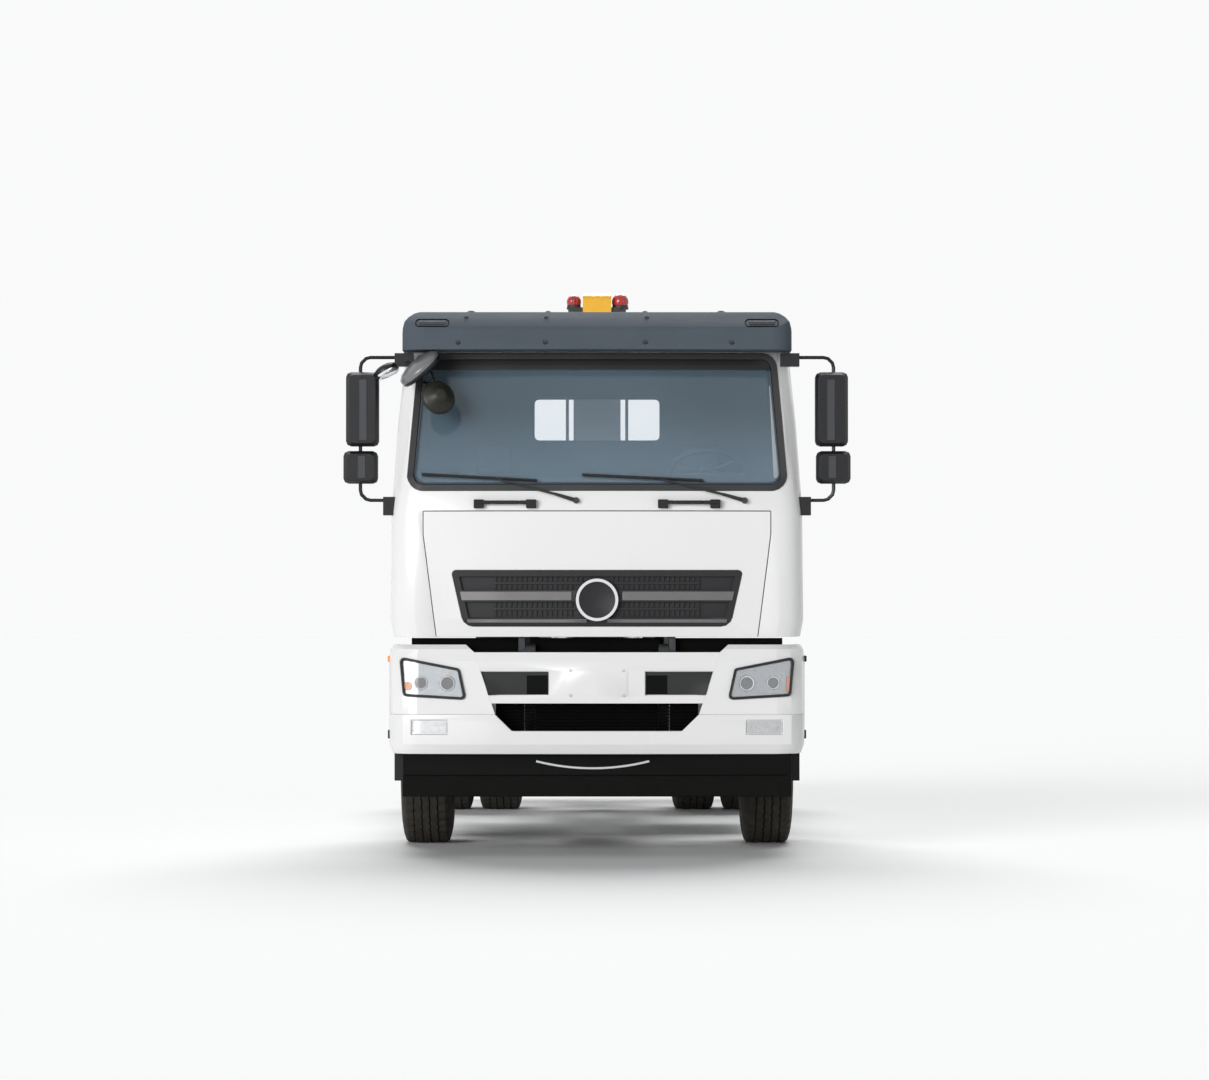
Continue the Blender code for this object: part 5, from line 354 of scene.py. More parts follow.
# Each pane's second colour and share are its painted reflection of the sky.
screen_glass = pane("screen_glass", (0.98, 0.99, 1.0, 1), (0.47, 0.69, 0.88, 1), 0.08,
                    reflection_fade=(2.15, 2.62))
rear_glass = pane("rear_glass", (0.99, 0.99, 0.99, 1), (0.60, 0.64, 0.66, 1), 0.02)
side_glass = pane("side_glass", (0.50, 0.56, 0.58, 1), (0.25, 0.30, 0.34, 1), 0.12)
lens_clear = pane("lens_clear", (0.93, 0.94, 0.95, 1), (0.75, 0.77, 0.80, 1), 0.16)
print("panes ready")

# %% [markdown]
# ## Dressing the solids
#
# The solids come in as loose flat triangles. A copy whose shared corners are merged can be shaded
# smooth, and a narrow bevel gives every edge the small highlight that sheet metal and mouldings
# have. Each copy stands for its own solid, so nothing moves or changes size.

# %% Copy a solid, smooth it and bevel its edges
SAME_PLACE = 0.00002
FLAT_ANGLE = math.radians(0.5)


def merged(name):
    bm = bmesh.new()
    bm.from_mesh(frame["nodes"][name].data)
    bmesh.ops.remove_doubles(bm, verts=bm.verts, dist=SAME_PLACE)
    bmesh.ops.dissolve_limit(bm, angle_limit=FLAT_ANGLE, verts=bm.verts, edges=bm.edges)
    return bm


def plain(piece):
    """Turns the result of a piece's modifiers into its own mesh."""
    graph = bpy.context.evaluated_depsgraph_get()
    mesh = bpy.data.meshes.new_from_object(piece.evaluated_get(graph))
    piece.modifiers.clear()
    piece.data = mesh


def settle(name, bm, material, body, bevel=0.0, smooth=32, segments=2):
    """Makes a piece of a finished bmesh and lets it ride on a body."""
    mesh = bpy.data.meshes.new(name)
    bm.to_mesh(mesh)
    bm.free()
    mesh.materials.clear()
    mesh.materials.append(material)
    for face in mesh.polygons:
        face.material_index = 0
    mesh.shade_smooth()
    mesh.set_sharp_from_angle(angle=math.radians(smooth))
    piece = bpy.data.objects.new(name, mesh)
    bpy.context.collection.objects.link(piece)
    if bevel:
        edge = piece.modifiers.new("edge", "BEVEL")
        edge.width = bevel
        edge.segments = segments
        edge.limit_method = "ANGLE"
        edge.angle_limit = math.radians(smooth)
        edge.harden_normals = True
        plain(piece)
    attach(piece, body)
    return piece


body_of = {name: body for body, names in frame["record"]["behaviour"]["bodies"].items() for name in names}


def dress(name, material, bevel=0.002, smooth=32, segments=2):
    piece = settle(name + "_dressed", merged(name), material, body_of[name], bevel, smooth,
                   segments)
    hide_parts(name)
    return piece


# %% [markdown]
# Most solids need nothing more than their finish and the width of their edges' rounding. Left and
# right ones share a row. The visor is a big soft moulding, so its edges are rounder and its front
# is shaded as one surface.

# %% Finish of each solid
FINISH_OF = {
    "cab_shell": (white, 0.004), "front_flap": (white, 0.003), "door": (white, 0.004),
    "bumper_centre": (white, 0.004), "bumper_lower": (white, 0.006), "bumper_wing": (white, 0.006),
    "grille": (charcoal, 0.003), "underrun_panel": (underrun_black, 0.006),
    "entry_step": (black, 0.004), "mirror": (mirror_black, 0.004), "chassis_frame": (frame_black, 0.002),
    "engine_block": (cast, 0.008), "front_axle": (frame_black, 0.003), "rear_axle": (frame_black, 0.003),
    "knuckle": (frame_black, 0.003), "tie_rod": (frame_black, 0.001), "front_rim": (rim_silver, 0.003),
    "rear_rims": (rim_silver, 0.003), "fuel_tank": (aluminium, 0.004), "silencer_box": (aluminium, 0.004),
    "battery_and_air_tanks": (black, 0.003), "oil_tank": (hoist, 0.004), "side_guard": (aluminium, 0.003),
    "rear_mudguard": (black, 0.002), "rear_bar": (frame_black, 0.004), "lift_subframe": (hoist, 0.003),
    "tipping_frame": (hoist, 0.003), "main_arm": (hoist, 0.004), "hook_jib": (hoist, 0.006),
    "hook_head": (yellow, 0.004), "lift_barrels": (hoist, 0.002), "lift_rod": (chrome, 0.002),
    "cab_floor": (trim, 0.003), "dashboard": (trim, 0.005),
}
VISOR_ROUNDING, VISOR_SMOOTH, VISOR_STEPS = 0.020, 50, 4
for name in frame["nodes"]:
    base = name.removesuffix("_left").removesuffix("_right")
    if base in FINISH_OF:
        dress(name, *FINISH_OF[base])
dress("roof_visor", anthracite, VISOR_ROUNDING, VISOR_SMOOTH, VISOR_STEPS)

# %% [markdown]
# Some solids show two finishes. The cab's walls and doors are white outside and lined inside, so
# the faces that look towards the middle of the cab take the headlining. The yellow hook's lamp
# brackets are dark. The panes keep their solids and only take their glass.

# %% Second finishes and glass
CAB_MIDDLE = at(0, 1.20, 2.40)
ROOM_HALF_WIDTH = 1.16
ROOM_TOP = 3.08
LAMP_BRACKET_IN = 0.096
for name in ("cab_shell", "door_left", "door_right"):
    inside = bpy.data.objects[name + "_dressed"].data
    inside.materials.append(headlining)
    for face in inside.polygons:
        in_room = abs(face.center.x) < ROOM_HALF_WIDTH and face.center.z < ROOM_TOP
        if in_room and face.normal.dot(CAB_MIDDLE - face.center) > 0.1:
            face.material_index = 1
for name, material in (("windscreen", screen_glass), ("rear_window", rear_glass),
                       ("door_glass_left", side_glass), ("door_glass_right", side_glass)):
    frame["nodes"][name].material_slots[0].material = material
hook = bpy.data.objects["hook_head_dressed"].data
hook.materials.append(seal)
for face in hook.polygons:
    if abs(face.center.x) > LAMP_BRACKET_IN:
        face.material_index = 1
print("solids dressed")

# %% [markdown]
# ## Laying trim on the cab
#
# Seals, seams and wipers follow the cab's curved front. Shooting a ray from in front of the truck
# finds the skin at any height and width, so trim can be drawn as it looks from the front and still
# sit on the surface when seen from the side.
# The ray starts a hair off the round number, because one that runs exactly along a shared edge
# can miss both triangles.

# %% Find the skin
OFF_EDGE_X, OFF_EDGE_Z = 0.000013, 0.000017


def skin_of(*names):
    verts, faces = [], []
    for name in names:
        mesh = frame["nodes"][name].data
        start = len(verts)
        verts += [vertex.co.copy() for vertex in mesh.vertices]
        faces += [[start + index for index in face.vertices] for face in mesh.polygons]
    return BVHTree.FromPolygons(verts, faces)


cab_skin = skin_of("cab_shell", "front_flap", "windscreen", "grille")
bumper_skin = skin_of("bumper_centre", "bumper_lower", "bumper_wing_left", "bumper_wing_right",
                      "headlamp_left", "headlamp_right")
visor_skin = skin_of("roof_visor")


def skin_y(skin, x, z, fallback=0.1):
    hit = skin.ray_cast(Vector((x + OFF_EDGE_X, FRONT - 1, z + OFF_EDGE_Z)), Vector((0, 1, 0)))
    return hit[0].y if hit[0] else behind(fallback)


print("skin found at", round(skin_y(cab_skin, 0, 1.8) - FRONT, 3), "m behind the bumper")

# %% [markdown]
# Most trim is a row of sections joined by quads: a strip on the skin, a rubber round a window, a
# ring round a lamp. `joined` does that for all of them. Which way the faces point is left to
# Blender, which works it out for a closed shape.

# %% Rows of sections, strips and outlines
STRIP_SHOULDER = 0.8
FAR_BEHIND = 9


def joined(bm, rows, closed=True):
    """Joins closed sections of vertices with quads; an open row gets end caps."""
    count = len(rows[0])
    for first, second in zip(rows, rows[1:] + (rows[:1] if closed else [])):
        for step in range(count):
            after = (step + 1) % count
            bm.faces.new((first[step], first[after], second[after], second[step]))
    if not closed:
        bm.faces.new(rows[0][::-1])
        bm.faces.new(rows[-1])
    bmesh.ops.recalc_face_normals(bm, faces=bm.faces)


def sideways(points, index, closed):
    """The direction across a route of (x, z) points at one of them."""
    count = len(points)
    after = points[(index + 1) % count] if closed or index < count - 1 else points[index]
    before = points[index - 1] if closed or index else points[index]
    along = Vector((after[0] - before[0], after[1] - before[1])).normalized()
    return Vector((along.y, -along.x))


def strip(bm, skin, points, width, height, sunk=0.002, closed=False):
    """Adds a raised strip that follows (x, z) points on a skin."""
    rows = []
    section = ((-1, -sunk), (-STRIP_SHOULDER, height), (STRIP_SHOULDER, height), (1, -sunk))
    for index, (x, z) in enumerate(points):
        side = sideways(points, index, closed) * width / 2
        reach = [skin_y(skin, x + side.x * share, z + side.y * share, FAR_BEHIND) for share in (-1, 0, 1)]
        rows.append([bm.verts.new((x + side.x * share, min(reach) - depth, z + side.y * share)) for share,
                     depth in section])
    joined(bm, rows, closed)


def rounded(corners, radius, steps=6):
    """An outline whose corners are arcs."""
    outline = []
    for index, corner in enumerate(corners):
        corner = Vector(corner)
        before = (Vector(corners[index - 1]) - corner).normalized()
        after = (Vector(corners[(index + 1) % len(corners)]) - corner).normalized()
        half = before.angle(after) / 2
        centre = corner + (before + after).normalized() * radius / math.sin(half)
        first = corner + before * radius / math.tan(half) - centre
        last = corner + after * radius / math.tan(half) - centre
        for step in range(steps + 1):
            outline.append(tuple(centre + first.lerp(last, step / steps).normalized() * radius))
    return outline


def spaced(points, step, closed=False):
    """The same route with points no further apart than a step."""
    route = []
    pairs = list(zip(points, points[1:])) + ([(points[-1], points[0])] if closed else [])
    for first, second in pairs:
        first, second = Vector(first), Vector(second)
        parts = max(1, math.ceil((second - first).length / step))
        route += [tuple(first.lerp(second, part / parts)) for part in range(parts)]
    return route if closed else route + [tuple(points[-1])]


def box_corners(x_low, x_high, z_low, z_high):
    return [(x_low, z_low), (x_high, z_low), (x_high, z_high), (x_low, z_high)]


print("a rounded outline has", len(rounded(box_corners(0, 1, 0, 1), 0.1)), "points")

# %% [markdown]
# A patch is a thin plate whose front follows the skin, from four corners as seen from the front.
# Blocks, bars and rings are the other plain shapes that trim is made of. A ring lies flat against
# the front, and its section runs from its inner to its outer edge.


# %% Patches, blocks, bars and rings
def rim_of(layer):
    """The outer vertices of a grid, one after the other."""
    back = layer[-1][-2::-1] + [line[0] for line in layer[-2:0:-1]]
    return layer[0] + [line[-1] for line in layer[1:]] + back


def patch(bm, skin, corners, proud, thick, step=0.06):
    """Adds a plate whose front face follows the skin, from four (x, z) corners."""
    low_in, low_out, top_out, top_in = [Vector(corner) for corner in corners]
    across = max(1, math.ceil((low_out - low_in).length / step))
    up = max(1, math.ceil((top_in - low_in).length / step))
    front, back = [], []
    for row in range(up + 1):
        start, end = low_in.lerp(top_in, row / up), low_out.lerp(top_out, row / up)
        line = [start.lerp(end, column / across) for column in range(across + 1)]
        ys = [skin_y(skin, point.x, point.y) for point in line]
        front.append([bm.verts.new((point.x, y - proud, point.y)) for point, y in zip(line, ys)])
        back.append([bm.verts.new((point.x, y - proud + thick, point.y)) for point, y in zip(line, ys)])
    for row in range(up):
        for column in range(across):
            for layer, flip in ((front, False), (back, True)):
                quad = [layer[row][column], layer[row][column + 1], layer[row + 1][column + 1],
                        layer[row + 1][column]]
                bm.faces.new(quad[::-1] if flip else quad)
    rim_front, rim_back = rim_of(front), rim_of(back)
    for index in range(len(rim_front)):
        after = (index + 1) % len(rim_front)
        bm.faces.new((rim_front[index], rim_back[index], rim_back[after], rim_front[after]))
    bmesh.ops.recalc_face_normals(bm, faces=bm.faces)


def block(bm, low, high):
    made = bmesh.ops.create_cube(bm, size=1)
    low, high = Vector(low), Vector(high)
    for vertex in made["verts"]:
        vertex.co = Vector([low[i] + (vertex.co[i] + 0.5) * (high[i] - low[i]) for i in range(3)])


def bar(bm, start, end, radius, segments=12, radius_end=None):
    start, end = Vector(start), Vector(end)
    along = end - start
    place = Matrix.Translation(start + along / 2) @ along.to_track_quat("Z", "X").to_matrix().to_4x4()
    bmesh.ops.create_cone(bm, cap_ends=True, segments=segments, radius1=radius,
                          radius2=radius if radius_end is None else radius_end, depth=along.length,
                          matrix=place)


def flat_ring(bm, x, y, z, section, steps):
    """Turns (radius, height) points round a place on the front."""
    rows = []
    for step in range(steps):
        angle = 2 * math.pi * step / steps
        rows.append([bm.verts.new((x + radius * math.cos(angle), y - rise, z + radius * math.sin(angle)))
                     for radius, rise in section])
    joined(bm, rows)


print("shapes ready")

# %% [markdown]
# ## Windscreen surround
#
# The windscreen sits in a broad black rubber with a thin grey lip along its sides and bottom. The
# top edge of the glass is masked by a dark band. All follow the same rounded outline as the glass,
# so the outline is written once. Beside the left pillar a strip of pale lining shows through.

# %% Seal, lip, band and pillar lining
SCREEN = ((-1.115, 2.175), (1.115, 2.175), (1.052, 2.965), (-1.052, 2.965))
SCREEN_RADIUS = 0.075
SEAL_WIDTH = 0.042
SCREEN_MIDDLE = 2.57
LIP_IN, LIP_UP = 0.976, 0.068
LIP_END_X, LIP_END_Z = 1.0316, 2.88
LIP_CORNER_POINTS = 14
LINING_CORNERS = ((1.052, 2.235), (1.086, 2.235), (1.046, 2.790), (1.030, 2.790))
BAND_BOTTOM = 2.884

bm = bmesh.new()
strip(bm, cab_skin, spaced(rounded(SCREEN, SCREEN_RADIUS), 0.05, True), SEAL_WIDTH, 0.010, closed=True)
settle("screen_seal", bm, seal, "cab")
bm = bmesh.new()
lip = [(x * LIP_IN, z + (SCREEN_MIDDLE - z) * LIP_UP) for x, z in SCREEN]
lip_corners = rounded(lip, SCREEN_RADIUS * 0.8)[:LIP_CORNER_POINTS]
lip_route = [(-LIP_END_X, LIP_END_Z), *lip_corners, (LIP_END_X, LIP_END_Z)]
strip(bm, cab_skin, spaced(lip_route, 0.05), 0.010, 0.006)
settle("screen_lip", bm, anthracite, "cab")
bm = bmesh.new()
patch(bm, cab_skin, LINING_CORNERS, -0.030, 0.008)
settle("pillar_lining", bm, lining, "cab", 0.002)
bm = bmesh.new()
patch(bm, cab_skin, ((-1.035, BAND_BOTTOM), (1.035, BAND_BOTTOM), (1.030, 2.96), (-1.030, 2.96)), 0.004,
      0.003)
settle("screen_band", bm, seal, "cab")
print("screen surround laid")

# %% [markdown]
# The rear window is flat and upright, so its rubber needs no skin to lie on: a square section runs
# round its own box and stands a little proud of the glass on both sides.

# %% Rear window seal
REAR_SEAL_HALF, REAR_SEAL_RADIUS = 0.016, 0.045
rear_low, rear_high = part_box("rear_window")
corners = box_corners(rear_low.x, rear_high.x, rear_low.z, rear_high.z)
outline = spaced(rounded(corners, REAR_SEAL_RADIUS), 0.05, True)
front_y, back_y = rear_low.y - 0.012, rear_high.y + 0.010
bm = bmesh.new()
rows = []
for index, (x, z) in enumerate(outline):
    side = sideways(outline, index, True) * REAR_SEAL_HALF
    section = ((-1, front_y), (1, front_y), (1, back_y), (-1, back_y))
    rows.append([bm.verts.new((x + side.x * share, y, z + side.y * share)) for share, y in section])
joined(bm, rows)
settle("rear_window_seal", bm, seal, "cab")
print("rear window sealed")

# %% [markdown]
# ## Seam, grab handles and wipers
#
# The thin dark line above the front flap is the gap over its hinge. Two black grab handles stand
# over it, for whoever cleans the screen. Each is a broad bar in three lengths, which bends with
# the cab's front, on two feet.

# %% Seam and handles
FLAP_TOP = 2.036
FLAP_OUT = 1.028
HANDLE_IN, HANDLE_OUT = 0.360, 0.730
HANDLE_TOP, HANDLE_BOTTOM = 2.104, 2.058
HANDLE_STAND = 0.034
HANDLE_HALF = 0.011
HANDLE_BENDS = (HANDLE_IN + 0.012, HANDLE_IN + 0.10, HANDLE_OUT - 0.10, HANDLE_OUT - 0.012)
FOOT_HALF = 0.030

bm = bmesh.new()
strip(bm, cab_skin, spaced(((-FLAP_OUT, FLAP_TOP), (FLAP_OUT, FLAP_TOP)), 0.06), 0.007, 0.0006)
settle("flap_seam", bm, seal, "cab")
for word, side in SIDES:
    bm = bmesh.new()
    middle = (HANDLE_TOP + HANDLE_BOTTOM) / 2 + 0.006
    bends = [(side * x, skin_y(cab_skin, side * x, middle) - HANDLE_STAND) for x in HANDLE_BENDS]
    for (x, y), (next_x, next_y) in zip(bends, bends[1:]):
        block(bm, (min(x, next_x), min(y, next_y) - 0.006, middle - HANDLE_HALF),
              (max(x, next_x), max(y, next_y) + 0.010, middle + HANDLE_HALF))
    for x in (side * (HANDLE_IN + FOOT_HALF), side * (HANDLE_OUT - FOOT_HALF)):
        y = skin_y(cab_skin, x, middle)
        block(bm, (x - FOOT_HALF, y - HANDLE_STAND - 0.008, HANDLE_BOTTOM - 0.006),
              (x + FOOT_HALF, y + 0.006, HANDLE_TOP))
    settle("grab_handle_" + word, bm, black, "cab", 0.005, segments=3)
print("handles on")

# %% [markdown]
# The wipers rest at the bottom of the glass, their arms pointing from the pivots towards the
# vehicle's right. An arm is a thick and a thin bar that meet at a knee above the glass. The blade
# is a row of sections, each laid on the glass, so that it bends with the screen.

# %% Wipers
WIPERS = ((-0.124, 2.098, -1.041, 2.256, -0.354, 2.218), (0.875, 2.098, -0.089, 2.252, 0.631, 2.218))
BLADE_SECTION = ((0.0115, -0.002), (0.024, -0.010), (0.030, 0), (0.024, 0.008))
BLADE_STEPS = 8


def over_screen(x, z, height):
    return Vector((x, skin_y(cab_skin, x, z) - height, z))


for index, (pivot_x, pivot_z, tip_x, tip_z, heel_x, heel_z) in enumerate(WIPERS):
    bm = bmesh.new()
    pivot = over_screen(pivot_x, pivot_z, 0.012)
    joint = over_screen((tip_x + heel_x) / 2 + 0.10, (tip_z + heel_z) / 2 - 0.010, 0.040)
    knee = pivot.lerp(joint, 0.26) + Vector((0, -0.026, 0.004))
    bar(bm, pivot + Vector((0, 0.014, 0)), pivot - Vector((0, 0.022, 0)), 0.020, 16, 0.015)
    bar(bm, pivot, knee, 0.013, 10, 0.009)
    bar(bm, knee, joint, 0.008, 8, 0.005)
    tip, heel = over_screen(tip_x, tip_z, 0.020), over_screen(heel_x, heel_z, 0.020)
    rows = []
    for step in range(BLADE_STEPS + 1):
        point = tip.lerp(heel, step / BLADE_STEPS)
        y = skin_y(cab_skin, point.x, point.z)
        rows.append([bm.verts.new((point.x, y - depth, point.z + rise)) for depth, rise in BLADE_SECTION])
    joined(bm, rows, closed=False)
    settle("wiper_%d" % index, bm, seal, "cab", smooth=40)
print("wipers at rest")

# %% [markdown]
# ## Screws by Geometry Nodes
#
# Screws, bolts and wheel nuts are the same part many times over. A mesh that only holds their
# places and the way they face is enough: Geometry Nodes put one small head on every point. The
# tree is built once, with named inputs, and each use turns its result into a plain mesh.

# %% The screw tree
HEAD_TAPER = 0.72
SCREW_SMOOTH = 35
SCREW_SOCKETS = (("Head radius", "NodeSocketFloat"), ("Head height", "NodeSocketFloat"),
                 ("Sides", "NodeSocketInt"), ("Finish", "NodeSocketMaterial"))


def screw_tree():
    tree = bpy.data.node_groups.new("screws_on_points", "GeometryNodeTree")
    sockets = tree.interface
    sockets.new_socket("Geometry", in_out="INPUT", socket_type="NodeSocketGeometry")
    inputs = [sockets.new_socket(name, in_out="INPUT", socket_type=kind).identifier for name,
              kind in SCREW_SOCKETS]
    sockets.new_socket("Geometry", in_out="OUTPUT", socket_type="NodeSocketGeometry")
    link = tree.links.new
    given = tree.nodes.new("NodeGroupInput")
    result = tree.nodes.new("NodeGroupOutput")
    head = tree.nodes.new("GeometryNodeMeshCone")
    link(combined(tree, "MULTIPLY", given.outputs["Head radius"], HEAD_TAPER), head.inputs["Radius Top"])
    link(given.outputs["Head radius"], head.inputs["Radius Bottom"])
    link(given.outputs["Head height"], head.inputs["Depth"])
    link(given.outputs["Sides"], head.inputs["Vertices"])
    aim_at = node(tree, "FunctionNodeAlignRotationToVector", axis="Z")
    normal = tree.nodes.new("GeometryNodeInputNamedAttribute")
    normal.data_type = "FLOAT_VECTOR"
    normal.inputs["Name"].default_value = "facing"
    link(normal.outputs["Attribute"], aim_at.inputs["Vector"])
    spread = tree.nodes.new("GeometryNodeInstanceOnPoints")
    link(given.outputs["Geometry"], spread.inputs["Points"])
    link(head.outputs["Mesh"], spread.inputs["Instance"])
    link(aim_at.outputs["Rotation"], spread.inputs["Rotation"])
    real = tree.nodes.new("GeometryNodeRealizeInstances")
    link(spread.outputs["Instances"], real.inputs["Geometry"])
    coat = tree.nodes.new("GeometryNodeSetMaterial")
    link(real.outputs["Geometry"], coat.inputs["Geometry"])
    link(given.outputs["Finish"], coat.inputs["Material"])
    link(coat.outputs["Geometry"], result.inputs["Geometry"])
    return tree, inputs


SCREW_TREE, SCREW_INPUTS = screw_tree()


def screws(name, places, facings, radius, height, sides, material, body):
    """One small head on each place, turned to face its own way."""
    mesh = bpy.data.meshes.new(name)
    mesh.from_pydata([tuple(place) for place in places], [], [])
    facing = mesh.attributes.new("facing", "FLOAT_VECTOR", "POINT")
    for index, way in enumerate(facings):
        facing.data[index].vector = way
    piece = bpy.data.objects.new(name, mesh)
    bpy.context.collection.objects.link(piece)
    modifier = piece.modifiers.new("screws", "NODES")
    modifier.node_group = SCREW_TREE
    for identifier, value in zip(SCREW_INPUTS, (radius, height, sides, material)):
        modifier[identifier] = value
    plain(piece)
    piece.data.shade_smooth()
    piece.data.set_sharp_from_angle(angle=math.radians(SCREW_SMOOTH))
    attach(piece, body)
    return piece


print("screw tree has", len(SCREW_TREE.nodes), "nodes")

# %% [markdown]
# ## Visor fittings
#
# The visor carries two rows of small screws, a long shallow pocket in each upper corner, outlined in
# near-black painted shade, and four low marker lamps along its top edge, the outer two bigger. The lamps
# are domes: round balls pressed flat and set into the visor's top.

# %% Visor screws, pockets and marker lamps
POCKET_IN, POCKET_OUT = 0.880, 1.075
POCKET_LOW, POCKET_MIDDLE, POCKET_HIGH = 3.128, 3.152, 3.176
MARKER_BEHIND = 0.34
MARKER_LENGTHEN, MARKER_HEIGHT = 1.3, 0.024
MARKERS = ((-0.754, 0.034), (-0.293, 0.022), (0.287, 0.022), (0.742, 0.034))
SCREW_ROWS = ((3.032, (-0.823, -0.307, 0.285, 0.796)), (3.188, (-0.778, -0.302, 0.296)))
visor_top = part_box("roof_visor")[1].z
places = [(x, skin_y(visor_skin, x, z) - 0.001, z) for z, row in SCREW_ROWS for x in row]
screws("visor_screws", places, [(0, -1, 0.2)] * len(places), 0.013, 0.010, 16, seal, "cab")
for word, side in SIDES:
    # the pocket's outline is painted shade, near-black where the slot lies in shade
    bm = bmesh.new()
    inner, outer = side * POCKET_IN, side * POCKET_OUT
    loop = rounded(box_corners(inner, outer, POCKET_LOW, POCKET_HIGH), 0.020)
    strip(bm, visor_skin, spaced(loop, 0.03, True), 0.006, 0.003, closed=True)
    settle("visor_pocket_" + word, bm, painted_shade, "cab")
    bm = bmesh.new()
    line = ((inner + side * 0.02, POCKET_MIDDLE), (outer - side * 0.02, POCKET_MIDDLE))
    strip(bm, visor_skin, spaced(line, 0.03), 0.022, 0.0015)
    settle("visor_recess_" + word, bm, band_grey, "cab")
for index, (x, radius) in enumerate(MARKERS):
    hit = visor_skin.ray_cast(at(x, MARKER_BEHIND, 4), Vector((0, 0, -1)))
    top = hit[0].z if hit[0] else visor_top
    bm = bmesh.new()
    made = bmesh.ops.create_uvsphere(bm, u_segments=20, v_segments=12, radius=radius)
    press = Matrix.Diagonal((1, MARKER_LENGTHEN, MARKER_HEIGHT / radius, 1))
    turn = Matrix.Translation(at(x, MARKER_BEHIND, top - 0.004)) @ press
    bmesh.ops.transform(bm, matrix=turn, verts=made["verts"])
    settle("roof_marker_%d" % index, bm, anthracite if radius > 0.03 else seal, "cab")
print("visor fitted")

# %% [markdown]
# ## Grille and badge
#
# Behind the grille's bars lies a mesh of short upright ribs in four rows. The middle bar is a
# broad metallic blade with a narrow one below. The round badge carries no sign: it is a plain dark
# disc, part of the grille's solid, in a bright ring.

# %% Grille ribs, blades and badge
RIB_ROWS = ((1.412, 1.448), (1.466, 1.496), (1.572, 1.600), (1.618, 1.648))
RIB_OUT = 0.600
RIB_COUNT = 40
RIB_HALF_WIDTH, RIB_PROUD, RIB_DEEP = 0.006, 0.010, 0.014
RIB_CLEAR = 0.02
BROAD_BLADE = ((0.150, 1.506), (0.800, 1.506), (0.812, 1.560), (0.150, 1.560))
NARROW_BLADE = ((0.06, 1.374), (0.765, 1.374), (0.770, 1.396), (0.06, 1.396))
RING_SECTION = ((0.102, 0), (0.108, 0.014), (0.125, 0.014), (0.131, 0))
BADGE_HEIGHT = 1.510
BADGE_RADIUS = 0.132
grille_skin = skin_of("grille")
bm = bmesh.new()
for low, high in RIB_ROWS:
    middle = (low + high) / 2
    for index in range(RIB_COUNT + 1):
        x = -RIB_OUT + 2 * RIB_OUT * index / RIB_COUNT
        if math.hypot(x, middle - BADGE_HEIGHT) >= BADGE_RADIUS + RIB_CLEAR:
            y = skin_y(grille_skin, x, middle) - RIB_PROUD
            block(bm, (x - RIB_HALF_WIDTH, y, low), (x + RIB_HALF_WIDTH, y + RIB_DEEP, high))
settle("grille_ribs", bm, charcoal, "front_flap", 0.0015)
bm = bmesh.new()
for side in (1, -1):
    patch(bm, grille_skin, [(side * x, z) for x, z in BROAD_BLADE], 0.006, 0.010)
    patch(bm, grille_skin, [(side * x, z) for x, z in NARROW_BLADE], 0.005, 0.009)
settle("grille_blades", bm, gunmetal, "front_flap", 0.003)
bm = bmesh.new()
flat_ring(bm, 0, skin_y(grille_skin, 0, BADGE_HEIGHT) + 0.004, BADGE_HEIGHT, RING_SECTION, 48)
settle("badge_ring", bm, chrome, "front_flap", smooth=40)
print("grille filled")

# %% [markdown]
# ## Bumper fittings
#
# Each side of the plain number plate place is a grey insert whose inner part is an opening, shown
# as a near-black plate in painted shade. Four small screws mark the corners of the plate place.

# %% Inserts and plate screws
VENT = ((0.286, 0.949), (0.644, 0.949), (0.684, 1.085), (0.286, 1.085))
VENT_OPENING = ((0.292, 0.953), (0.415, 0.953), (0.415, 1.064), (0.292, 1.064))
# the inner plate is painted shade for the opening in each insert
for name, corners, material, proud, thick, bevel in (("vent_plates", VENT, vent_grey, 0.003, 0.006, 0.002),
                                                     ("vent_inset", VENT_OPENING, underrun_black, 0.005,
                                                      0.004, 0.001)):
    bm = bmesh.new()
    for side in (1, -1):
        patch(bm, bumper_skin, [(side * x, z) for x, z in corners], proud, thick)
    settle(name, bm, material, "chassis", bevel)
places = [(side * 0.157, skin_y(bumper_skin, side * 0.157, z) - 0.001, z) for side in (1,
        -1) for z in (0.945, 1.090)]
screws("plate_screws", places, [(0, -1, 0)] * len(places), 0.009, 0.006, 12, aluminium, "chassis")
print("inserts fitted")

# %% [markdown]
# Above and below the bumper's middle one looks into the engine bay, which lies in shade. A thin
# near-black cover closes each opening behind the cab's mounts as painted shade, and the lower one has a
# mesh of eight slats that widen upwards, near-black with the same painted shade. The bright strip on the
# underrun panel hangs in a shallow arc.

# %% Dark openings and the bright strip
COVER_FRONT, COVER_BACK = 0.150, 0.156
BAY_PARTS = ((-1.10, -0.455), (-0.372, 0.372), (0.455, 1.10))
MOUTH_PARTS = ((-0.60, -0.432), (-0.360, 0.360), (0.432, 0.60))
SLAT_COUNT, SLAT_LOW, SLAT_PITCH = 8, 0.748, 0.020
STRIP_STEPS = 16
STRIP_LEFT, STRIP_RIGHT, STRIP_END, STRIP_MIDDLE = -0.36, 0.31, 0.555, 0.513
bm = bmesh.new()
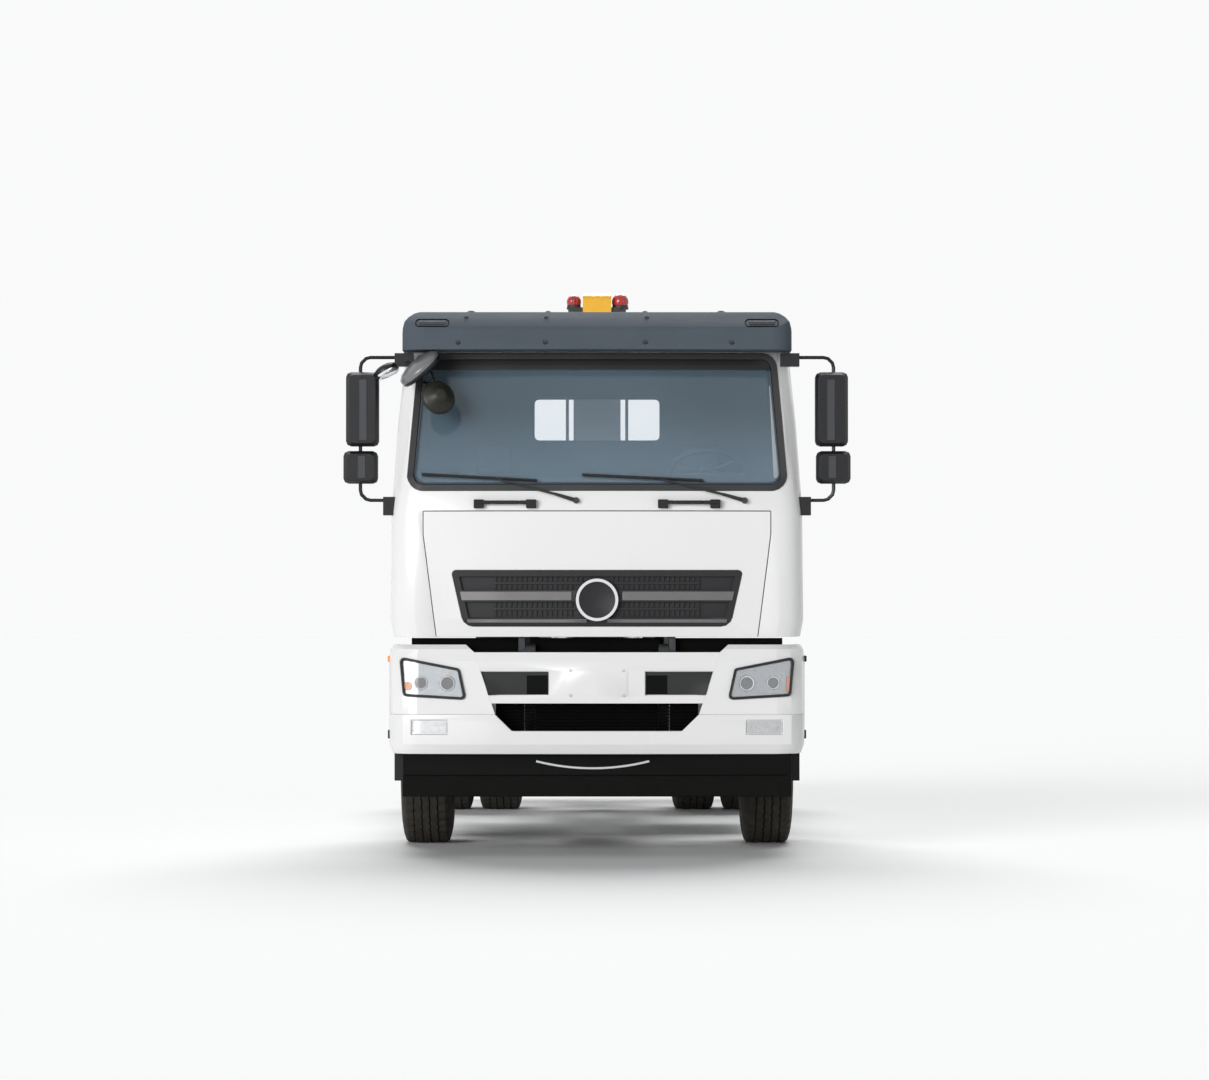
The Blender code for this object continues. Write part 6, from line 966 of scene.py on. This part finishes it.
# painted shade: near-black covers and slats stand for the shade inside the engine bay
for x_low, x_high in BAY_PARTS:
    block(bm, at(x_low, COVER_FRONT, 0.905), at(x_high, COVER_BACK, 1.284))
settle("bay_shade_cover", bm, painted_shade, "chassis", 0.002)
bm = bmesh.new()
for x_low, x_high in MOUTH_PARTS:
    block(bm, at(x_low, COVER_FRONT, 0.700), at(x_high, COVER_BACK, 0.900))
for index in range(SLAT_COUNT):
    z = SLAT_LOW + index * SLAT_PITCH
    reach = min(0.60, 0.50 + (z - 0.736) * 1.4)
    block(bm, at(-reach, 0.112, z), at(reach, 0.124, z + 0.006))
settle("lower_mesh", bm, painted_shade, "chassis", 0.001)
bm = bmesh.new()
arc = []
for step in range(STRIP_STEPS + 1):
    share = 2 * step / STRIP_STEPS - 1
    x = STRIP_LEFT + (STRIP_RIGHT - STRIP_LEFT) * step / STRIP_STEPS
    arc.append((x, STRIP_MIDDLE + (STRIP_END - STRIP_MIDDLE) * share ** 2))
strip(bm, skin_of("underrun_panel"), arc, 0.016, 0.010)
settle("step_strip", bm, aluminium, "chassis", 0.002)
print("bumper fitted")

# %% [markdown]
# ## Lamps
#
# A headlamp is a clear lens over a bright bowl. Seen from the front, what one notices is the
# sparkle of the reflector, two dark round projectors in bright rings, the dark rim and the amber
# indicator outside, which is round on the right side and a strip on the left. Each lower corner of
# the bumper also has a narrow lamp, and each side a marker and a small sensor.

# %% Headlamps, fog lamps and markers
FOG_CORNERS = box_corners(0.890, 1.090, 0.722, 0.792)
INDICATOR = ((1.118, 0.968), (1.136, 0.970), (1.142, 1.060), (1.124, 1.058))
PROJECTOR_RISE = 0.009
PROJECTOR_RING = ((0.80, 0), (0.86, 0.003), (0.98, 0.003), (1.04, 0))
SIDE_FACE = 1.236
PROJECTORS = ((0.884, 1.017, 0.044), (1.040, 1.020, 0.038))
LAMP_CORNERS = ((0.768, 0.920), (1.150, 0.942), (1.172, 1.173), (0.808, 1.102))
for word, side in SIDES:
    corners = [Vector((side * x, z)) for x, z in LAMP_CORNERS]
    centre = sum(corners, Vector((0, 0))) / 4
    inner = [tuple(corner.lerp(centre, 0.06)) for corner in corners]
    lamp = settle("headlamp_bowl_" + word, merged("headlamp_" + word), reflector, "chassis",
                  0.004)
    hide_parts("headlamp_" + word)
    bm = bmesh.new()
    patch(bm, bumper_skin, inner, 0.012, 0.010, 0.03)
    settle("headlamp_lens_" + word, bm, lens_clear, "chassis", 0.003)
    bm = bmesh.new()
    strip(bm, bumper_skin, spaced(rounded(inner, 0.02), 0.03, True), 0.018, 0.014, closed=True)
    settle("headlamp_rim_" + word, bm, charcoal, "chassis")
    bulbs, rings = bmesh.new(), bmesh.new()
    for x, z, radius in PROJECTORS:
        y = skin_y(bumper_skin, side * x, z)
        bar(bulbs, (side * x, y + 0.002, z), (side * x, y - PROJECTOR_RISE, z), radius, 32, radius * 0.86)
        section = [(radius * share, rise) for share, rise in PROJECTOR_RING]
        flat_ring(rings, side * x, y - PROJECTOR_RISE, z, section, 32)
    settle("headlamp_bulbs_" + word, bulbs, gunmetal, "chassis", 0.003)
    settle("headlamp_rings_" + word, rings, chrome, "chassis", smooth=40)
    bm = bmesh.new()
    if word == "right":
        y = skin_y(bumper_skin, side * 1.127, 1.005)
        bar(bm, (side * 1.115, y, 1.000), (side * 1.115, y - 0.0115, 1.000), 0.028, 28, 0.024)
    else:
        patch(bm, bumper_skin, [(side * x, z) for x, z in INDICATOR], 0.0112, 0.004, 0.03)
    settle("indicator_" + word, bm, lens_amber, "chassis", 0.002)
    fog = [(side * x, z) for x, z in FOG_CORNERS]
    bm = bmesh.new()
    patch(bm, bumper_skin, fog, 0.0015, 0.006, 0.03)
    settle("fog_lamp_" + word, bm, reflector, "chassis", 0.004)
    bm = bmesh.new()
    strip(bm, bumper_skin, spaced(rounded(fog, 0.012), 0.03, True), 0.010, 0.004, closed=True)
    settle("fog_lamp_rim_" + word, bm, aluminium, "chassis")
    # The marker on the vehicle's left is dark grey, not amber like the right one: painted shade on the side
    # away from the stronger light.
    bm = bmesh.new()
    block(bm, at(side * SIDE_FACE - 0.010, 0.22, 1.142), at(side * SIDE_FACE + 0.012, 0.29, 1.178))
    settle("side_marker_" + word, bm, lens_amber if word == "right" else vent_grey, "chassis",
           0.004)
    bm = bmesh.new()
    block(bm, at(side * SIDE_FACE - 0.010, 0.24, 0.684), at(side * SIDE_FACE + 0.010, 0.29, 0.736))
    settle("side_sensor_" + word, bm, seal, "chassis", 0.004)
print("front lamps lit by the room")

# %% [markdown]
# The hook carries two red lamps, each a ball cut flat on its foot, on a dark base. The rear bar's
# lamps are plain coloured lenses side by side: red, amber, red.

# %% Hook lamps and rear lamps
BALL_RADIUS = {"left": 0.054, "right": 0.047}
BALL_ACROSS, BALL_BEHIND, BALL_HEIGHT = 0.150, 2.334, 3.440
BASE_LOW, BASE_HIGH = 3.392, 3.424
REAR_LENSES = ((lens_red, 0.76, 0.93), (lens_amber, 0.94, 1.03), (lens_red, 1.04, 1.13))
for word, side in SIDES:
    radius = BALL_RADIUS[word]
    centre = at(side * BALL_ACROSS, BALL_BEHIND, BALL_HEIGHT)
    bm = bmesh.new()
    bmesh.ops.create_uvsphere(bm, u_segments=32, v_segments=20, radius=radius,
                              matrix=Matrix.Translation(centre))
    for vertex in bm.verts:
        vertex.co.z = max(vertex.co.z, BALL_HEIGHT - radius * 0.55)
    settle("hook_lamp_" + word, bm, lens_red, "hook_jib")
    bm = bmesh.new()
    bar(bm, (centre.x, centre.y, BASE_LOW), (centre.x, centre.y, BASE_HIGH), radius * 1.02, 28,
        radius * 0.9)
    settle("hook_lamp_base_" + word, bm, seal, "hook_jib", 0.003)
    for index, (finish, low, high) in enumerate(REAR_LENSES):
        x_low, x_high = sorted((side * low, side * high))
        bm = bmesh.new()
        block(bm, (x_low, cad_high.y - 0.022, 0.600), (x_high, cad_high.y - 0.010, 0.735))
        settle("rear_lens_%s_%d" % (word, index), bm, finish, "chassis", 0.004)
print("lamps on hook and rear bar")

# %% [markdown]
# ## Mirrors
#
# The two big mirrors on each side come from the solids. Behind each housing a silvered glass faces
# the driver, and a smoother grey band runs down its front.

# %% Glasses and bands of the big mirrors
MIRROR_GLASSES = ((1.300, 1.495, 2.424, 2.866), (1.306, 1.510, 2.202, 2.396))
GLASS_EDGE = 0.014
MIRROR_BANDS = ((1.392, 2.46, 2.82), (1.400, 2.235, 2.365))
for word, side in SIDES:
    glass_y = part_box("mirror_" + word)[1].y
    for index, (inner, outer, low, high) in enumerate(MIRROR_GLASSES):
        x_low, x_high = sorted((side * (inner + GLASS_EDGE), side * (outer - GLASS_EDGE)))
        bm = bmesh.new()
        block(bm, (x_low, glass_y - 0.002, low + GLASS_EDGE), (x_high, glass_y + 0.002, high - GLASS_EDGE))
        settle("mirror_glass_%s_%d" % (word, index), bm, silver, "cab", 0.001)
    housing = skin_of("mirror_" + word)
    bm = bmesh.new()
    for x, low, high in MIRROR_BANDS:
        strip(bm, housing, spaced(((side * x, low), (side * x, high)), 0.04), 0.052, 0.004)
    settle("mirror_band_" + word, bm, band_grey, "cab")
print("big mirrors glazed")

# %% [markdown]
# The vehicle's right side has three close-view mirrors more: a big saucer over the screen's
# corner, a small one over the door, and one that hangs in front of the screen on a forked arm.
# Each is a dish, a profile turned round its own axis and then leaned the way the mirror looks.

# %% Extra right-hand mirrors
DISH_STEPS = 32


def lean(degrees, axis):
    return Matrix.Rotation(math.radians(degrees), 3, axis)


def dish(bm, place, radius, profile, turn):
    """Turns a (share of radius, height) profile into a round dish."""
    rings = []
    for step in range(DISH_STEPS):
        angle = 2 * math.pi * step / DISH_STEPS
        rings.append([bm.verts.new(place + turn @ Vector((radius * share * math.cos(angle),
                                                          radius * share * math.sin(angle), height)))
                      for share, height in profile])
    for first, second in zip(rings, rings[1:] + rings[:1]):
        for index in range(len(profile) - 1):
            bm.faces.new((first[index], second[index], second[index + 1], first[index + 1]))
    bm.faces.new([ring[0] for ring in rings])
    bm.faces.new([ring[-1] for ring in rings])
    bmesh.ops.recalc_face_normals(bm, faces=bm.faces)


ARM_FOOT, SAUCER = at(-1.165, 0.235, 2.935), at(-1.045, 0.120, 2.880)
KERB, HANGING = at(-1.254, 0.235, 2.868), at(-0.940, 0.045, 2.706)
ARMS = ((ARM_FOOT, SAUCER, 0.013), (at(-1.030, 0.125, 2.800), at(-0.950, 0.070, 2.757), 0.011),
        (at(-0.985, 0.115, 2.862), at(-0.948, 0.070, 2.768), 0.009),
        (at(-1.165, 0.235, 2.925), at(-1.250, 0.235, 2.872), 0.012))
SAUCER_LEAN = lean(-42, "Y") @ lean(13, "X")
KERB_LEAN = lean(-28, "Y") @ lean(-8, "X")
HANGING_LEAN = lean(24, "Z") @ lean(72, "X")
SAUCER_RADIUS = 0.145
SAUCER_TOP = ((0.98, 0.002), (1.0, 0.010), (0.97, 0.026), (0.80, 0.044), (0.45, 0.056), (0.12, 0.060))
SAUCER_UNDER = ((0.98, 0.002), (0.99, -0.010), (0.92, -0.022), (0.40, -0.030), (0.10, -0.032))
KERB_SHELL = ((0.98, -0.004), (1.0, 0.004), (0.92, 0.024), (0.55, 0.040), (0.12, 0.044))
KERB_GLASS = ((0.98, -0.002), (0.97, -0.014), (0.80, -0.026), (0.10, -0.032))
HANGING_SHELL = ((0.97, -0.010), (1.0, -0.002), (0.98, 0.010), (0.84, 0.024), (0.52, 0.034), (0.44, 0.046),
                 (0.30, 0.058), (0.08, 0.062))

bm = bmesh.new()
for start, end, radius in ARMS:
    bar(bm, start, end, radius, 12)
block(bm, at(-1.195, 0.205, 2.905), at(-1.135, 0.262, 2.975))
settle("close_mirror_arms", bm, mirror_black, "cab", 0.003)
bm = bmesh.new()
dish(bm, SAUCER, SAUCER_RADIUS, SAUCER_TOP, SAUCER_LEAN)
settle("close_mirror_top", bm, saucer_grey, "cab", smooth=50)
bm = bmesh.new()
dish(bm, SAUCER, SAUCER_RADIUS, SAUCER_UNDER, SAUCER_LEAN)
dish(bm, KERB, 0.082, KERB_SHELL, KERB_LEAN)
settle("close_mirror_shells", bm, mirror_black, "cab", smooth=50)
bm = bmesh.new()
dish(bm, KERB, 0.080, KERB_GLASS, KERB_LEAN)
settle("kerb_mirror_glass", bm, silver, "cab", smooth=50)
bm = bmesh.new()
dish(bm, HANGING, 0.106, HANGING_SHELL, HANGING_LEAN)
settle("front_mirror", bm, olive_black, "cab", smooth=40)
print("mirrors hung")

# %% [markdown]
# ## Tyres
#
# A truck tyre is one rubber ring whose section is turned round the axle. The section here has four
# grooves in the tread and a plain sidewall with a bead ring. Every third turn step presses the
# shoulder blocks in, which cuts the tread without a single boolean, and the grooves sway a little.

# %% Turn the tyres
TYRE_RADIUS = 0.538
TYRE_WIDTH = 0.312
BEAD_RADIUS = 0.2862
TREAD_STEPS = 150
GROOVE = 0.013
SIDEWALL = ((0.735, BEAD_RADIUS), (0.76, BEAD_RADIUS + 0.018), (0.93, 0.330), (0.985, 0.366), (1, 0.400),
            (0.99, 0.436), (0.965, 0.462), (0.955, 0.470), (0.93, 0.490), (0.86, 0.522))
TREAD_SHARE = 0.76
TREAD_EDGES = (1, 0.66, 0.58, 0.24, 0.16)
SWAY, SWAYS = 0.004, 50


def tyre_section():
    """Points from the outer bead to the inner one, each with the part of the tyre it is on."""
    half = TYRE_WIDTH / 2
    deep = TYRE_RADIUS - GROOVE
    points = [(half * share, radius) for share, radius in SIDEWALL]
    edges = [half * TREAD_SHARE * share for share in TREAD_EDGES]
    points += [(edges[0], TYRE_RADIUS - 0.003), (edges[1], TYRE_RADIUS - 0.001), (edges[1] - 0.002, deep),
               (edges[2] + 0.002, deep), (edges[2], TYRE_RADIUS), (edges[3], TYRE_RADIUS),
               (edges[3] - 0.002, deep), (edges[4] + 0.002, deep), (edges[4], TYRE_RADIUS)]
    marks = ["side"] * 9 + ["shoulder", "block", "block", "groove", "groove", "rib", "rib", "groove",
                            "groove", "rib"]
    mirror = [(-along, radius) for along, radius in reversed(points)]
    return points + mirror, marks + marks[::-1]


def turned_tyre(name, across, along_y, body):
    section, marks = tyre_section()
    bm = bmesh.new()
    rings = []
    for step in range(TREAD_STEPS):
        angle = 2 * math.pi * step / TREAD_STEPS
        cut = step % 3 == 0
        ring = []
        for (offset, radius), mark in zip(section, marks):
            if cut and mark in ("block", "shoulder"):
                radius -= GROOVE * 0.7
            sway = SWAY * math.sin(angle * SWAYS) if mark in ("groove", "rib") else 0
            ring.append(bm.verts.new((across + offset + sway, along_y + radius * math.sin(angle),
                                      TYRE_RADIUS + radius * math.cos(angle))))
        rings.append(ring)
    for first, second in zip(rings, rings[1:] + rings[:1]):
        count = len(first)
        for index in range(count):
            after = (index + 1) % count
            bm.faces.new((first[index], second[index], second[after], first[after]))
    bmesh.ops.recalc_face_normals(bm, faces=bm.faces)
    tyre = settle(name + "_tread", bm, rubber, body, smooth=28)
    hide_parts(name)


for name in [row for row in frame["nodes"] if "tyre" in row]:
    low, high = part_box(name)
    turned_tyre(name, (low.x + high.x) / 2, (low.y + high.y) / 2, body_of[name])
print("tyres turned")

# %% [markdown]
# Ten six-sided nuts stand in a ring on each wheel's disc and turn with the wheel. The front disc
# bulges outwards and the rear one lies deep, so each has its own distance from the middle.

# %% Wheel nuts
NUT_COUNT = 10
NUT_STAND = 0.014
NUT_RINGS = (("front_rim_", 1.172, 0.150), ("rear_rims_", 0.914, 0.148))
for word, side in SIDES:
    for wheel, face, ring_radius in NUT_RINGS:
        low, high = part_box(wheel + word)
        middle = (low + high) / 2
        angles = [2 * math.pi * (step + 0.5) / NUT_COUNT for step in range(NUT_COUNT)]
        places = [(side * (face + NUT_STAND), middle.y + ring_radius * math.sin(angle),
                   middle.z + ring_radius * math.cos(angle))
                  for angle in angles]
        screws(wheel + word + "_nuts", places, [(side, 0, 0)] * NUT_COUNT, 0.017, 0.034, 6, chrome,
               body_of[wheel + word])
print("nuts on")

# %% [markdown]
# ## Cab inside
#
# Through the glass one sees the seats' backs and the rear window. A seat cushion is crowned, its
# sides pulled in between the corners, with a sewn channel down each side. Here each cushion is a
# finely cut box whose points are moved: its rims drop, its faces swell by a smooth bulge, and the
# seams press narrow grooves into them.

# %% A cushion
CUSHION_CUTS = 16
SIDE_PULL = 0.05
RIM_THICKNESS = 0.72
SEAM_OUT, SEAM_HALF_WIDTH, SEAM_DEPTH = 0.55, 0.05, 0.010


def cushion(name, low, high, bulge, lean_back=0.0, channels=2):
    low, high = Vector(low), Vector(high)
    centre, size = (low + high) / 2, (high - low) / 2
    bm = bmesh.new()
    bmesh.ops.create_cube(bm, size=2)
    bmesh.ops.subdivide_edges(bm, edges=bm.edges, cuts=CUSHION_CUTS, use_grid_fill=True)
    thin = min(range(3), key=lambda axis: size[axis])
    wide, long = 0, 3 - thin
    seams = [-SEAM_OUT + 2 * SEAM_OUT * channel / max(1, channels - 1) for channel in range(channels)]
    for vertex in bm.verts:
        u = vertex.co.copy()
        place = Vector([u[axis] * size[axis] for axis in range(3)])
        for axis, other in ((wide, long), (long, wide)):
            if abs(u[axis]) > 0.98:
                place[axis] *= 1 - SIDE_PULL * (1 - abs(u[other]) ** 2)
        edge = min(1, max(abs(u[wide]), abs(u[long])))
        place[thin] *= RIM_THICKNESS + (1 - RIM_THICKNESS) * (1 - edge ** 6)
        if abs(u[thin]) > 0.5:
            crown = (1 - abs(u[wide]) ** 4) * (1 - abs(u[long]) ** 4)
            grooves = [SEAM_DEPTH * math.exp(-((u[wide] - seam) / SEAM_HALF_WIDTH) ** 2) for seam in seams]
            place[thin] += math.copysign(1, u[thin]) * (bulge * (crown - 0.9) - sum(grooves))
        place.y += lean_back * (place.z + size.z)
        vertex.co = centre + place
    piece = settle(name, bm, cloth, "cab", smooth=60)
    return piece


print("cushion ready")

# %% [markdown]
# A seat is a base, a leaning back and a head rest on two thin rods, over a plain stand. Behind
# the rear window's glass a simple guard of bars protects it from the load.

# %% Seats and window guard
SEAT_TOP = 1.84
GUARD_FRONT, GUARD_BACK = 2.02, 2.034
for word, side in SIDES:
    low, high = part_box("seat_" + word)
    middle = (low.x + high.x) / 2
    cushion("seat_base_" + word, (low.x, low.y, SEAT_TOP - 0.15), (high.x, high.y - 0.15, SEAT_TOP), 0.018)
    cushion("seat_back_" + word, (low.x + 0.01, high.y - 0.235, SEAT_TOP - 0.02),
            (high.x - 0.01, high.y - 0.120, high.z - 0.16), 0.016, 0.11)
    cushion("seat_head_" + word, (low.x + 0.12, high.y - 0.150, high.z - 0.17),
            (high.x - 0.12, high.y - 0.040, high.z), 0.014, 0.02, 0)
    bm = bmesh.new()
    block(bm, (low.x + 0.03, low.y + 0.06, low.z), (high.x - 0.03, high.y - 0.22, low.z + 0.20))
    block(bm, (low.x + 0.06, low.y + 0.10, low.z + 0.19), (high.x - 0.06, high.y - 0.26, SEAT_TOP - 0.13))
    for offset in (-0.07, 0.07):
        bar(bm, (middle + offset, high.y - 0.125, high.z - 0.24),
            (middle + offset, high.y - 0.095, high.z - 0.12), 0.007, 10)
    stand = settle("seat_stand_" + word, bm, trim, "cab", 0.006)
    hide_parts("seat_" + word)
bm = bmesh.new()
for x in (-0.19, 0.19):
    block(bm, at(x - 0.010, GUARD_FRONT, 2.44), at(x + 0.010, GUARD_BACK, 2.88))
for z in (2.45, 2.86):
    block(bm, at(-0.45, GUARD_FRONT, z - 0.01), at(0.45, GUARD_BACK, z + 0.01))
settle("window_guard", bm, seal, "cab", 0.003)
print("seats in")

# %% [markdown]
# ## Frame bolts
#
# Rows of bolt heads along the rails and hoist fix everything to the frame. They are small, but
# they give the eye the scale of the chassis from the side and from below. Two rows run along each
# rail, left out where brackets cover it, and one along the hoist's subframe.

# %% Bolts along the rails
RAIL_FACE = 0.4305
RAIL_START, RAIL_PITCH, RAIL_COUNT = 2.56, 0.13, 34
RAIL_ROWS = (0.78, 0.95)
RAIL_COVERED = ((4.70, 4.86), (6.1, 6.3))
HOIST_START, HOIST_PITCH, HOIST_COUNT, HOIST_ROW = 2.6, 0.30, 14, 1.06


def outwards(places):
    return [(1 if place[0] > 0 else -1, 0, 0) for place in places]


distances = [RAIL_START + index * RAIL_PITCH for index in range(RAIL_COUNT)]
distances = [distance for distance in distances if not any(low < distance < high for low,
                                                           high in RAIL_COVERED)]
places = [at(side * RAIL_FACE, distance, z) for side in (1,
                                                         -1) for distance in distances for z in RAIL_ROWS]
screws("rail_bolts", places, outwards(places), 0.013, 0.012, 6, frame_black, "chassis")
distances = [HOIST_START + index * HOIST_PITCH for index in range(HOIST_COUNT)]
places = [at(side * RAIL_FACE, distance, HOIST_ROW) for side in (1, -1) for distance in distances]
screws("hoist_bolts", places, outwards(places), 0.014, 0.014, 6, aluminium, "chassis")

# %% [markdown]
# ## Floor and light
#
# The photograph is a product picture: a nearly white floor that runs into a nearly white
# background, with one soft shadow under the truck. The world shows the background colour to the
# camera, through glass and in reflections, and only a faint fill to everything else. The floor is
# a plain diffuse plane that runs to the horizon. It looks a little paler to those same rays than
# the light it sends back to the truck, so that it meets the background with no lamp being raised.

# %% Background and floor
BACKGROUND = (0.945, 0.952, 0.948, 1)
SKY = (0.93, 0.96, 1.0, 1)
SKY_STRENGTH = 0.12
FLOOR_COLOUR = (0.85, 0.853, 0.85, 1)
FLOOR_SEEN = (0.978, 0.982, 0.978, 1)
FLOOR_REACH = 400


def seen_rays(tree):
    """1 for rays from the camera, through glass or off gloss, 0 for rays that carry light."""
    rays = node(tree, "ShaderNodeLightPath")
    direct = combined(tree, "MAXIMUM", rays.outputs["Is Camera Ray"], rays.outputs["Is Transmission Ray"])
    return combined(tree, "MAXIMUM", direct, rays.outputs["Is Glossy Ray"])


world = bpy.data.worlds.new("studio")
bpy.context.scene.world = world
world.use_nodes = True
tree = world.node_tree
tree.nodes.clear()
seen = node(tree, "ShaderNodeBackground", Color=BACKGROUND, Strength=1.0)
fill = node(tree, "ShaderNodeBackground", Color=SKY, Strength=SKY_STRENGTH)
out = node(tree, "ShaderNodeOutputWorld")
tree.links.new(layered(tree, seen_rays(tree), fill, seen).outputs[0], out.inputs["Surface"])

floor_finish = bpy.data.materials.new("studio_floor")
floor_finish.use_nodes = True
tree = floor_finish.node_tree
tree.nodes.clear()
diffuse = node(tree, "ShaderNodeBsdfDiffuse")
tree.links.new(blended(tree, seen_rays(tree), FLOOR_COLOUR, FLOOR_SEEN), diffuse.inputs["Color"])
out = node(tree, "ShaderNodeOutputMaterial")
tree.links.new(diffuse.outputs[0], out.inputs["Surface"])
floor_mesh = bpy.data.meshes.new("floor")
corners = [(x, y, 0) for x, y in box_corners(-FLOOR_REACH, FLOOR_REACH, -FLOOR_REACH, FLOOR_REACH)]
floor_mesh.from_pydata(corners, [], [(0, 1, 2, 3)])
floor_mesh.materials.append(floor_finish)
floor = bpy.data.objects.new("floor", floor_mesh)
bpy.context.collection.objects.link(floor)
floor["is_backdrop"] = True
print("floor laid")

# %% [markdown]
# Soft studio lamps stand close and would light the floor unevenly, which shows against an even
# background. Suns with a very wide disc are as soft and light the whole floor alike. One high
# behind the truck throws the shadow towards us, and two low ones light its front, the stronger
# from the picture's left.

# %% Lamps
SUN_DISTANCE = 12


def sun(name, azimuth, elevation, spread, strength):
    """A soft distant light; azimuth 0 shines from in front, 90 from the vehicle's left."""
    light = bpy.data.lights.new(name, "SUN")
    light.angle = math.radians(spread)
    light.energy = strength
    turn, rise = math.radians(azimuth), math.radians(elevation)
    towards = Vector((math.sin(turn) * math.cos(rise), -math.cos(turn) * math.cos(rise), math.sin(rise)))
    made = bpy.data.objects.new(name, light)
    made.rotation_mode = "QUATERNION"
    made.rotation_quaternion = towards.to_track_quat("Z", "Y")
    made.location = towards * SUN_DISTANCE
    bpy.context.collection.objects.link(made)


sun("front_left", -32, 8, 34, 2.82)
sun("front_right", 40, 9, 34, 0.14)
sun("overhead", 180, 50, 48, 2.92)
print("studio ready")

# %% [markdown]
# ## Finish
#
# The visual box of the dressed truck is printed.

# %% Print the visual box
low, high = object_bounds()
print("visual box", [round(value, 3) for value in (*low, *high)])
